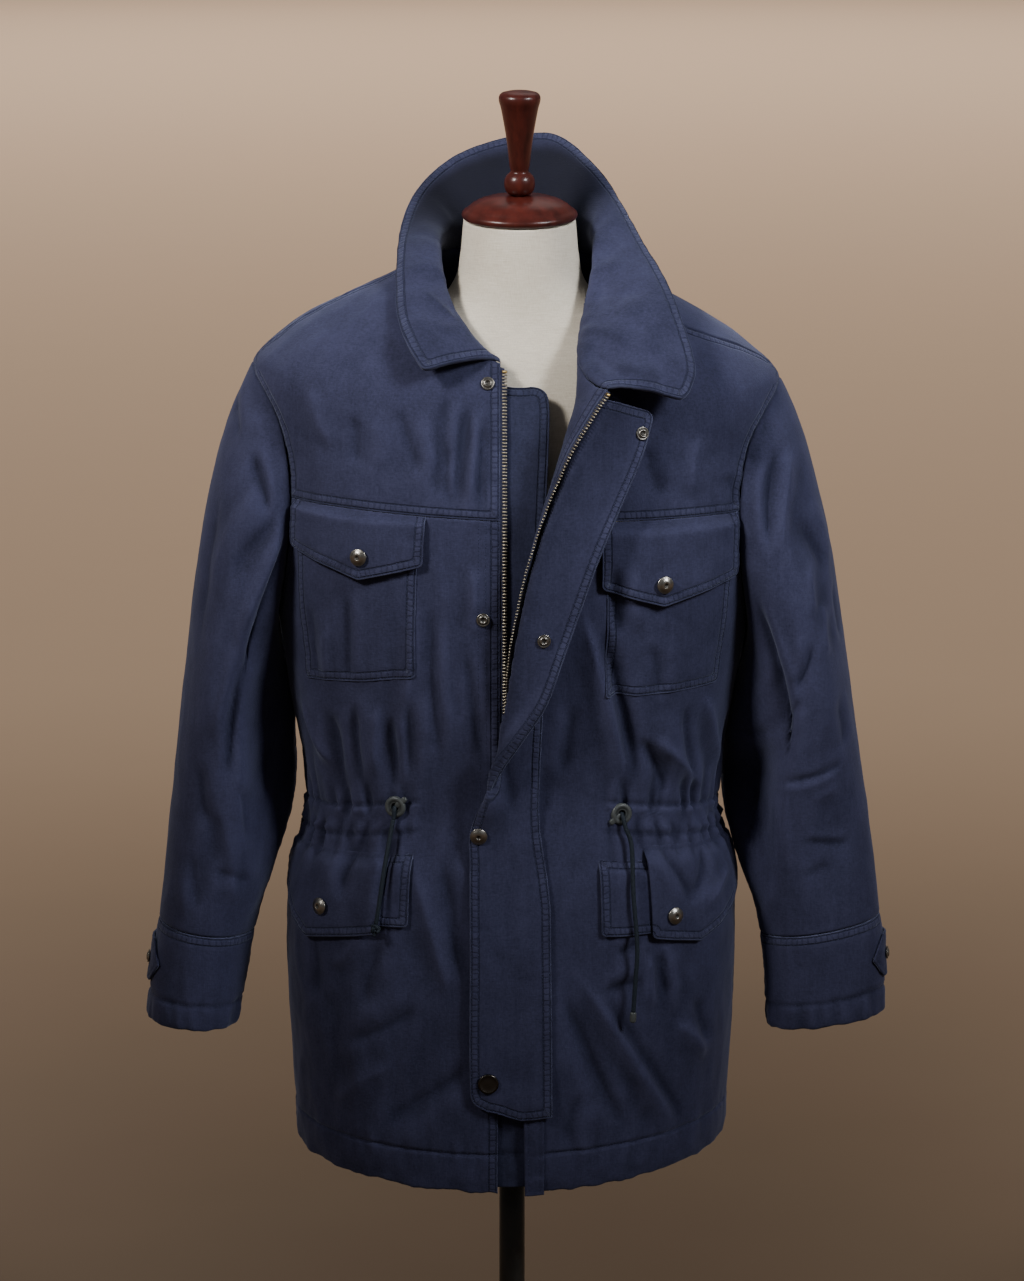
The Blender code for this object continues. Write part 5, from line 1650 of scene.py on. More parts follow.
def lines_between(length: Array, count: int) -> Array:
    """Places along stretches of cloth, close together at both ends.

    Args:
        length: the length of each stretch.
        count: number of parts between the close lines.

    Returns:
        One row of places for each stretch.
    """
    length = np.atleast_1d(length)[:, None]
    rim = RIM_LINES * np.minimum(1.0, 0.40 * length / RIM_LINES[-1])
    inner = lerp(rim[:, -1:], length - rim[:, -1:], np.linspace(0, 1, count + 1)[1:-1])
    return np.concatenate([rim, inner, (length - rim)[:, ::-1]], axis=1)


def height_lines(low: float, high: float, step: float, fine: Sequence[float] = ()) -> Array:
    """Rows between two heights, close together at the ends and beside fine places.

    Args:
        low: the lowest row.
        high: the highest row.
        step: distance between the others.
        fine: heights beside which the rows are close together.

    Returns:
        Each row's share of the way from low to high.
    """
    near = np.array([0.0, 0.1, 0.35, 0.8, 1.5, 2.6, 4.2]) * MM
    lines = [np.arange(low + RIM_LINES[-1] + step, high - RIM_LINES[-1] - 0.5 * step, step)]
    lines += [low + RIM_LINES, high - RIM_LINES]
    for place in fine:
        lines += [place + near, place - near]
    found = np.unique(np.round(np.concatenate(lines), 6))
    found = found[(found >= low - 1e-9) & (found <= high + 1e-9)]
    if len(found) % 2 == 0:
        gap = int(np.argmax(np.diff(found)))
        found = np.insert(found, gap + 1, (found[gap] + found[gap + 1]) / 2)
    return (found - low) / (high - low)


@dataclass
class Cloth:
    """One cut piece of cloth as a closed shell with sewn edges.

    The surface is asked for points, normals and creases at u and v from 0 to 1.
    """

    name: str
    surface: Surface
    step: float = 3.6 * MM
    thick: float = SHELL
    edges: tuple[Edge, Edge, Edge, Edge] = (Edge.SEAM, Edge.SEAM, Edge.SEAM, Edge.SEAM)
    rows: Array | None = None
    finish: Finish = Finish.NAVY
    puckers: float = 1.0
    extra: Sequence[tuple[Callable[[Array, Array], Array], float]] = ()
    both: bool = False
    # painted shade on the inner face, from u and v
    shade: Callable[[Array, Array], Array] | None = None

    def _parameters(self) -> tuple[Array, Array]:
        """u and v of every point of the grid."""
        ticks = np.linspace(0, 1, TICKS)
        if self.rows is None:
            coarse = self.surface(*np.meshgrid(np.linspace(0, 1, 9), ticks))[0]
            lengths = np.linalg.norm(np.diff(coarse, axis=0), axis=-1).sum(axis=0)
            count = max(int(lengths.max() / self.step), 4) // 2 * 2 + 1
            middle = coarse[:, 4]
            arcs = arc_lengths(middle)
            v_lines = np.interp(lines_between(arcs[-1], count)[0], arcs, ticks)
        else:
            v_lines = self.rows
            count = 0
        u_fine, v_fine = np.meshgrid(ticks, v_lines)
        points = self.surface(u_fine, v_fine)[0]
        arcs = arc_lengths(points, 1)
        across = max(int(np.median(arcs[:, -1]) / self.step), 4) // 2 * 2 + 1
        want = lines_between(arcs[:, -1], across)
        u = np.stack([np.interp(row, arc, ticks) for row, arc in zip(want, arcs)])
        v = np.repeat(v_lines[:, None], u.shape[1], axis=1)
        if self.rows is None:
            u_line = u[len(u) // 2]
            u_fine, v_fine = np.meshgrid(u_line, ticks)
            points = self.surface(u_fine, v_fine)[0]
            arcs = arc_lengths(points)
            want = lines_between(arcs[-1], count)
            v = np.stack([np.interp(row, arc, ticks) for row, arc in zip(want, arcs.T)], axis=1)
        return u, v

    def _edge_distances(self, points: Array) -> Array:
        """Distance along the grid from each point to the four edges."""
        from_left = arc_lengths(points, 1)
        from_low = arc_lengths(points)
        return np.stack([
            from_left, from_left[:, -1:] - from_left, from_low, from_low[-1:] - from_low,
        ])

    def _sewn(self, points: Array, near: Array, style: Edge) -> tuple[Array, Array]:
        """Where points lie beside the edges of one style.

        Args:
            points: grid of the cloth.
            near: distance along the grid to each of the four edges.
            style: the style that is asked for.

        Returns:
            True distance to those edges, and the run along them.
        """
        away = np.full(points.shape[:-1], FAR)
        run = np.zeros(points.shape[:-1])
        borders = (points[:, 0], points[:, -1], points[0], points[-1])
        chosen = [k for k in range(4) if self.edges[k] is style]
        if not chosen:
            return away, run
        samples = [resample(borders[k], 1.0 * MM) for k in chosen]
        places = np.concatenate([sample[0] for sample in samples])
        runs = np.concatenate([sample[1] + 0.7 * k for k, sample in enumerate(samples)])
        tree = KDTree(len(places))
        for index, place in enumerate(places):
            tree.insert(place, index)
        tree.balance()
        close = np.min([near[k] for k in chosen], axis=0) < SEWN_REACH
        for i, j in np.argwhere(close):
            _, index, distance = tree.find(points[i, j])
            away[i, j] = distance
            run[i, j] = runs[index]
        return away, run

    def build(self) -> None:
        """Make the piece in the place of the solid of its name."""
        u, v = self._parameters()
        base, normals, detail = self.surface(u, v)
        near = self._edge_distances(base)
        fields = {style: self._sewn(base, near, style) for style in Edge if style is not Edge.OPEN}
        lift, pinch = self._sewing(fields, near)
        outer = base + normals * (detail + lift)[..., None]
        inner = base + normals * (detail - self.thick + pinch)[..., None]
        draft = Draft(self.finish, Finish.THREAD)
        band, run = fields[Edge.DOUBLE]
        rim = near.min(axis=0)
        rows, columns = outer.shape[:2]
        way = np.cross(outer[rows // 2, columns // 2 + 1] - outer[rows // 2, columns // 2],
                       outer[rows // 2 + 1, columns // 2] - outer[rows // 2, columns // 2])
        flip = float(way @ normals[rows // 2, columns // 2]) < 0
        # height above the nearby cloth, kept for the painted crease highlight and shade in the colour
        lie = self._lie(outer, normals) * ease(rim / (9 * MM)) / MM
        shade = np.zeros_like(rim) if self.shade is None else self.shade(u, v)
        values = {"band": band / MM, "run": run, "rim": rim / MM, "lie": lie}
        self._shell(draft, outer, inner, flip, values, shade)
        lines = self._stitch_lines(outer, normals, fields)
        for measure, level in self.extra:
            lines += contours(outer, normals, measure(u, v), level)
        if self.both:
            lines += self._stitch_lines(inner, -normals, fields)
        for line, line_normals in lines:
            stitches(draft, line, line_normals, 1)
        self._declare(draft.build(self.name, [self.name]))

    def _lie(self, outer: Array, normals: Array) -> Array:
        """How far each point stands above the cloth around it."""
        smooth = outer
        for axis in (0, 1):
            total = smooth.copy()
            for shift in range(1, 6):
                for way in (-shift, shift):
                    index = np.clip(np.arange(outer.shape[axis]) + way, 0, outer.shape[axis] - 1)
                    total += np.take(smooth, index, axis=axis)
            smooth = total / 11
        return np.clip(((outer - smooth) * normals).sum(-1), -HIGHEST_LIE, HIGHEST_LIE)

    def _sewing(self, fields: dict[Edge, tuple[Array, Array]], near: Array) -> tuple[Array, Array]:
        """How far the faces move at edges, seams and stitches.

        Args:
            fields: distance to the edges of each style, and the run along them.
            near: distance to each of the four edges.

        Returns:
            Distance outward of the outer face and of the inner one.
        """
        rim = near.min(axis=0)
        reach = EDGE_ROUND * self.thick
        short = np.clip(1 - rim / reach, 0.0, 1.0)
        drop = EDGE_DROP * (self.thick / 2) * (1 - np.sqrt(1 - short * short))
        lift = -drop
        for style, (away, run) in fields.items():
            amount, grooves = style.value
            fade = np.exp(-np.maximum(away - 0.004, 0.0) / 0.010)
            ripple = CRUMPLE.middle.along(run, 0.0085, 0.3) + 0.6 * CRUMPLE.fine.along(run, 0.0047, 0.9)
            lift = lift + self.puckers * amount * MM * fade * ripple * np.where(away < FAR, 1, 0)
            for groove in grooves:
                lift = lift - GROOVE_DEPTH * np.exp(-(((away - groove) / GROOVE_WIDTH) ** 2))
        return lift, drop + (0.5 * (lift + drop) if self.both else 0.0)

    def _stitch_lines(
        self, outer: Array, normals: Array, fields: dict[Edge, tuple[Array, Array]]
    ) -> list[tuple[Array, Array]]:
        """Every line of stitches on the piece."""
        found = []
        for style, (away, _) in fields.items():
            for level in style.value[1]:
                if away.min() < level:
                    found += contours(outer, normals, away, level)
        return found

    def _shell(
        self, draft: Draft, outer: Array, inner: Array, flip: bool, values: dict[str, Array], shade: Array
    ) -> None:
        """Add the closed shell, with half as many rows and columns inside where only one side is sewn.

        Args:
            draft: the piece that takes it.
            outer: grid of the outer face.
            inner: grid of the inner face.
            flip: True where the grid runs the other way round.
            values: numbers kept on the points of both faces.
            shade: painted shade on the inner face, how dark it is made.
        """
        rows, columns = outer.shape[:2]
        skip = 1 if self.both else 2
        thin = inner[::skip, ::skip]
        few_rows, few_columns = thin.shape[:2]
        start = rows * columns
        faces = grid_faces(rows, columns, 0, flip)
        faces += grid_faces(few_rows, few_columns, start, not flip)

        def out(i: int, j: int) -> int:
            """Number of a point of the outer face."""
            return i * columns + j

        def within(i: int, j: int) -> int:
            """Number of the inner face's point behind it."""
            return start + (i // skip) * few_columns + j // skip

        border = [(0, j) for j in range(0, columns - 1, skip)]
        border += [(i, columns - 1) for i in range(0, rows - 1, skip)]
        border += [(rows - 1, j) for j in range(columns - 1, 0, -skip)]
        border += [(i, 0) for i in range(rows - 1, 0, -skip)]
        count = len(border)
        for k in range(count):
            a, c = border[k], border[(k + 1) % count]
            face = [out(*a), within(*a), within(*c), out(*c)]
            if skip == 2:
                face.append(out((a[0] + c[0]) // 2, (a[1] + c[1]) // 2))
            faces.append(tuple(reversed(face)) if flip else tuple(face))
        both = {
            name: np.concatenate([value.ravel(), value[::skip, ::skip].ravel()])
            for name, value in values.items()
        }
        both["shade"] = np.concatenate([np.zeros(shade.size), shade[::skip, ::skip].ravel()])
        draft.add(np.concatenate([outer.reshape(-1, 3), thin.reshape(-1, 3)]), faces, 0, **both)

    def _declare(self, made: Any) -> None:
        """Look up the flat cut that the cloth was made from; nothing is done with it."""
        width, length, area = CUTS[self.name]


# ---------------------------------------------------------------- body panels


@dataclass
class Panels:
    """The two fronts, the two yokes and the back."""

    step: float = 2.7 * MM
    lapel_share: float = 0.20
    back_step: float = 3.5 * MM
    casing_start: Pair = (0.33, 0.45)
    facing_lines: Pair = (0.0133, 0.0200)
    facing_reach: float = 0.150
    hem_line: float = 1.4 * MM

    def right_surface(self, low: float, high: float) -> Surface:
        """Right front between two heights, from its zip edge to the side."""

        def surface(u: Array, v: Array) -> Skin:
            """Points, normals and creases of the right front."""
            height = lerp(low, high, v)
            phi = lerp(BODY.zip_angle(height), SEAM_ANGLE - BODY.front_edge(height), u)
            return BODY.laid(phi, height)

        return surface

    def left_surface(self, low: float, high: float) -> Surface:
        """Left front between two heights, from its zip edge to the side."""
        share = self.lapel_share

        def surface(u: Array, v: Array) -> Skin:
            """Points, normals and creases: the edge zone up to share, the oval beyond it."""
            height = lerp(low, high, v)
            t = np.clip(1 - u / share, 0.0, 1.0)
            start = np.radians(LAPEL.at("start_deg", height))
            end = BODY.front_edge(height, Side.LEFT) - SEAM_ANGLE
            phi = lerp(start, end, np.clip((u - share) / (1 - share), 0.0, 1.0))
            flat, flat_normal = BODY.outer(phi, height)
            flat = flat + BODY.hem_wave(phi, height)
            turned_in, _, lapel_normal = BODY.lapel_frame(height, t)
            on_lapel = (t > 0)[..., None]
            points = np.where(on_lapel, turned_in, flat)
            normal = np.where(on_lapel, lapel_normal, flat_normal)
            across = np.where(t > 0, BODY.lapel_across(height, t), phi * BODY_REACH)
            return points, normal, BODY.detail(points, across, height)

        return surface

    def back_surface(self, low: float, high: float) -> Surface:
        """Back from the left side round to the right side."""

        def surface(u: Array, v: Array) -> Skin:
            """Points, normals and creases of the back."""
            height = lerp(low, high, v)
            left = BODY.back_edge(height, Side.LEFT) + SEAM_ANGLE
            right = BODY.back_edge(height) + SEAM_ANGLE
            return BODY.laid(lerp(left, 2 * math.pi - right, u), height)

        return surface

    def _height_line(self, low: float, high: float, level: float, front: float = 0.0) -> Any:
        """A sewn line at one height, from an angle off the centre front on."""

        def measure(u: Array, v: Array) -> Array:
            """Height of a place, where the line is sewn."""
            return np.where(u > front, lerp(low, high, v), np.nan)

        return measure, level

    def _facing_line(self, low: float, high: float, from_edge: float) -> Any:
        """A sewn line beside the right front's zip edge, above the waist."""

        def measure(u: Array, v: Array) -> Array:
            """Distance from the zip edge, where the line is sewn."""
            height = lerp(low, high, v)
            span = BODY.zip_angle(height) - SEAM_ANGLE + BODY.front_edge(height)
            return np.where(height > WAIST_HEIGHT, u * span * self.facing_reach, np.nan)

        return measure, from_edge

    def build(self) -> None:
        """Make the panels."""
        seam = ARMHOLE_MIDDLE - SEAM_GAP / 4
        over = ARMHOLE_MIDDLE + SEAM_GAP / 4
        hem = HEM_HEIGHT + HEM_BAND
        lower = height_lines(HEM_HEIGHT, seam, self.step, (hem, ARMPIT_HEIGHT))
        upper = height_lines(over, NECK_HEIGHT, self.step, (SHOULDER_TIP_HEIGHT,))
        whole = height_lines(
            HEM_HEIGHT, NECK_HEIGHT, self.back_step, (hem, ARMPIT_HEIGHT, SHOULDER_TIP_HEIGHT)
        )
        front = (Edge.DOUBLE, Edge.DOUBLE, Edge.OPEN, Edge.OPEN)
        yoke = (Edge.DOUBLE, Edge.DOUBLE, Edge.DOUBLE, Edge.OPEN)
        casing = tuple(WAIST_HEIGHT + off for off in CASING)
        for side, surface in ((Side.RIGHT, self.right_surface), (Side.LEFT, self.left_surface)):
            low = (HEM_HEIGHT, seam)
            high = (over, NECK_HEIGHT)
            start = side.of(self.casing_start)
            lines = [self._height_line(*low, hem + self.hem_line)]
            lines += [self._height_line(*low, level, start) for level in casing]
            more = []
            if side is Side.RIGHT:
                lines += [self._facing_line(*low, off) for off in self.facing_lines]
                more = [self._facing_line(*high, off) for off in self.facing_lines]
            name = side.word
            Cloth(f"{name}_front", surface(*low), self.step, SHELL, front, lower, extra=lines).build()
            Cloth(f"{name}_yoke", surface(*high), self.step, SHELL, yoke, upper, extra=more).build()
        ends = (Edge.SEAM, Edge.SEAM, Edge.OPEN, Edge.OPEN)
        whole_heights = (HEM_HEIGHT, NECK_HEIGHT)
        lines = [self._height_line(*whole_heights, level) for level in (hem + self.hem_line, *casing)]
        back = self.back_surface(*whole_heights)
        Cloth("back", back, self.back_step, SHELL, ends, whole, extra=lines).build()


# ---------------------------------------------------------------- sleeves and cuffs


@dataclass
class Sleeve:
    """Sleeve, cuff, tab and the tab's snap on one side."""

    side: Side
    step: float = 3.1 * MM
    tab_back: float = math.radians(-48)
    snap_at: Pair = (8, 0.236)
    slit_reach: float = 0.12
    cuff_stitch: float = 0.2655
    hollow_depth: Pair = (0.036, 0.048)
    hollow_from: float = math.radians(106)
    hollow_to: float = math.radians(240)
    hollow_end: float = 0.165
    hollow_at_top: Pair = (0.80, 0.30)
    hollow_whole: float = 0.055
    tuck_in: Pair = (10 * MM, 13 * MM)
    tuck_from: float = 2.3
    tuck_to: float = 4.1
    fade_length: float = 0.13
    tab_rows: Track = Track(
        "drop front_deg", [(0.216, 18), (0.222, 27), (0.236, 40), (0.250, 27), (0.256, 18)],
    )

    def __post_init__(self) -> None:
        """Set up the folds and creases of this sleeve."""
        self.folds = Folds(SLEEVE_FOLDS[self.side], SLEEVE_REACH)
        self.creases = Creases(SLEEVE_CREASES[self.side], SLEEVE_REACH)

    def armhole(self, psi: Array) -> tuple[Array, Array]:
        """Points of the armhole and the body's normals there; psi is 0 at the shoulder tip."""
        height = ARMHOLE_MIDDLE + ARMHOLE_HALF * np.cos(psi)
        angle = np.where(np.sin(psi) >= 0, BODY.front_edge(height), BODY.back_edge(height))
        return BODY.shape(self.side.value * angle, height), BODY.normal(self.side.value * angle, height)

    def section(self, psi: Array, drop: Array) -> Array:
        """Points of the hanging sleeve at a drop below SLEEVE_TOP."""
        rows = SLEEVES[self.side]
        lean = np.radians(rows.at("lean_deg", drop))
        half = rows.at("half_out", drop) * np.cos(psi)
        round_at = np.mod(psi, 2 * math.pi)
        fall = ease((self.hollow_end - drop) / self.fade_length)
        hollow = window(round_at, self.hollow_from, self.hollow_to, 0.42, 0.95)
        inward = window(round_at, self.tuck_from, self.tuck_to, 0.6, 0.7)
        out = rows.at("out", drop) + half * np.cos(lean) - self.side.of(self.tuck_in) * inward * fall
        depth = rows.at("depth", drop) - rows.at("half_depth", drop) * np.sin(psi)
        start = lerp(self.side.of(self.hollow_at_top), 1.0, ease(drop / self.hollow_whole))
        depth = depth + self.side.of(self.hollow_depth) * hollow * fall * start
        return stack(self.side.value * out, depth, SLEEVE_TOP - drop + half * np.sin(lean))

    def shape(self, psi: Array, run: Array) -> Array:
        """Points of the sleeve without folds.

        Args:
            psi: angle round the sleeve.
            run: -1 at the armhole, 0 at SLEEVE_TOP, then metres of drop.

        Returns:
            The points.
        """
        low = self.section(psi, np.maximum(run, 0.0))
        start, _ = self.armhole(psi)
        end = self.section(psi, np.zeros_like(run))
        top = (1 + np.cos(psi)) / 2
        leave = unit(stack(
            self.side.value * lerp(0.10, 0.50, top), -0.42 * np.sin(psi), -lerp(0.95, 0.85, top)
        ))
        below = unit(self.section(psi, np.full_like(run, 0.02)) - end)
        reach = np.linalg.norm(end - start, axis=-1)
        cap = hermite(
            start + leave * SEAM_GAP,
            leave * (reach * lerp(0.7, 0.8, top))[..., None],
            end,
            below * (reach * lerp(0.8, 0.9, top))[..., None],
            np.minimum(run + 1, 1.0)[..., None],
        )
        return np.where((run >= 0)[..., None], low, cap)

    def laid(self, psi: Array, run: Array, out: Any = 0.0) -> Skin:
        """Cloth on the sleeve.

        Args:
            psi: angle round the sleeve.
            run: -1 at the armhole, 0 at SLEEVE_TOP, then metres of drop.
            out: how far it lies above the sleeve.

        Returns:
            Points, normals and creases.
        """
        psi, run = alike(psi, run)
        step = 0.01
        around = self.shape(psi + step, run) - self.shape(psi - step, run)
        ahead = np.where((run > -0.02) & (run <= 0), 0.0, run)
        down = self.shape(psi, np.where(ahead >= 0, ahead + step, run + step))
        down = down - self.shape(psi, np.where(ahead >= 0, ahead, np.maximum(run - step, -1.0)))
        normal = unit(np.cross(around, down)) * self.side.value
        share = np.maximum(np.cos(psi), 0.0) * ease((-0.7 - run) / 0.3)
        normal = unit(lerp(normal, self.armhole(psi)[1], share[..., None]))
        drop = np.where(run >= 0, run, run * 0.2)
        around_m = np.mod(psi, 2 * math.pi) * SLEEVE_REACH
        near_top = ease((run + 1) / 0.3)
        relief = self.folds.depth(around_m, drop) * near_top
        points = self.shape(psi, run) + normal * (relief + out)[..., None]
        detail = self.creases.depth(around_m, drop) * ease((run + 1) / 0.15)
        detail = detail + CRUMPLE.depth(points)
        return points, normal, detail * CRUMPLE.stillness(points)

    def around(self, u: Array) -> Array:
        """Angle round the sleeve, from one side of its underarm seam to the other."""
        slit = SEAM_GAP / self.slit_reach
        return lerp(math.pi + slit, 3 * math.pi - slit, u)

    def cuff_drop(self, u: Array, v: Array) -> Array:
        """Drop of a place on the cuff."""
        return lerp(CUFF_END_DROP, CUFF_SEAM_DROP, v)

    def sleeve_surface(self, u: Array, v: Array) -> Skin:
        """The sleeve from its cuff seam (v = 0) to the armhole (v = 1)."""
        run = np.where(v < 0.5, lerp(CUFF_SEAM_DROP - SEAM_GAP, 0.0, v / 0.5), -(v - 0.5) / 0.5)
        return self.laid(self.around(u), run)

    def cuff_surface(self, u: Array, v: Array) -> Skin:
        """The cuff from its end (v = 0) to its seam (v = 1)."""
        drop = self.cuff_drop(u, v)
        points, normal, detail = self.laid(self.around(u), drop, CUFF_BULGE.at("out", drop))
        end = ease((drop - 0.255) / 0.02)
        lumps = CRUMPLE.fine.at(points, (0.010, 0.010, 0.030)) * 1.9 * MM * end
        points = points + stack(0.0, 0.0, CRUMPLE.middle.at(points, 0.015) * 1.3 * MM * end)
        return points, normal, detail + lumps

    def tab_surface(self, u: Array, v: Array) -> Skin:
        """The pointed tab on the cuff."""
        drop = lerp(self.tab_rows.keys[-1], self.tab_rows.keys[0], v)
        fronts = self.tab_rows.columns["front_deg"]
        front = np.radians(np.interp(drop, self.tab_rows.keys, fronts))
        psi = lerp(self.tab_back, front, u)
        points, normal, detail = self.laid(psi, drop, TAB_OUT)
        return points, normal, detail * 0.6

    def build(self) -> None:
        """Make the sleeve, cuff and tab."""
        word = self.side.word
        ends = (Edge.SEAM, Edge.SEAM, Edge.OPEN, Edge.SEAM)
        Cloth(f"{word}_sleeve", self.sleeve_surface, self.step, SHELL, ends).build()
        cuff = (Edge.SEAM, Edge.SEAM, Edge.OPEN, Edge.DOUBLE)
        line = [(self.cuff_drop, self.cuff_stitch)]
        Cloth(
            f"{word}_cuff", self.cuff_surface, 2.8 * MM, SHELL, cuff, puckers=1.3, extra=line,
        ).build()
        tab = (Edge.OPEN, Edge.SINGLE, Edge.SINGLE, Edge.SINGLE)
        Cloth(f"{word}_cuff_tab", self.tab_surface, 2.2 * MM, FLAP_WALL, tab).build()

    def snap_place(self) -> tuple[Array, Array]:
        """Seat and direction of the tab's snap."""
        turn, drop = self.snap_at
        point, normal, _ = self.laid(np.array(math.radians(turn)), np.array(drop), TAB_OUT)
        return point + normal * SEAM_GAP, normal


# ---------------------------------------------------------------- collar


@dataclass
class Collar:
    """Spread collar that stands round the neck."""

    tip_radius: float = 0.0075
    outer_edge: float = 0.56
    puff: float = 0.9 * MM
    step: float = 3.2 * MM

    def __post_init__(self) -> None:
        """Work out the neckline."""
        self.seam, self.up, self.out = self._neckline()
        self.lengths = arc_lengths(self.seam)

    def _neckline(self) -> Skin:
        """Middle points of the body's top edge, the way up there and its outward normal."""
        top = NECK_HEIGHT
        end = -2 * math.pi + math.radians(float(LAPEL.at("start_deg", top)))
        phi = np.linspace(float(BODY.zip_angle(top)), end, 61)
        t = np.arange(1, 13) / 12

        def pair(height: float) -> tuple[Array, Array]:
            """Points and normals of the body's edge at one height."""
            body, body_normal = BODY.outer(phi, np.full(phi.shape, height))
            lapel, _, lapel_normal = BODY.lapel_frame(np.full(t.shape, height), t)
            return np.concatenate([body, lapel]), np.concatenate([body_normal, lapel_normal])

        high_points, normals = pair(top)
        low_points, low_normals = pair(top - 0.004)
        middle = high_points - normals * SHELL / 2
        below = low_points - low_normals * SHELL / 2
        return middle, unit(middle - below), normals

    def _read(self, store: Array, place: Array) -> Array:
        """Values along the neckline."""
        return read_along(place * self.lengths[-1], self.lengths, store)

    def middle(self, place: Array, s: Array) -> Array:
        """Middle of the wall from the neck seam (s = 0) to the outer edge (s = 1)."""
        up = unit(self._read(self.up, place))
        edge = stack(COLLAR.at("x", place), COLLAR.at("y", place), COLLAR.at("z", place))
        rise = COLLAR.at("rise", place)
        base = self._read(self.seam, place) + up * COLLAR_GAP
        first = base + up * rise[..., None]
        second = lerp(base, edge, 0.62) + stack(0.0, 0.0, rise * 0.4 + COLLAR.at("bow", place))
        one = (1 - s)[..., None]
        s = s[..., None]
        return base * one**3 + first * 3 * one * one * s + second * 3 * one * s * s + edge * s**3

    def surface(self, u: Array, v: Array) -> Skin:
        """Outer face of the collar, its tips rounded.

        Args:
            u: share of its length, from the right tip on.
            v: share of its height, from the neck seam on.

        Returns:
            Points, normals and creases.
        """
        from_end = np.minimum(u, 1 - u) * self.outer_edge
        s = v * (1 - corner_cut(from_end, self.tip_radius) / COLLAR_HEIGHT)
        step = 0.006
        u_ahead, u_behind = np.minimum(u + step, 1.0), np.maximum(u - step, 0.0)
        s_ahead, s_behind = np.minimum(s + 0.02, 1.0), np.maximum(s - 0.02, 0.0)
        above = self.middle(u, s_ahead) - self.middle(u, s_behind)
        ahead = self.middle(u_ahead, s) - self.middle(u_behind, s)
        normal = unit(np.cross(above, ahead))
        seam_normal = unit(self._read(self.out, u))
        normal = unit(lerp(seam_normal, normal, ease(s / 0.15)[..., None]))
        points = self.middle(u, s) + normal * COLLAR_WALL / 2
        puff = self.puff * np.sin(math.pi * np.clip(s, 0, 1)) ** 0.5
        folds = Creases(COLLAR_CREASES, COLLAR_REACH, strength=1.1)
        detail = folds.depth(2 * math.pi * COLLAR_REACH * u, COLLAR_HEIGHT * s)
        return points, normal, CRUMPLE.depth(points, 1.1) + puff + detail

    def unfaded(self, u: Array, v: Array) -> Array:
        """Painted shade inside the standing part: how much darker the cloth is made there."""
        standing = window(u, 0.20, 0.76, 0.14, 0.16)
        return 0.92 * standing * ease((0.97 - v) / 0.20)

    def build(self) -> None:
        """Make the collar."""
        edges = (Edge.DOUBLE, Edge.DOUBLE, Edge.SEAM, Edge.DOUBLE)
        Cloth(
            "collar", self.surface, self.step, COLLAR_WALL, edges, puckers=1.2, both=True,
            shade=self.unfaded,
        ).build()


# ---------------------------------------------------------------- front closure


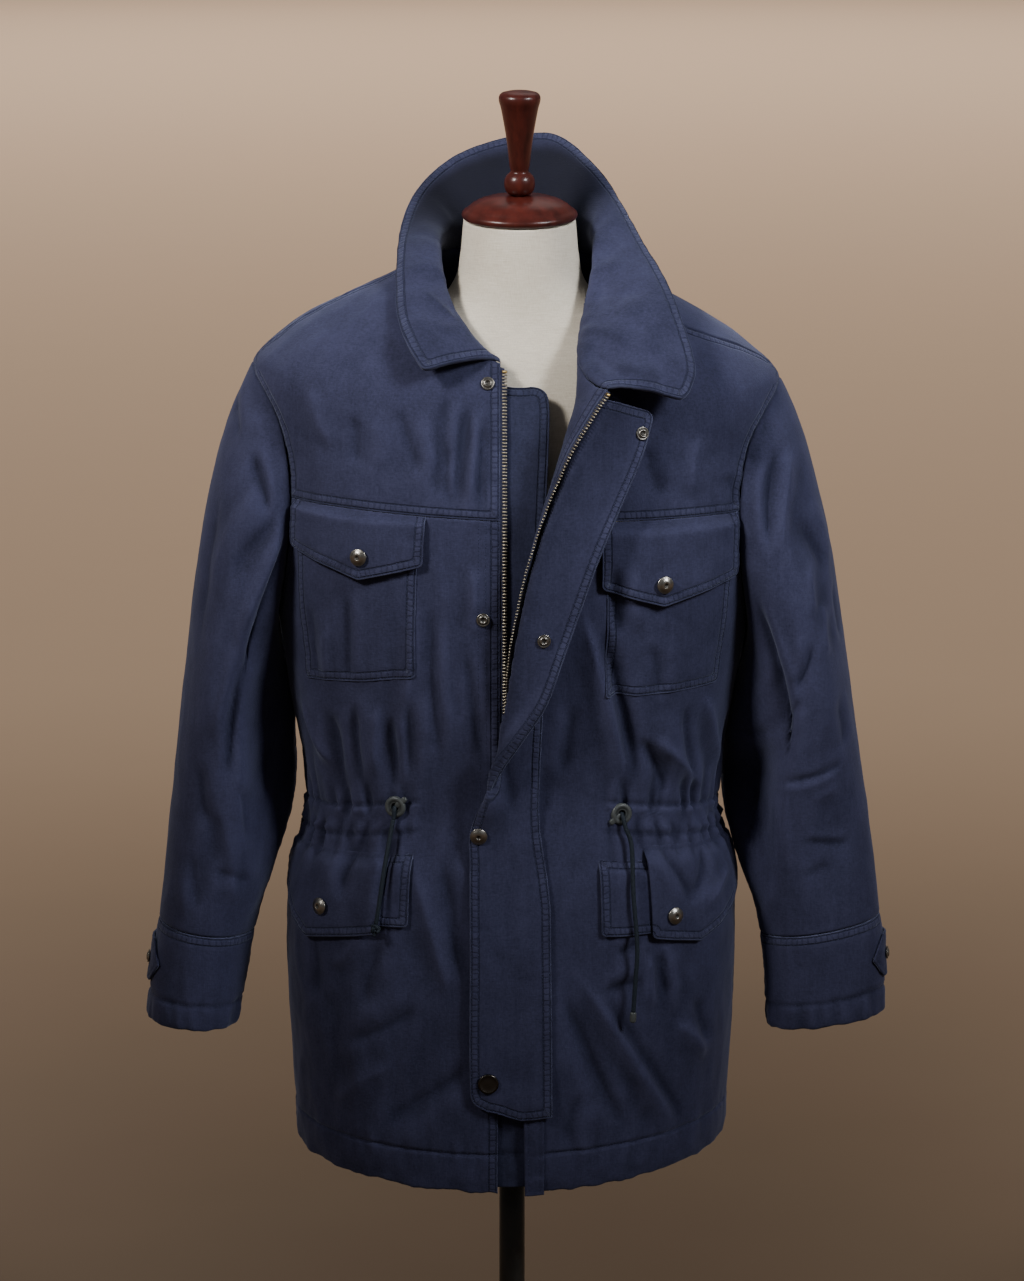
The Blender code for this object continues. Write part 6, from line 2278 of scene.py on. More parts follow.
@dataclass
class Closure:
    """Storm flap, wind guard, the zip's two sides and its end at the hem."""

    root: float = 0.030
    bottom_lift: float = 2.6 * MM
    pitch: float = 3.0 * MM
    tooth: Triple = (4.6 * MM, 1.75 * MM, 2.4 * MM)
    tooth_rings: Sequence[Triple] = (
        (-0.50, 0.46, 0.40), (0.25, 0.46, 0.40), (0.50, 0.30, 0.24),
    )
    stop_size: float = 1.5
    storm_ends: Pair = (0.658, 1.424)
    storm_share: float = 0.28
    guard_ends: Pair = (0.594, 1.419)
    tongue_ends: Pair = (0.588, 0.668)
    tongue_reach: float = 0.30
    tongue_wall: float = 2.0 * MM
    tape_depth: float = 1.6 * MM
    guard: Track = Track(*table("""
        height reach
         0.590 0.024
         0.700 0.026
         1.000 0.026
         1.180 0.030
         1.320 0.033
         1.385 0.034
         1.402 0.033
         1.419 0.030
    """))

    def __post_init__(self) -> None:
        """Find where the flap is sewn and the guard begins at each height."""
        self.guard_start = Tabled(lambda h: BODY.angle_at(GUARD_START, h), 0.585, NECK_HEIGHT)
        self.root_t = Tabled(self._root_t, 0.640, NECK_HEIGHT)
        self.start = Tabled(self._start, 0.640, NECK_HEIGHT)
        self.start_way = Tabled(lambda h: BODY.lapel_frame(h, np.ones_like(h))[1], 0.640, NECK_HEIGHT)

    def lift(self, height: Array) -> Array:
        """Gap between the left front and the flap: larger over the zip's end."""
        return SEAM_GAP + LAYER_GAP * 0.6 + self.bottom_lift * ease((0.70 - height) / 0.03)

    def _root_t(self, height: Array) -> Array:
        """Place on the left front where the flap's seam lies, 30 mm from the zip edge."""
        ts = np.linspace(1.0, 0.02, 99)
        line = np.stack([BODY.lapel(height, np.full(height.shape, t)) for t in ts])
        arcs = arc_lengths(line)
        return np.array([np.interp(self.root, arcs[:, k], ts) for k in range(len(height))])

    def _start(self, height: Array) -> Array:
        """Middle of the flap's wall at the zip edge."""
        point, _, normal = BODY.lapel_frame(height, np.ones_like(height))
        return point + normal * (self.lift(height) + STORM_WALL / 2)[..., None]

    def curve(self, height: Array, s: Array) -> Array:
        """Middle of the flap's wall from the zip edge (s = 0) to its free edge (s = 1)."""
        way = np.radians(STORM.at("end_deg", height))
        reach = STORM.at("reach", height)[..., None]
        end = stack(STORM.at("x", height), STORM.at("y", height), STORM.at("z", height))
        end_pull = stack(-np.cos(way), np.sin(way), 0.0) * reach
        return hermite(self.start(height), self.start_way(height) * reach, end, end_pull, s[..., None])

    def face(self, height: Array, s: Array) -> tuple[Array, Array]:
        """Middle of the wall and its normal."""
        height, s = alike(height, s)
        step = 0.01
        ahead = self.curve(height, s + step) - self.curve(height, s - step)
        up = self.curve(height + step / 2, s) - self.curve(height - step / 2, s)
        return self.curve(height, s), unit(np.cross(-ahead, up))

    def storm_surface(self, u: Array, v: Array) -> Skin:
        """Storm flap, its top corner rounded.

        Args:
            u: share of its width, from its seam to its free edge.
            v: share of its length, from the hem up.

        Returns:
            Points, normals and creases.
        """
        (low, high), share = self.storm_ends, self.storm_share
        height = lerp(low, high, v)
        cut = corner_cut(high - height, 0.014) / 0.060
        t = lerp(self.root_t(height), 1.0, np.clip(u / share, 0.0, 1.0))
        s = np.clip((u - share) / (1 - share), 0.0, 1.0) * (1 - cut)
        leg, _, leg_normal = BODY.lapel_frame(height, t)
        leg = leg + leg_normal * (self.lift(height) + STORM_WALL)[..., None]
        middle, normal = self.face(height, s)
        free = middle + normal * STORM_WALL / 2
        on_leg = u < share
        join = ease((u - share) / 0.10)[..., None]
        normal = unit(lerp(leg_normal, normal, join))
        points = np.where(on_leg[..., None], leg, free)
        across = BODY.lapel_across(height, t) - s * 0.06
        detail = BODY.detail(points, across, height, 0.9)
        return points, normal, detail * lerp(1.0, 0.7, s)

    def guard_surface(self, u: Array, v: Array) -> Skin:
        """Wind guard behind the zip, its top corner rounded."""
        low, high = self.guard_ends
        height = lerp(low, high, v)
        cut = corner_cut(high - height, 0.015)
        start = self.guard_start(height)
        reach = self.guard.at("reach", height) - cut
        end = BODY.angle_at(reach, height)
        points, normal = BODY.outer(lerp(start, end, u), height, -SHELL - LAYER_GAP)
        return points, normal, BODY.detail(points, lerp(start, end, u) * BODY_REACH, height, 0.7)

    def end_surface(self, u: Array, v: Array) -> Skin:
        """Tongue over the zip's end at the hem."""
        height = lerp(*self.tongue_ends, v)
        t = lerp(1.0, self.tongue_reach, u)
        point, _, normal = BODY.lapel_frame(height, t)
        points = point + normal * (SEAM_GAP + self.tongue_wall)
        return points, normal, BODY.detail(points, BODY.lapel_across(height, t), height, 0.8)

    def zip_frames(self, side: Side, height: Array) -> Skin:
        """Points of a front's edge, the way across toward the zip and the outward normals."""
        if side is Side.LEFT:
            return BODY.lapel_frame(height, np.ones_like(height))
        angle = BODY.zip_angle(height)
        point, normal = BODY.outer(angle, height)
        ahead, _ = BODY.outer(angle + 0.01, height)
        return point, unit(ahead - point), normal

    def tape_surface(self, side: Side) -> Surface:
        """One side's zip tape."""

        def surface(u: Array, v: Array) -> Skin:
            """Points, normals and creases of the tape."""
            height = lerp(ZIP_BOTTOM, ZIP_TOP, v)
            point, across, normal = self.zip_frames(side, height)
            way = lerp(-TAPE_UNDER, ZIP_WIDTH - TAPE_SHORT, u)[..., None]
            points = point + across * way - normal * self.tape_depth
            if side is Side.LEFT:
                detail = BODY.detail(point, BODY.lapel_across(height, np.ones_like(height)), height)
            else:
                detail = BODY.detail(point, BODY.zip_angle(height) * BODY_REACH, height)
            return points, normal, detail

        return surface

    def build_zip(self, side: Side) -> None:
        """One side of the zip: tape, teeth and top stop in one piece."""
        tape = self.tape_surface(side)
        heights = np.linspace(0.0, 1.0, 241)
        u, v = np.meshgrid(np.linspace(0, 1, 5), heights)
        base, normal, detail = tape(u, v)
        outer = base + normal * detail[..., None]
        inner = outer - normal * TAPE_WALL
        draft = Draft(Finish.INSIDE, Finish.BRASS, Finish.STOP)
        probe = np.cross(outer[5, 1] - outer[5, 0], outer[6, 0] - outer[5, 0]) @ normal[5, 0]
        flip = float(probe) < 0
        ring = np.concatenate([outer, inner[:, ::-1]], axis=1)
        draft.add(ring, ring_faces(*ring.shape[:2], flip=flip))
        self._teeth(draft, outer[:, -1], heights, side)
        draft.build(f"{side.word}_zip", [f"{side.word}_zip"])

    def _teeth(self, draft: Draft, line: Array, shares: Array, side: Side) -> None:
        """Teeth and the top stop along the tape's edge.

        Args:
            draft: the piece that takes them.
            line: points of the tape's edge.
            shares: how far up the tape each of them is, from 0 to 1.
            side: whose tape it is.
        """
        tape = self.tape_surface(side)
        places, arcs = resample(line, self.pitch)
        heights = np.interp(arcs, arc_lengths(line), shares)
        _, normal, _ = tape(np.ones_like(heights), heights)
        along = unit(np.gradient(places, axis=0))
        across = unit(np.cross(along, normal))
        _, way, _ = self.zip_frames(side, lerp(ZIP_BOTTOM, ZIP_TOP, heights))
        across = across * np.sign((across * way).sum(-1, keepdims=True))
        wide, tall, deep = self.tooth
        for index in range(1, len(places) - 1):
            top_stop = index == len(places) - 2
            size = self.stop_size if top_stop else 1.0
            centre = places[index] - normal[index] * (TAPE_WALL / 2)
            rings = []
            for x, half_y, half_z in self.tooth_rings:
                for sy, sz in ((-1, -1), (1, -1), (1, 1), (-1, 1)):
                    rings.append(
                        centre + across[index] * wide * x + along[index] * tall * size * half_y * sy
                        + normal[index] * deep * half_z * sz
                    )
            faces = [(0, 3, 2, 1), (8, 9, 10, 11), *ring_faces(3, 4, False)]
            if float(np.dot(np.cross(across[index], along[index]), normal[index])) < 0:
                faces = [face[::-1] for face in faces]
            draft.add(np.array(rings), faces, 2 if top_stop else 1, hollow=np.full(12, 0.15))

    def build(self) -> None:
        """Make the pieces of the closure."""
        edges = (Edge.DOUBLE, Edge.DOUBLE, Edge.DOUBLE, Edge.DOUBLE)
        Cloth("storm_flap", self.storm_surface, 3.0 * MM, STORM_WALL, edges, both=True).build()
        guard = (Edge.OPEN, Edge.DOUBLE, Edge.OPEN, Edge.DOUBLE)
        Cloth("wind_guard", self.guard_surface, 3.2 * MM, GUARD_WALL, guard, finish=Finish.INSIDE).build()
        tongue = (Edge.SINGLE, Edge.SINGLE, Edge.SINGLE, Edge.OPEN)
        Cloth("zip_end", self.end_surface, 2.4 * MM, self.tongue_wall, tongue).build()
        for side in Side:
            self.build_zip(side)


# ---------------------------------------------------------------- pockets and flaps


def pointed(low: Triple, point_at: float) -> list[Pair]:
    """Lower edge of a pointed flap, as share of its width and height."""
    return list(zip((0.0, point_at, 1.0), low))


@dataclass
class LaidPiece:
    """Piece of cloth on the front, between two angles and two edges."""

    name: str
    side: Side
    near: float
    far: float
    top: Pair
    low: Sequence[Pair]
    out: float
    thick: float
    lift: float = 0.0
    lap: float = 0.0
    edges: tuple[Edge, Edge, Edge, Edge] = (Edge.DOUBLE, Edge.DOUBLE, Edge.DOUBLE, Edge.OPEN)
    round_corner: float = 0.004
    sunk: bool = True

    def surface(self, u: Array, v: Array) -> Skin:
        """Outer face.

        Args:
            u: share of its width.
            v: share of its length, from the lower edge up.

        Returns:
            Points, normals and creases.
        """
        turn = lerp(self.near, self.far, u)
        top = lerp(self.top[0], self.top[1], u)
        places = np.array(self.low)
        bottom = np.interp(u, places[:, 0], places[:, 1])
        span = (self.far - self.near) * BODY_REACH
        bottom = bottom + corner_cut(np.minimum(u, 1 - u) * span, self.round_corner)
        height = lerp(bottom, top, v)
        away = self.out + self.thick
        away = away + self.lift * (1 - v) ** 2 * np.sin(math.pi * np.clip(u, 0.04, 0.96))
        away = away + self.lap * ease(1 - u / 0.3)
        if self.sunk:
            away = lerp(away, TOUCHING, ease((v - 0.80) / 0.20))
        return BODY.laid(self.side.value * turn, height, away)

    def build(self) -> None:
        """Make the piece."""
        Cloth(self.name, self.surface, 2.6 * MM, self.thick, self.edges).build()


@dataclass
class ChestPocket:
    """Patch pocket with a pointed flap on one side of the chest.

    The flap's lower edge is given at its inner end, its point and its outer end.
    """

    side: Side
    inner: float
    flap_low: Triple
    point_at: float
    pocket: Sequence[Pair]
    outer: float = math.radians(68.5)
    out: float = 2 * LAYER_GAP + POCKET_WALL
    under: float = 6 * MM
    inset: Pair = (math.radians(2), math.radians(1))
    snap_rise: float = 0.021

    def near(self) -> float:
        """Angle off the centre front at which the flap begins."""
        return abs(float(BODY.angle_at(self.side.value * self.inner, ARMHOLE_MIDDLE)))

    def build(self) -> None:
        """Make the pocket and its flap."""
        word = self.side.word
        near = self.near()
        top = ARMHOLE_MIDDLE - self.under
        LaidPiece(
            f"{word}_chest_pocket", self.side, near + self.inset[0], self.outer - self.inset[1],
            (top, top), self.pocket, TOUCHING, PATCH_WALL, sunk=False,
        ).build()
        LaidPiece(
            f"{word}_chest_flap", self.side, near, self.outer, (ARMHOLE_MIDDLE, ARMHOLE_MIDDLE),
            pointed(self.flap_low, self.point_at), self.out, FLAP_WALL, FLAP_LIFT,
        ).build()

    def snap_place(self) -> tuple[Array, Array]:
        """Seat and direction of the flap's snap."""
        phi = self.side.value * lerp(self.near(), self.outer, self.point_at)
        out = self.out + FLAP_WALL + FLAP_LIFT + SEAM_GAP
        return BODY.outer(np.array(phi), np.array(self.flap_low[1] + self.snap_rise), out)


@dataclass
class LowerPocket:
    """Lower pocket's flap and the tongue that shows beside it.

    The flap's lower edge is given at its inner end, its point and its outer end, and the
    tongue as the x of its inner edge and the heights of its top and bottom.
    """

    side: Side
    ends_deg: Pair
    top: Pair
    flap_low: Triple
    point_at: float
    tongue: Triple
    snap: Pair
    gap: float = 1.8 * MM
    under: float = math.radians(2)
    tongue_height: float = 0.86

    def build(self) -> None:
        """Make the flap and the tongue."""
        word = self.side.word
        near, far = (math.radians(end) for end in self.ends_deg)
        edges = (Edge.OPEN, Edge.OPEN, Edge.DOUBLE, Edge.SINGLE)
        LaidPiece(
            f"{word}_lower_flap", self.side, near, far, self.top, pointed(self.flap_low, self.point_at),
            self.gap, FLAP_WALL, FLAP_LIFT, LAYER_GAP + FLAP_WALL, edges,
        ).build()
        inner, top, bottom = self.tongue
        inner_angle = abs(float(BODY.angle_at(inner, self.tongue_height)))
        edges = (Edge.DOUBLE, Edge.OPEN, Edge.DOUBLE, Edge.DOUBLE)
        LaidPiece(
            f"{word}_lower_tongue", self.side, inner_angle, near + self.under, (top, top),
            [(0.0, bottom), (1.0, bottom)], self.gap, FLAP_WALL, 0.0, 0.0, edges,
        ).build()

    def snap_place(self) -> tuple[Array, Array]:
        """Seat and direction of the flap's snap."""
        x, height = self.snap
        out = self.gap + FLAP_WALL + FLAP_LIFT + SEAM_GAP
        return BODY.outer(BODY.angle_at(x, height), np.array(height), out)


# ---------------------------------------------------------------- snaps, cords and locks


class SnapKind(Enum):
    """Profiles of the snaps, as radius, rise and depth in a hollow."""

    CAP = (
        (0.0072, 0.0000, 0.7), (0.0079, 0.0003, 0.4), (0.0081, 0.0008, 0.1), (0.0080, 0.0013, 0.0),
        (0.0076, 0.0017, 0.1), (0.0072, 0.0018, 0.5), (0.0068, 0.0020, 0.2), (0.0060, 0.0025, 0.0),
        (0.0050, 0.0030, 0.0), (0.0038, 0.0034, 0.0), (0.0026, 0.0036, 0.0), (0.0020, 0.0035, 0.2),
        (0.0016, 0.0030, 1.0), (0.0012, 0.0024, 1.0), (0.0007, 0.0023, 0.9), (0.0002, 0.0023, 0.9),
    )
    DISC = (
        (0.0088, 0.0000, 0.7), (0.0094, 0.0003, 0.4), (0.0097, 0.0008, 0.1), (0.0096, 0.0014, 0.0),
        (0.0089, 0.0020, 0.0), (0.0080, 0.0022, 0.0), (0.0074, 0.0020, 0.5), (0.0068, 0.0017, 0.8),
        (0.0050, 0.0016, 0.6), (0.0030, 0.0016, 0.6), (0.0015, 0.0017, 0.5), (0.0004, 0.0017, 0.5),
    )
    SMALL = (
        (0.0054, 0.0000, 0.6), (0.0060, 0.0003, 0.2), (0.0062, 0.0008, 0.0), (0.0060, 0.0013, 0.0),
        (0.0054, 0.0015, 0.2), (0.0048, 0.0010, 1.0), (0.0042, 0.0011, 0.8), (0.0037, 0.0021, 0.1),
        (0.0031, 0.0026, 0.0), (0.0025, 0.0024, 0.2), (0.0020, 0.0014, 1.0), (0.0012, 0.0011, 1.0),
        (0.0004, 0.0011, 1.0),
    )


@dataclass
class Snap:
    """Metal snap on the cloth."""

    name: str
    kind: SnapKind
    point: Array
    normal: Array
    finish: Finish = Finish.PEWTER

    def build(self) -> None:
        """Make the snap."""
        draft = Draft(self.finish)
        rows = self.kind.value
        profile = [(radius, rise) for radius, rise, _ in rows]
        seat = facing(self.point, self.normal)
        turned(draft, profile, SNAP_SIDES, seat, 0, [deep for *_, deep in rows])
        draft.build(self.name, [self.name])


def tube(
    draft: Draft, line: Array, radius: float, kind: int = 0, sides: int = 20, braid: float = 0.0,
) -> None:
    """Add a round cord along a line.

    Args:
        draft: the piece that takes it.
        line: points of its centreline.
        radius: half its thickness.
        kind: which finish it takes.
        sides: number of sides.
        braid: depth of the braid's pattern, as a share of the radius.
    """
    way = unit(np.gradient(line, axis=0))
    side = unit(np.cross(way[0], np.array([0.3, 0.9, 0.2])))
    turn = round_turn(sides)
    arcs = arc_lengths(line)
    rings = []
    for point, ahead, run in zip(line, way, arcs):
        side = unit(side - ahead * float(side @ ahead))
        other = np.cross(ahead, side)
        lay = run * 900.0
        crest = np.maximum(np.cos(5 * turn + lay), np.cos(5 * turn - lay))
        size = radius * (1 - braid + braid * crest)[:, None]
        rings.append(point + size * (np.cos(turn)[:, None] * side + np.sin(turn)[:, None] * other))
    draft.add(np.concatenate(rings), ring_faces(len(line), sides), kind)


def bend(start: Array, start_pull: Array, end: Array, end_pull: Array, count: int) -> Array:
    """Points along a cubic bend."""
    t = np.linspace(0, 1, count)[:, None]
    return hermite(start, start_pull, end, end_pull, t)


@dataclass
class WaistCord:
    """Free tail of the waist drawcord, the lock it leaves and what is at its end."""

    side: Side
    rows: Sequence[Pair]
    out: float
    lock: Triple
    knotted: bool
    radius: float = 2.1 * MM
    lock_gap: float = 0.6 * MM
    lug: Triple = (0.0075, 0.0068, 0.0027)
    knot: Triple = (2.3 * MM, 1.1 * MM, 1.5 * MM)
    knot_below: float = 4.6 * MM
    tip: Sequence[Pair] = (
        (0.0019, 0.0000), (0.0024, 0.0002), (0.0028, 0.0008), (0.0030, 0.0018), (0.0030, 0.0082),
        (0.0028, 0.0092), (0.0022, 0.0098), (0.0012, 0.0100),
    )
    rim: Sequence[Triple] = (
        (0.0094, 0.0, 0.6), (0.0100, 0.0006, 0.2), (0.0102, 0.0014, 0.0), (0.0100, 0.0024, 0.0),
        (0.0093, 0.0033, 0.0), (0.0083, 0.0038, 0.0), (0.0072, 0.0038, 0.1), (0.0063, 0.0034, 0.4),
        (0.0056, 0.0029, 0.8), (0.0050, 0.0028, 0.7), (0.0044, 0.0030, 0.3), (0.0039, 0.0028, 0.4),
        (0.0036, 0.0020, 1.0), (0.0035, 0.0006, 1.0),
    )

    def route(self) -> Array:
        """Evenly spaced points along the tail."""
        xs = np.array([row[0] for row in self.rows])
        zs = np.array([row[1] for row in self.rows])
        phi, height = BODY.front_place(xs, zs)
        out = BODY.even_relief(phi, height) + self.out
        knots = BODY.shape(phi, height) + BODY.normal(phi, height) * out[..., None]
        dense = []
        for i in range(len(knots) - 1):
            pull_a = (knots[i + 1] - knots[max(i - 1, 0)]) / 2
            pull_b = (knots[min(i + 2, len(knots) - 1)] - knots[i]) / 2
            t = (np.arange(20) / 20)[:, None]
            dense.append(hermite(knots[i], pull_a, knots[i + 1], pull_b, t))
        return np.concatenate(dense + [knots[-1:]])

    def lock_place(self) -> Array:
        """Matrix of the lock's seat."""
        x, z, _ = self.lock
        phi, height = BODY.front_place(np.array(x), np.array(z))

        def at(phi: Array, height: Array) -> tuple[Array, Array]:
            """Points and normals of the body with its even folds."""
            normal = BODY.normal(phi, height)
            return BODY.shape(phi, height) + normal * BODY.even_relief(phi, height)[..., None], normal

        middle, way = at(phi, height)
        turn = round_turn(14)
        reach = np.array([0.5, 1.0])[:, None] * self.rim[2][0]
        around, _ = at(*BODY.front_place(x + reach * np.cos(turn), z + reach * np.sin(turn)))
        crest = max(0.0, float(((around - middle) @ way).max()))
        return facing(middle + way * (crest + self.lock_gap), way)

    def build(self) -> None:
        """Make the lock, the tail and its end."""
        word = self.side.word
        place = self.lock_place()
        line = self.route()
        draft = Draft(Finish.LOCK, Finish.CORD)
        profile = [(radius, rise) for radius, rise, _ in self.rim]
        turned(draft, profile, SNAP_SIDES, place, 0, [deep for *_, deep in self.rim])
        turn = math.radians(self.lock[2])
        self._lug(draft, place, turn)
        up = place[:3, 2]
        hole = place[:3, 3] + up * 0.8 * MM
        ahead = unit(line[1] - line[0])
        stub = bend(hole, up * 0.016, line[0] - ahead * 0.2 * MM, ahead * 0.014, 26)
        tube(draft, stub, self.radius, 1, 16, 0.08)
        draft.build(f"{word}_cord_lock", [f"{word}_toggle"])
        fine, _ = resample(line, 0.9 * MM)
        draft = Draft(Finish.CORD)
        tube(draft, fine, self.radius, 0, 24, 0.09)
        tail = draft.build(f"{word}_waist_cord", [f"{word}_cord"])
        end = self._end(fine, f"{word}_cord_tip")
        length = float(arc_lengths(line)[-1])

    def _lug(self, draft: Draft, place: Array, turn: float) -> None:
        """Rounded lug at the ring's rim."""
        outline = np.linspace(0, 2 * math.pi, 25)[:-1]
        centre, half_long, half_wide = self.lug
        x = centre + half_long * np.sign(np.cos(outline)) * np.abs(np.cos(outline)) ** 0.5
        y = half_wide * np.sign(np.sin(outline)) * np.abs(np.sin(outline)) ** 0.6
        c, s = math.cos(turn), math.sin(turn)
        rings = []
        for share, rise in ((0.92, 0.0002), (1.0, 0.0008), (1.0, 0.0024), (0.94, 0.0030), (0.82, 0.0033)):
            px, py = centre + (x - centre) * share, y * share
            rings.append(stack(px * c - py * s, px * s + py * c, rise))
        points = np.concatenate(rings) @ place[:3, :3].T + place[:3, 3]
        draft.add(points, ring_faces(len(rings), len(outline)))

    def _end(self, line: Array, name: str) -> Any:
        """Make the knot or the moulded tip.

        Args:
            line: points of the tail.
            name: the piece's name.

        Returns:
            The object.
        """
        way = unit(line[-1] - line[-3])
        side = unit(np.cross(way, np.array([0.0, 1.0, 0.2])))
        other = np.cross(way, side)
        start = line[-1] + way * 0.4 * MM
        draft = Draft(Finish.CORD, Finish.LOCK)
        if self.knotted:
            t = np.linspace(0, 2 * math.pi, 72)[:-1] + 0.6
            ring, swing, rise = self.knot
            big = ring + swing * np.cos(3 * t)
            loop = start + way * self.knot_below + (big * np.cos(2 * t))[:, None] * side
            loop = loop + (big * np.sin(2 * t))[:, None] * way + (rise * np.sin(3 * t))[:, None] * other
            tube(draft, loop, 1.75 * MM, 0, 14, 0.08)
            last = bend(start + way * 6.5 * MM, way * 4 * MM, start + way * 11 * MM, way * 3 * MM, 9)
            tube(draft, last, 1.9 * MM, 0, 16, 0.10)
        else:
            turned(draft, self.tip, 32, facing(start, way), 1)
        return draft.build(name, [name.replace("_tip", "_end")])


# ---------------------------------------------------------------- dress form and stand


@dataclass
class DressForm:
    """Limbless dress form with a turned neck cap, finial, pole and base."""

    shift: float = 0.0070
    neck_radius: float = 0.0520
    neck_lean: float = math.radians(-6)
    neck_height: float = 1.4690
    rings: Track = Track(*table("""
        height half_width  depth
         0.715     0.1200 0.0800
         0.722     0.1500 0.1020
         0.780     0.1660 0.1120
         0.860     0.1580 0.1060
         0.940     0.1400 0.0960
         1.020     0.1460 0.1030
         1.100     0.1600 0.1120
         1.180     0.1700 0.1140
         1.250     0.1760 0.1040
         1.310     0.1740 0.0900
         1.345     0.1540 0.0780
         1.372     0.1120 0.0660
         1.392     0.0780 0.0600
         1.415     0.0600 0.0570
         1.440     0.0545 0.0545
    """))
    stretches: Sequence[tuple[float, float, int]] = (
        (0.715, 0.722, 6), (0.722, 1.310, 90), (1.310, 1.440, 45),
    )
    sides: int = 112
    pole: Sequence[Pair] = ((0.0125, 0.0264), (0.0125, 0.7146))
    base: Sequence[Pair] = (
        (0.1680, 0.0), (0.1700, 0.0020), (0.1700, 0.0160), (0.1692, 0.0184), (0.1670, 0.0204),
        (0.1640, 0.0226), (0.1605, 0.0250), (0.1570, 0.0260), (0.0300, 0.0260), (0.0140, 0.0260),
    )
    cap: Sequence[Pair] = (
        (0.0470, 0.0005), (0.0515, 0.0012), (0.0532, 0.0028), (0.0538, 0.0048), (0.0533, 0.0068),
        (0.0515, 0.0085), (0.0494, 0.0094), (0.0478, 0.0112), (0.0445, 0.0142), (0.0385, 0.0174),
        (0.0310, 0.0198), (0.0220, 0.0216), (0.0150, 0.0226), (0.0090, 0.0228),
    )
    finial: Sequence[Pair] = (
        (0.0080, 0.0229), (0.0106, 0.0240), (0.0128, 0.0268), (0.0140, 0.0302), (0.0143, 0.0340),
        (0.0138, 0.0378), (0.0124, 0.0408), (0.0104, 0.0428), (0.0088, 0.0440), (0.0082, 0.0452),
        (0.0085, 0.0468), (0.0092, 0.0492), (0.0100, 0.0560), (0.0113, 0.0680), (0.0130, 0.0800),
        (0.0151, 0.0920), (0.0170, 0.1020), (0.0180, 0.1060), (0.0188, 0.1085), (0.0193, 0.1110),
        (0.0192, 0.1136), (0.0184, 0.1156), (0.0166, 0.1172), (0.0120, 0.1184), (0.0060, 0.1189),
    )

    def neck_place(self) -> Array:
        """Matrix of the neck's top."""
        pivot = Matrix.Translation(Vector((self.shift, 0.0, self.neck_height)))
        return np.array(pivot @ Matrix.Rotation(-self.neck_lean, 4, "X"))

    def build(self) -> None:
        """Make the form and its stand."""
        heights = np.unique(np.concatenate([np.linspace(*stretch) for stretch in self.stretches]))
        turn = round_turn(self.sides)
        width = self.rings.at("half_width", heights)[:, None]
        depth = self.rings.at("depth", heights)[:, None]
        shift = (self.shift * ease((heights - 1.30) / 0.1))[:, None]
        body = stack(width * np.sin(turn) + shift, -depth * np.cos(turn), heights[:, None])
        place = self.neck_place()
        flat = stack(self.neck_radius * np.sin(turn), -self.neck_radius * np.cos(turn), 0.0)
        top = flat @ place[:3, :3].T + place[:3, 3]
        neck = [lerp(body[-1], top, t) for t in np.linspace(0, 1, 14)[1:]]
        inset = [lerp(top, top.mean(axis=0), share) for share in (0.015, 0.05)]
        rings = np.concatenate([body, neck, inset])
        draft = Draft(Finish.LINEN)
        draft.add(rings, ring_faces(*rings.shape[:2]))
        draft.build("dress_form_cover", ["form_torso"])
        upright = np.eye(4)
        for name, node, finish, profile, sides, seat in (
            ("neck_cap", "form_cap", Finish.WOOD, self.cap, 72, place),
            ("neck_finial", "form_finial", Finish.WOOD, self.finial, 72, place),
            ("stand_pole", "form_pole", Finish.STAND, self.pole, 40, upright),
            ("stand_base", "form_base", Finish.STAND, self.base, 96, upright),
        ):
            draft = Draft(finish)
            turned(draft, profile, sides, seat)
            draft.build(name, [node])


# ---------------------------------------------------------------- studio


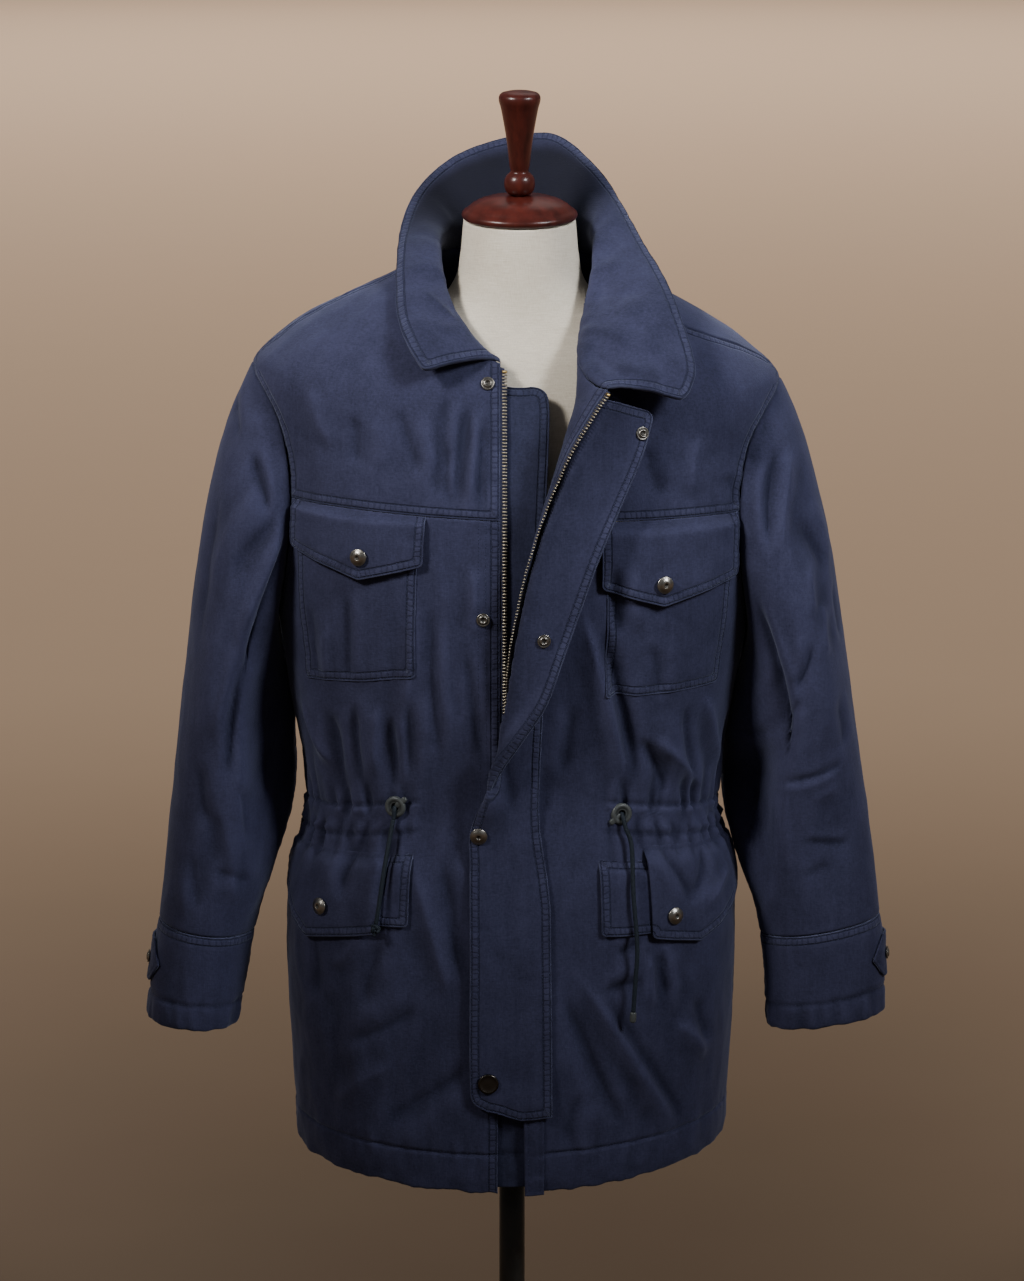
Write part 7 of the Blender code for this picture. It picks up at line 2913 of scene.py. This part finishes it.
@dataclass
class Studio:
    """Camera at the photograph's angle, soft lights and a pale floor."""

    lens: float = 100.0
    sensor: float = 36.0
    eye: Triple = (0.0, -3.30655, 1.77283)
    pitch: float = 12.0
    floor_colour: Triple = (0.56, 0.395, 0.275)
    floor_half: float = 70.0
    warm: Triple = (1.0, 0.97, 0.93)
    cool: Triple = (0.95, 0.97, 1.0)
    sky_colour: Triple = (0.93, 0.92, 0.90)
    sky_strength: float = 0.12

    def camera(self) -> None:
        """Make the camera."""
        data = bpy.data.cameras.new("camera")
        data.lens = self.lens
        data.sensor_width = self.sensor
        made = placed("camera", data)
        made.location = self.eye
        made.rotation_euler = (math.radians(90 - self.pitch), 0.0, 0.0)
        bpy.context.scene.camera = made

    def lamp(
        self, name: str, place: Sequence[float], target: Sequence[float], size: float, power: float,
        spread: float, colour: Sequence[float],
    ) -> None:
        """Make one soft area light.

        Args:
            name: the light's name.
            place: where it stands.
            target: the point that it is aimed at.
            size: length of its sides.
            power: its power in watts.
            spread: the angle in degrees that its light keeps within.
            colour: its colour.
        """
        data = bpy.data.lights.new(name, "AREA")
        data.size = size
        data.energy = power
        data.color = tuple(colour)
        data.spread = math.radians(spread)
        made = placed(name, data)
        made.location = place
        made.visible_glossy = name != "backdrop"
        aim = Vector(target) - Vector(place)
        made.rotation_euler = aim.to_track_quat("-Z", "Y").to_euler()

    def floor(self) -> None:
        """Wide pale floor, darkened toward the form by painted shade."""
        mesh = bpy.data.meshes.new("floor")
        half = self.floor_half
        corners = [(-half, -half, 0.0), (half, -half, 0.0), (half, half, 0.0), (-half, half, 0.0)]
        mesh.from_pydata(corners, [], [(0, 1, 2, 3)])
        kit = Kit("pale_floor")
        flat = kit.stretched((1.0, 1.0, 0.0))
        away = kit.node("ShaderNodeVectorMath", {"operation": "LENGTH"}, {0: flat}, "Value")
        # painted shade: the floor is darkest near the form's foot and reaches its own colour about 5 m
        # away
        shade = tuple(part * 0.22 for part in self.floor_colour)
        colour = kit.blend(away.between(0.5, 4.9) + kit.noise(3.0, 2.0) * 0.04, shade, self.floor_colour)
        mesh.materials.append(kit.finish(Base_Color=colour, Roughness=0.9, Specular_IOR_Level=0.1))
        placed("floor", mesh)

    def build(self) -> None:
        """Make the lights, the sky and the floor."""
        self.lamp("key", (-2.3, -2.0, 3.6), (0.02, 0.0, 1.49), 0.80, 3.7, 23.0, self.warm)
        self.lamp("fill", (2.5, -1.9, 3.4), (0.1, 0.0, 1.38), 1.1, 4.5, 27.0, self.cool)
        self.lamp("top", (0.3, 1.7, 3.3), (0.0, 0.0, 1.3), 1.4, 0.8, 90.0, self.warm)
        self.lamp("backdrop", (0.0, 36.0, 26.0), (0.0, 36.01, 0.0), 40.0, 15700.0, 170.0, self.warm)
        world = bpy.data.worlds.new("studio")
        world.use_nodes = True
        back = world.node_tree.nodes["Background"]
        back.inputs["Color"].default_value = (*self.sky_colour, 1.0)
        back.inputs["Strength"].default_value = self.sky_strength
        bpy.context.scene.world = world
        self.floor()


def chest_pockets() -> list[ChestPocket]:
    """The two chest pockets."""
    return [
        ChestPocket(
            Side.RIGHT, 0.0775, (1.168, 1.151, 1.172), 0.46, ((0.0, 1.061), (0.45, 1.054), (1.0, 1.050)),
        ),
        ChestPocket(
            Side.LEFT, 0.0800, (1.151, 1.134, 1.156), 0.44, ((0.0, 1.042), (0.45, 1.043), (1.0, 1.048)),
        ),
    ]


def lower_pockets() -> list[LowerPocket]:
    """The two lower pockets."""
    return [
        LowerPocket(
            Side.RIGHT, (42, 87), (0.884, 0.888), (0.820, 0.806, 0.858), 0.50, (-0.093, 0.883, 0.826),
            (-0.174, 0.836),
        ),
        LowerPocket(
            Side.LEFT, (45, 87), (0.890, 0.893), (0.815, 0.806, 0.848), 0.34, (0.081, 0.878, 0.819),
            (0.148, 0.832),
        ),
    ]


def waist_cords() -> list[WaistCord]:
    """The two tails of the waist drawcord."""
    right = (
        (-0.1065, 0.9275), (-0.1080, 0.915), (-0.1130, 0.880), (-0.1170, 0.850), (-0.1195, 0.8325),
    )
    left = (
        (0.1025, 0.9195), (0.1075, 0.902), (0.1090, 0.860), (0.1115, 0.810), (0.1100, 0.780),
        (0.1085, 0.7500),
    )
    return [
        WaistCord(Side.RIGHT, right, 13.5 * MM, (-0.1060, 0.940, 40), True),
        WaistCord(Side.LEFT, left, 9.5 * MM, (0.1005, 0.933, 215), False),
    ]


def all_snaps(sleeves: Sequence[Sleeve], closure: Closure) -> list[Snap]:
    """Every snap, stud and socket.

    Args:
        sleeves: the sleeves, for the snaps of their tabs.
        closure: the storm flap, for its caps and sockets.

    Returns:
        The snaps, not built yet.
    """
    snaps = []
    for sleeve in sleeves:
        snaps.append(Snap(f"{sleeve.side.word}_cuff_snap", SnapKind.SMALL, *sleeve.snap_place()))
    for pocket in chest_pockets():
        snaps.append(Snap(f"{pocket.side.word}_chest_snap", SnapKind.CAP, *pocket.snap_place()))
    for pocket in lower_pockets():
        snaps.append(Snap(f"{pocket.side.word}_lower_snap", SnapKind.CAP, *pocket.snap_place()))
    for name, x, z in (("stud_upper", -0.0220, 1.330), ("stud_lower", -0.0260, 1.121)):
        phi, height = BODY.front_place(np.array(x), np.array(z))
        point, normal = BODY.outer(phi, height, STUD_RISE)
        snaps.append(Snap(name, SnapKind.SMALL, point, normal))
    for name, height, share, face, kind, finish in (
        ("cap_waist", 0.9160, 0.80, 1, SnapKind.CAP, Finish.PEWTER),
        ("cap_hem", 0.6860, 0.64, 1, SnapKind.DISC, Finish.BLACKENED),
        ("socket_upper", 1.3930, 0.84, -1, SnapKind.SMALL, Finish.PEWTER),
        ("socket_lower", 1.1180, 0.62, -1, SnapKind.SMALL, Finish.PEWTER),
    ):
        middle, normal = closure.face(np.array(height), np.array(share))
        seat = middle + normal * face * (STORM_WALL / 2 + SOCKET_RISE)
        snaps.append(Snap(name, kind, seat, normal * face, finish))
    return snaps


def main() -> None:
    """Build every piece."""
    logging.basicConfig(level=logging.INFO, format="%(message)s")
    studio = Studio()
    studio.camera()
    cords = waist_cords()
    sleeves = [Sleeve(side) for side in Side]
    closure = Closure()
    snaps = all_snaps(sleeves, closure)
    CRUMPLE.calm += [(snap.point, 0.011) for snap in snaps]
    CRUMPLE.calm += [(cord.lock_place()[:3, 3], 0.014) for cord in cords]
    for cord in cords:
        cord.build()
    for snap in snaps:
        snap.build()
    Panels().build()
    for sleeve in sleeves:
        sleeve.build()
    for pocket in (*chest_pockets(), *lower_pockets()):
        pocket.build()
    Collar().build()
    closure.build()
    DressForm().build()
    studio.build()


if __name__ == "__main__":
    main()
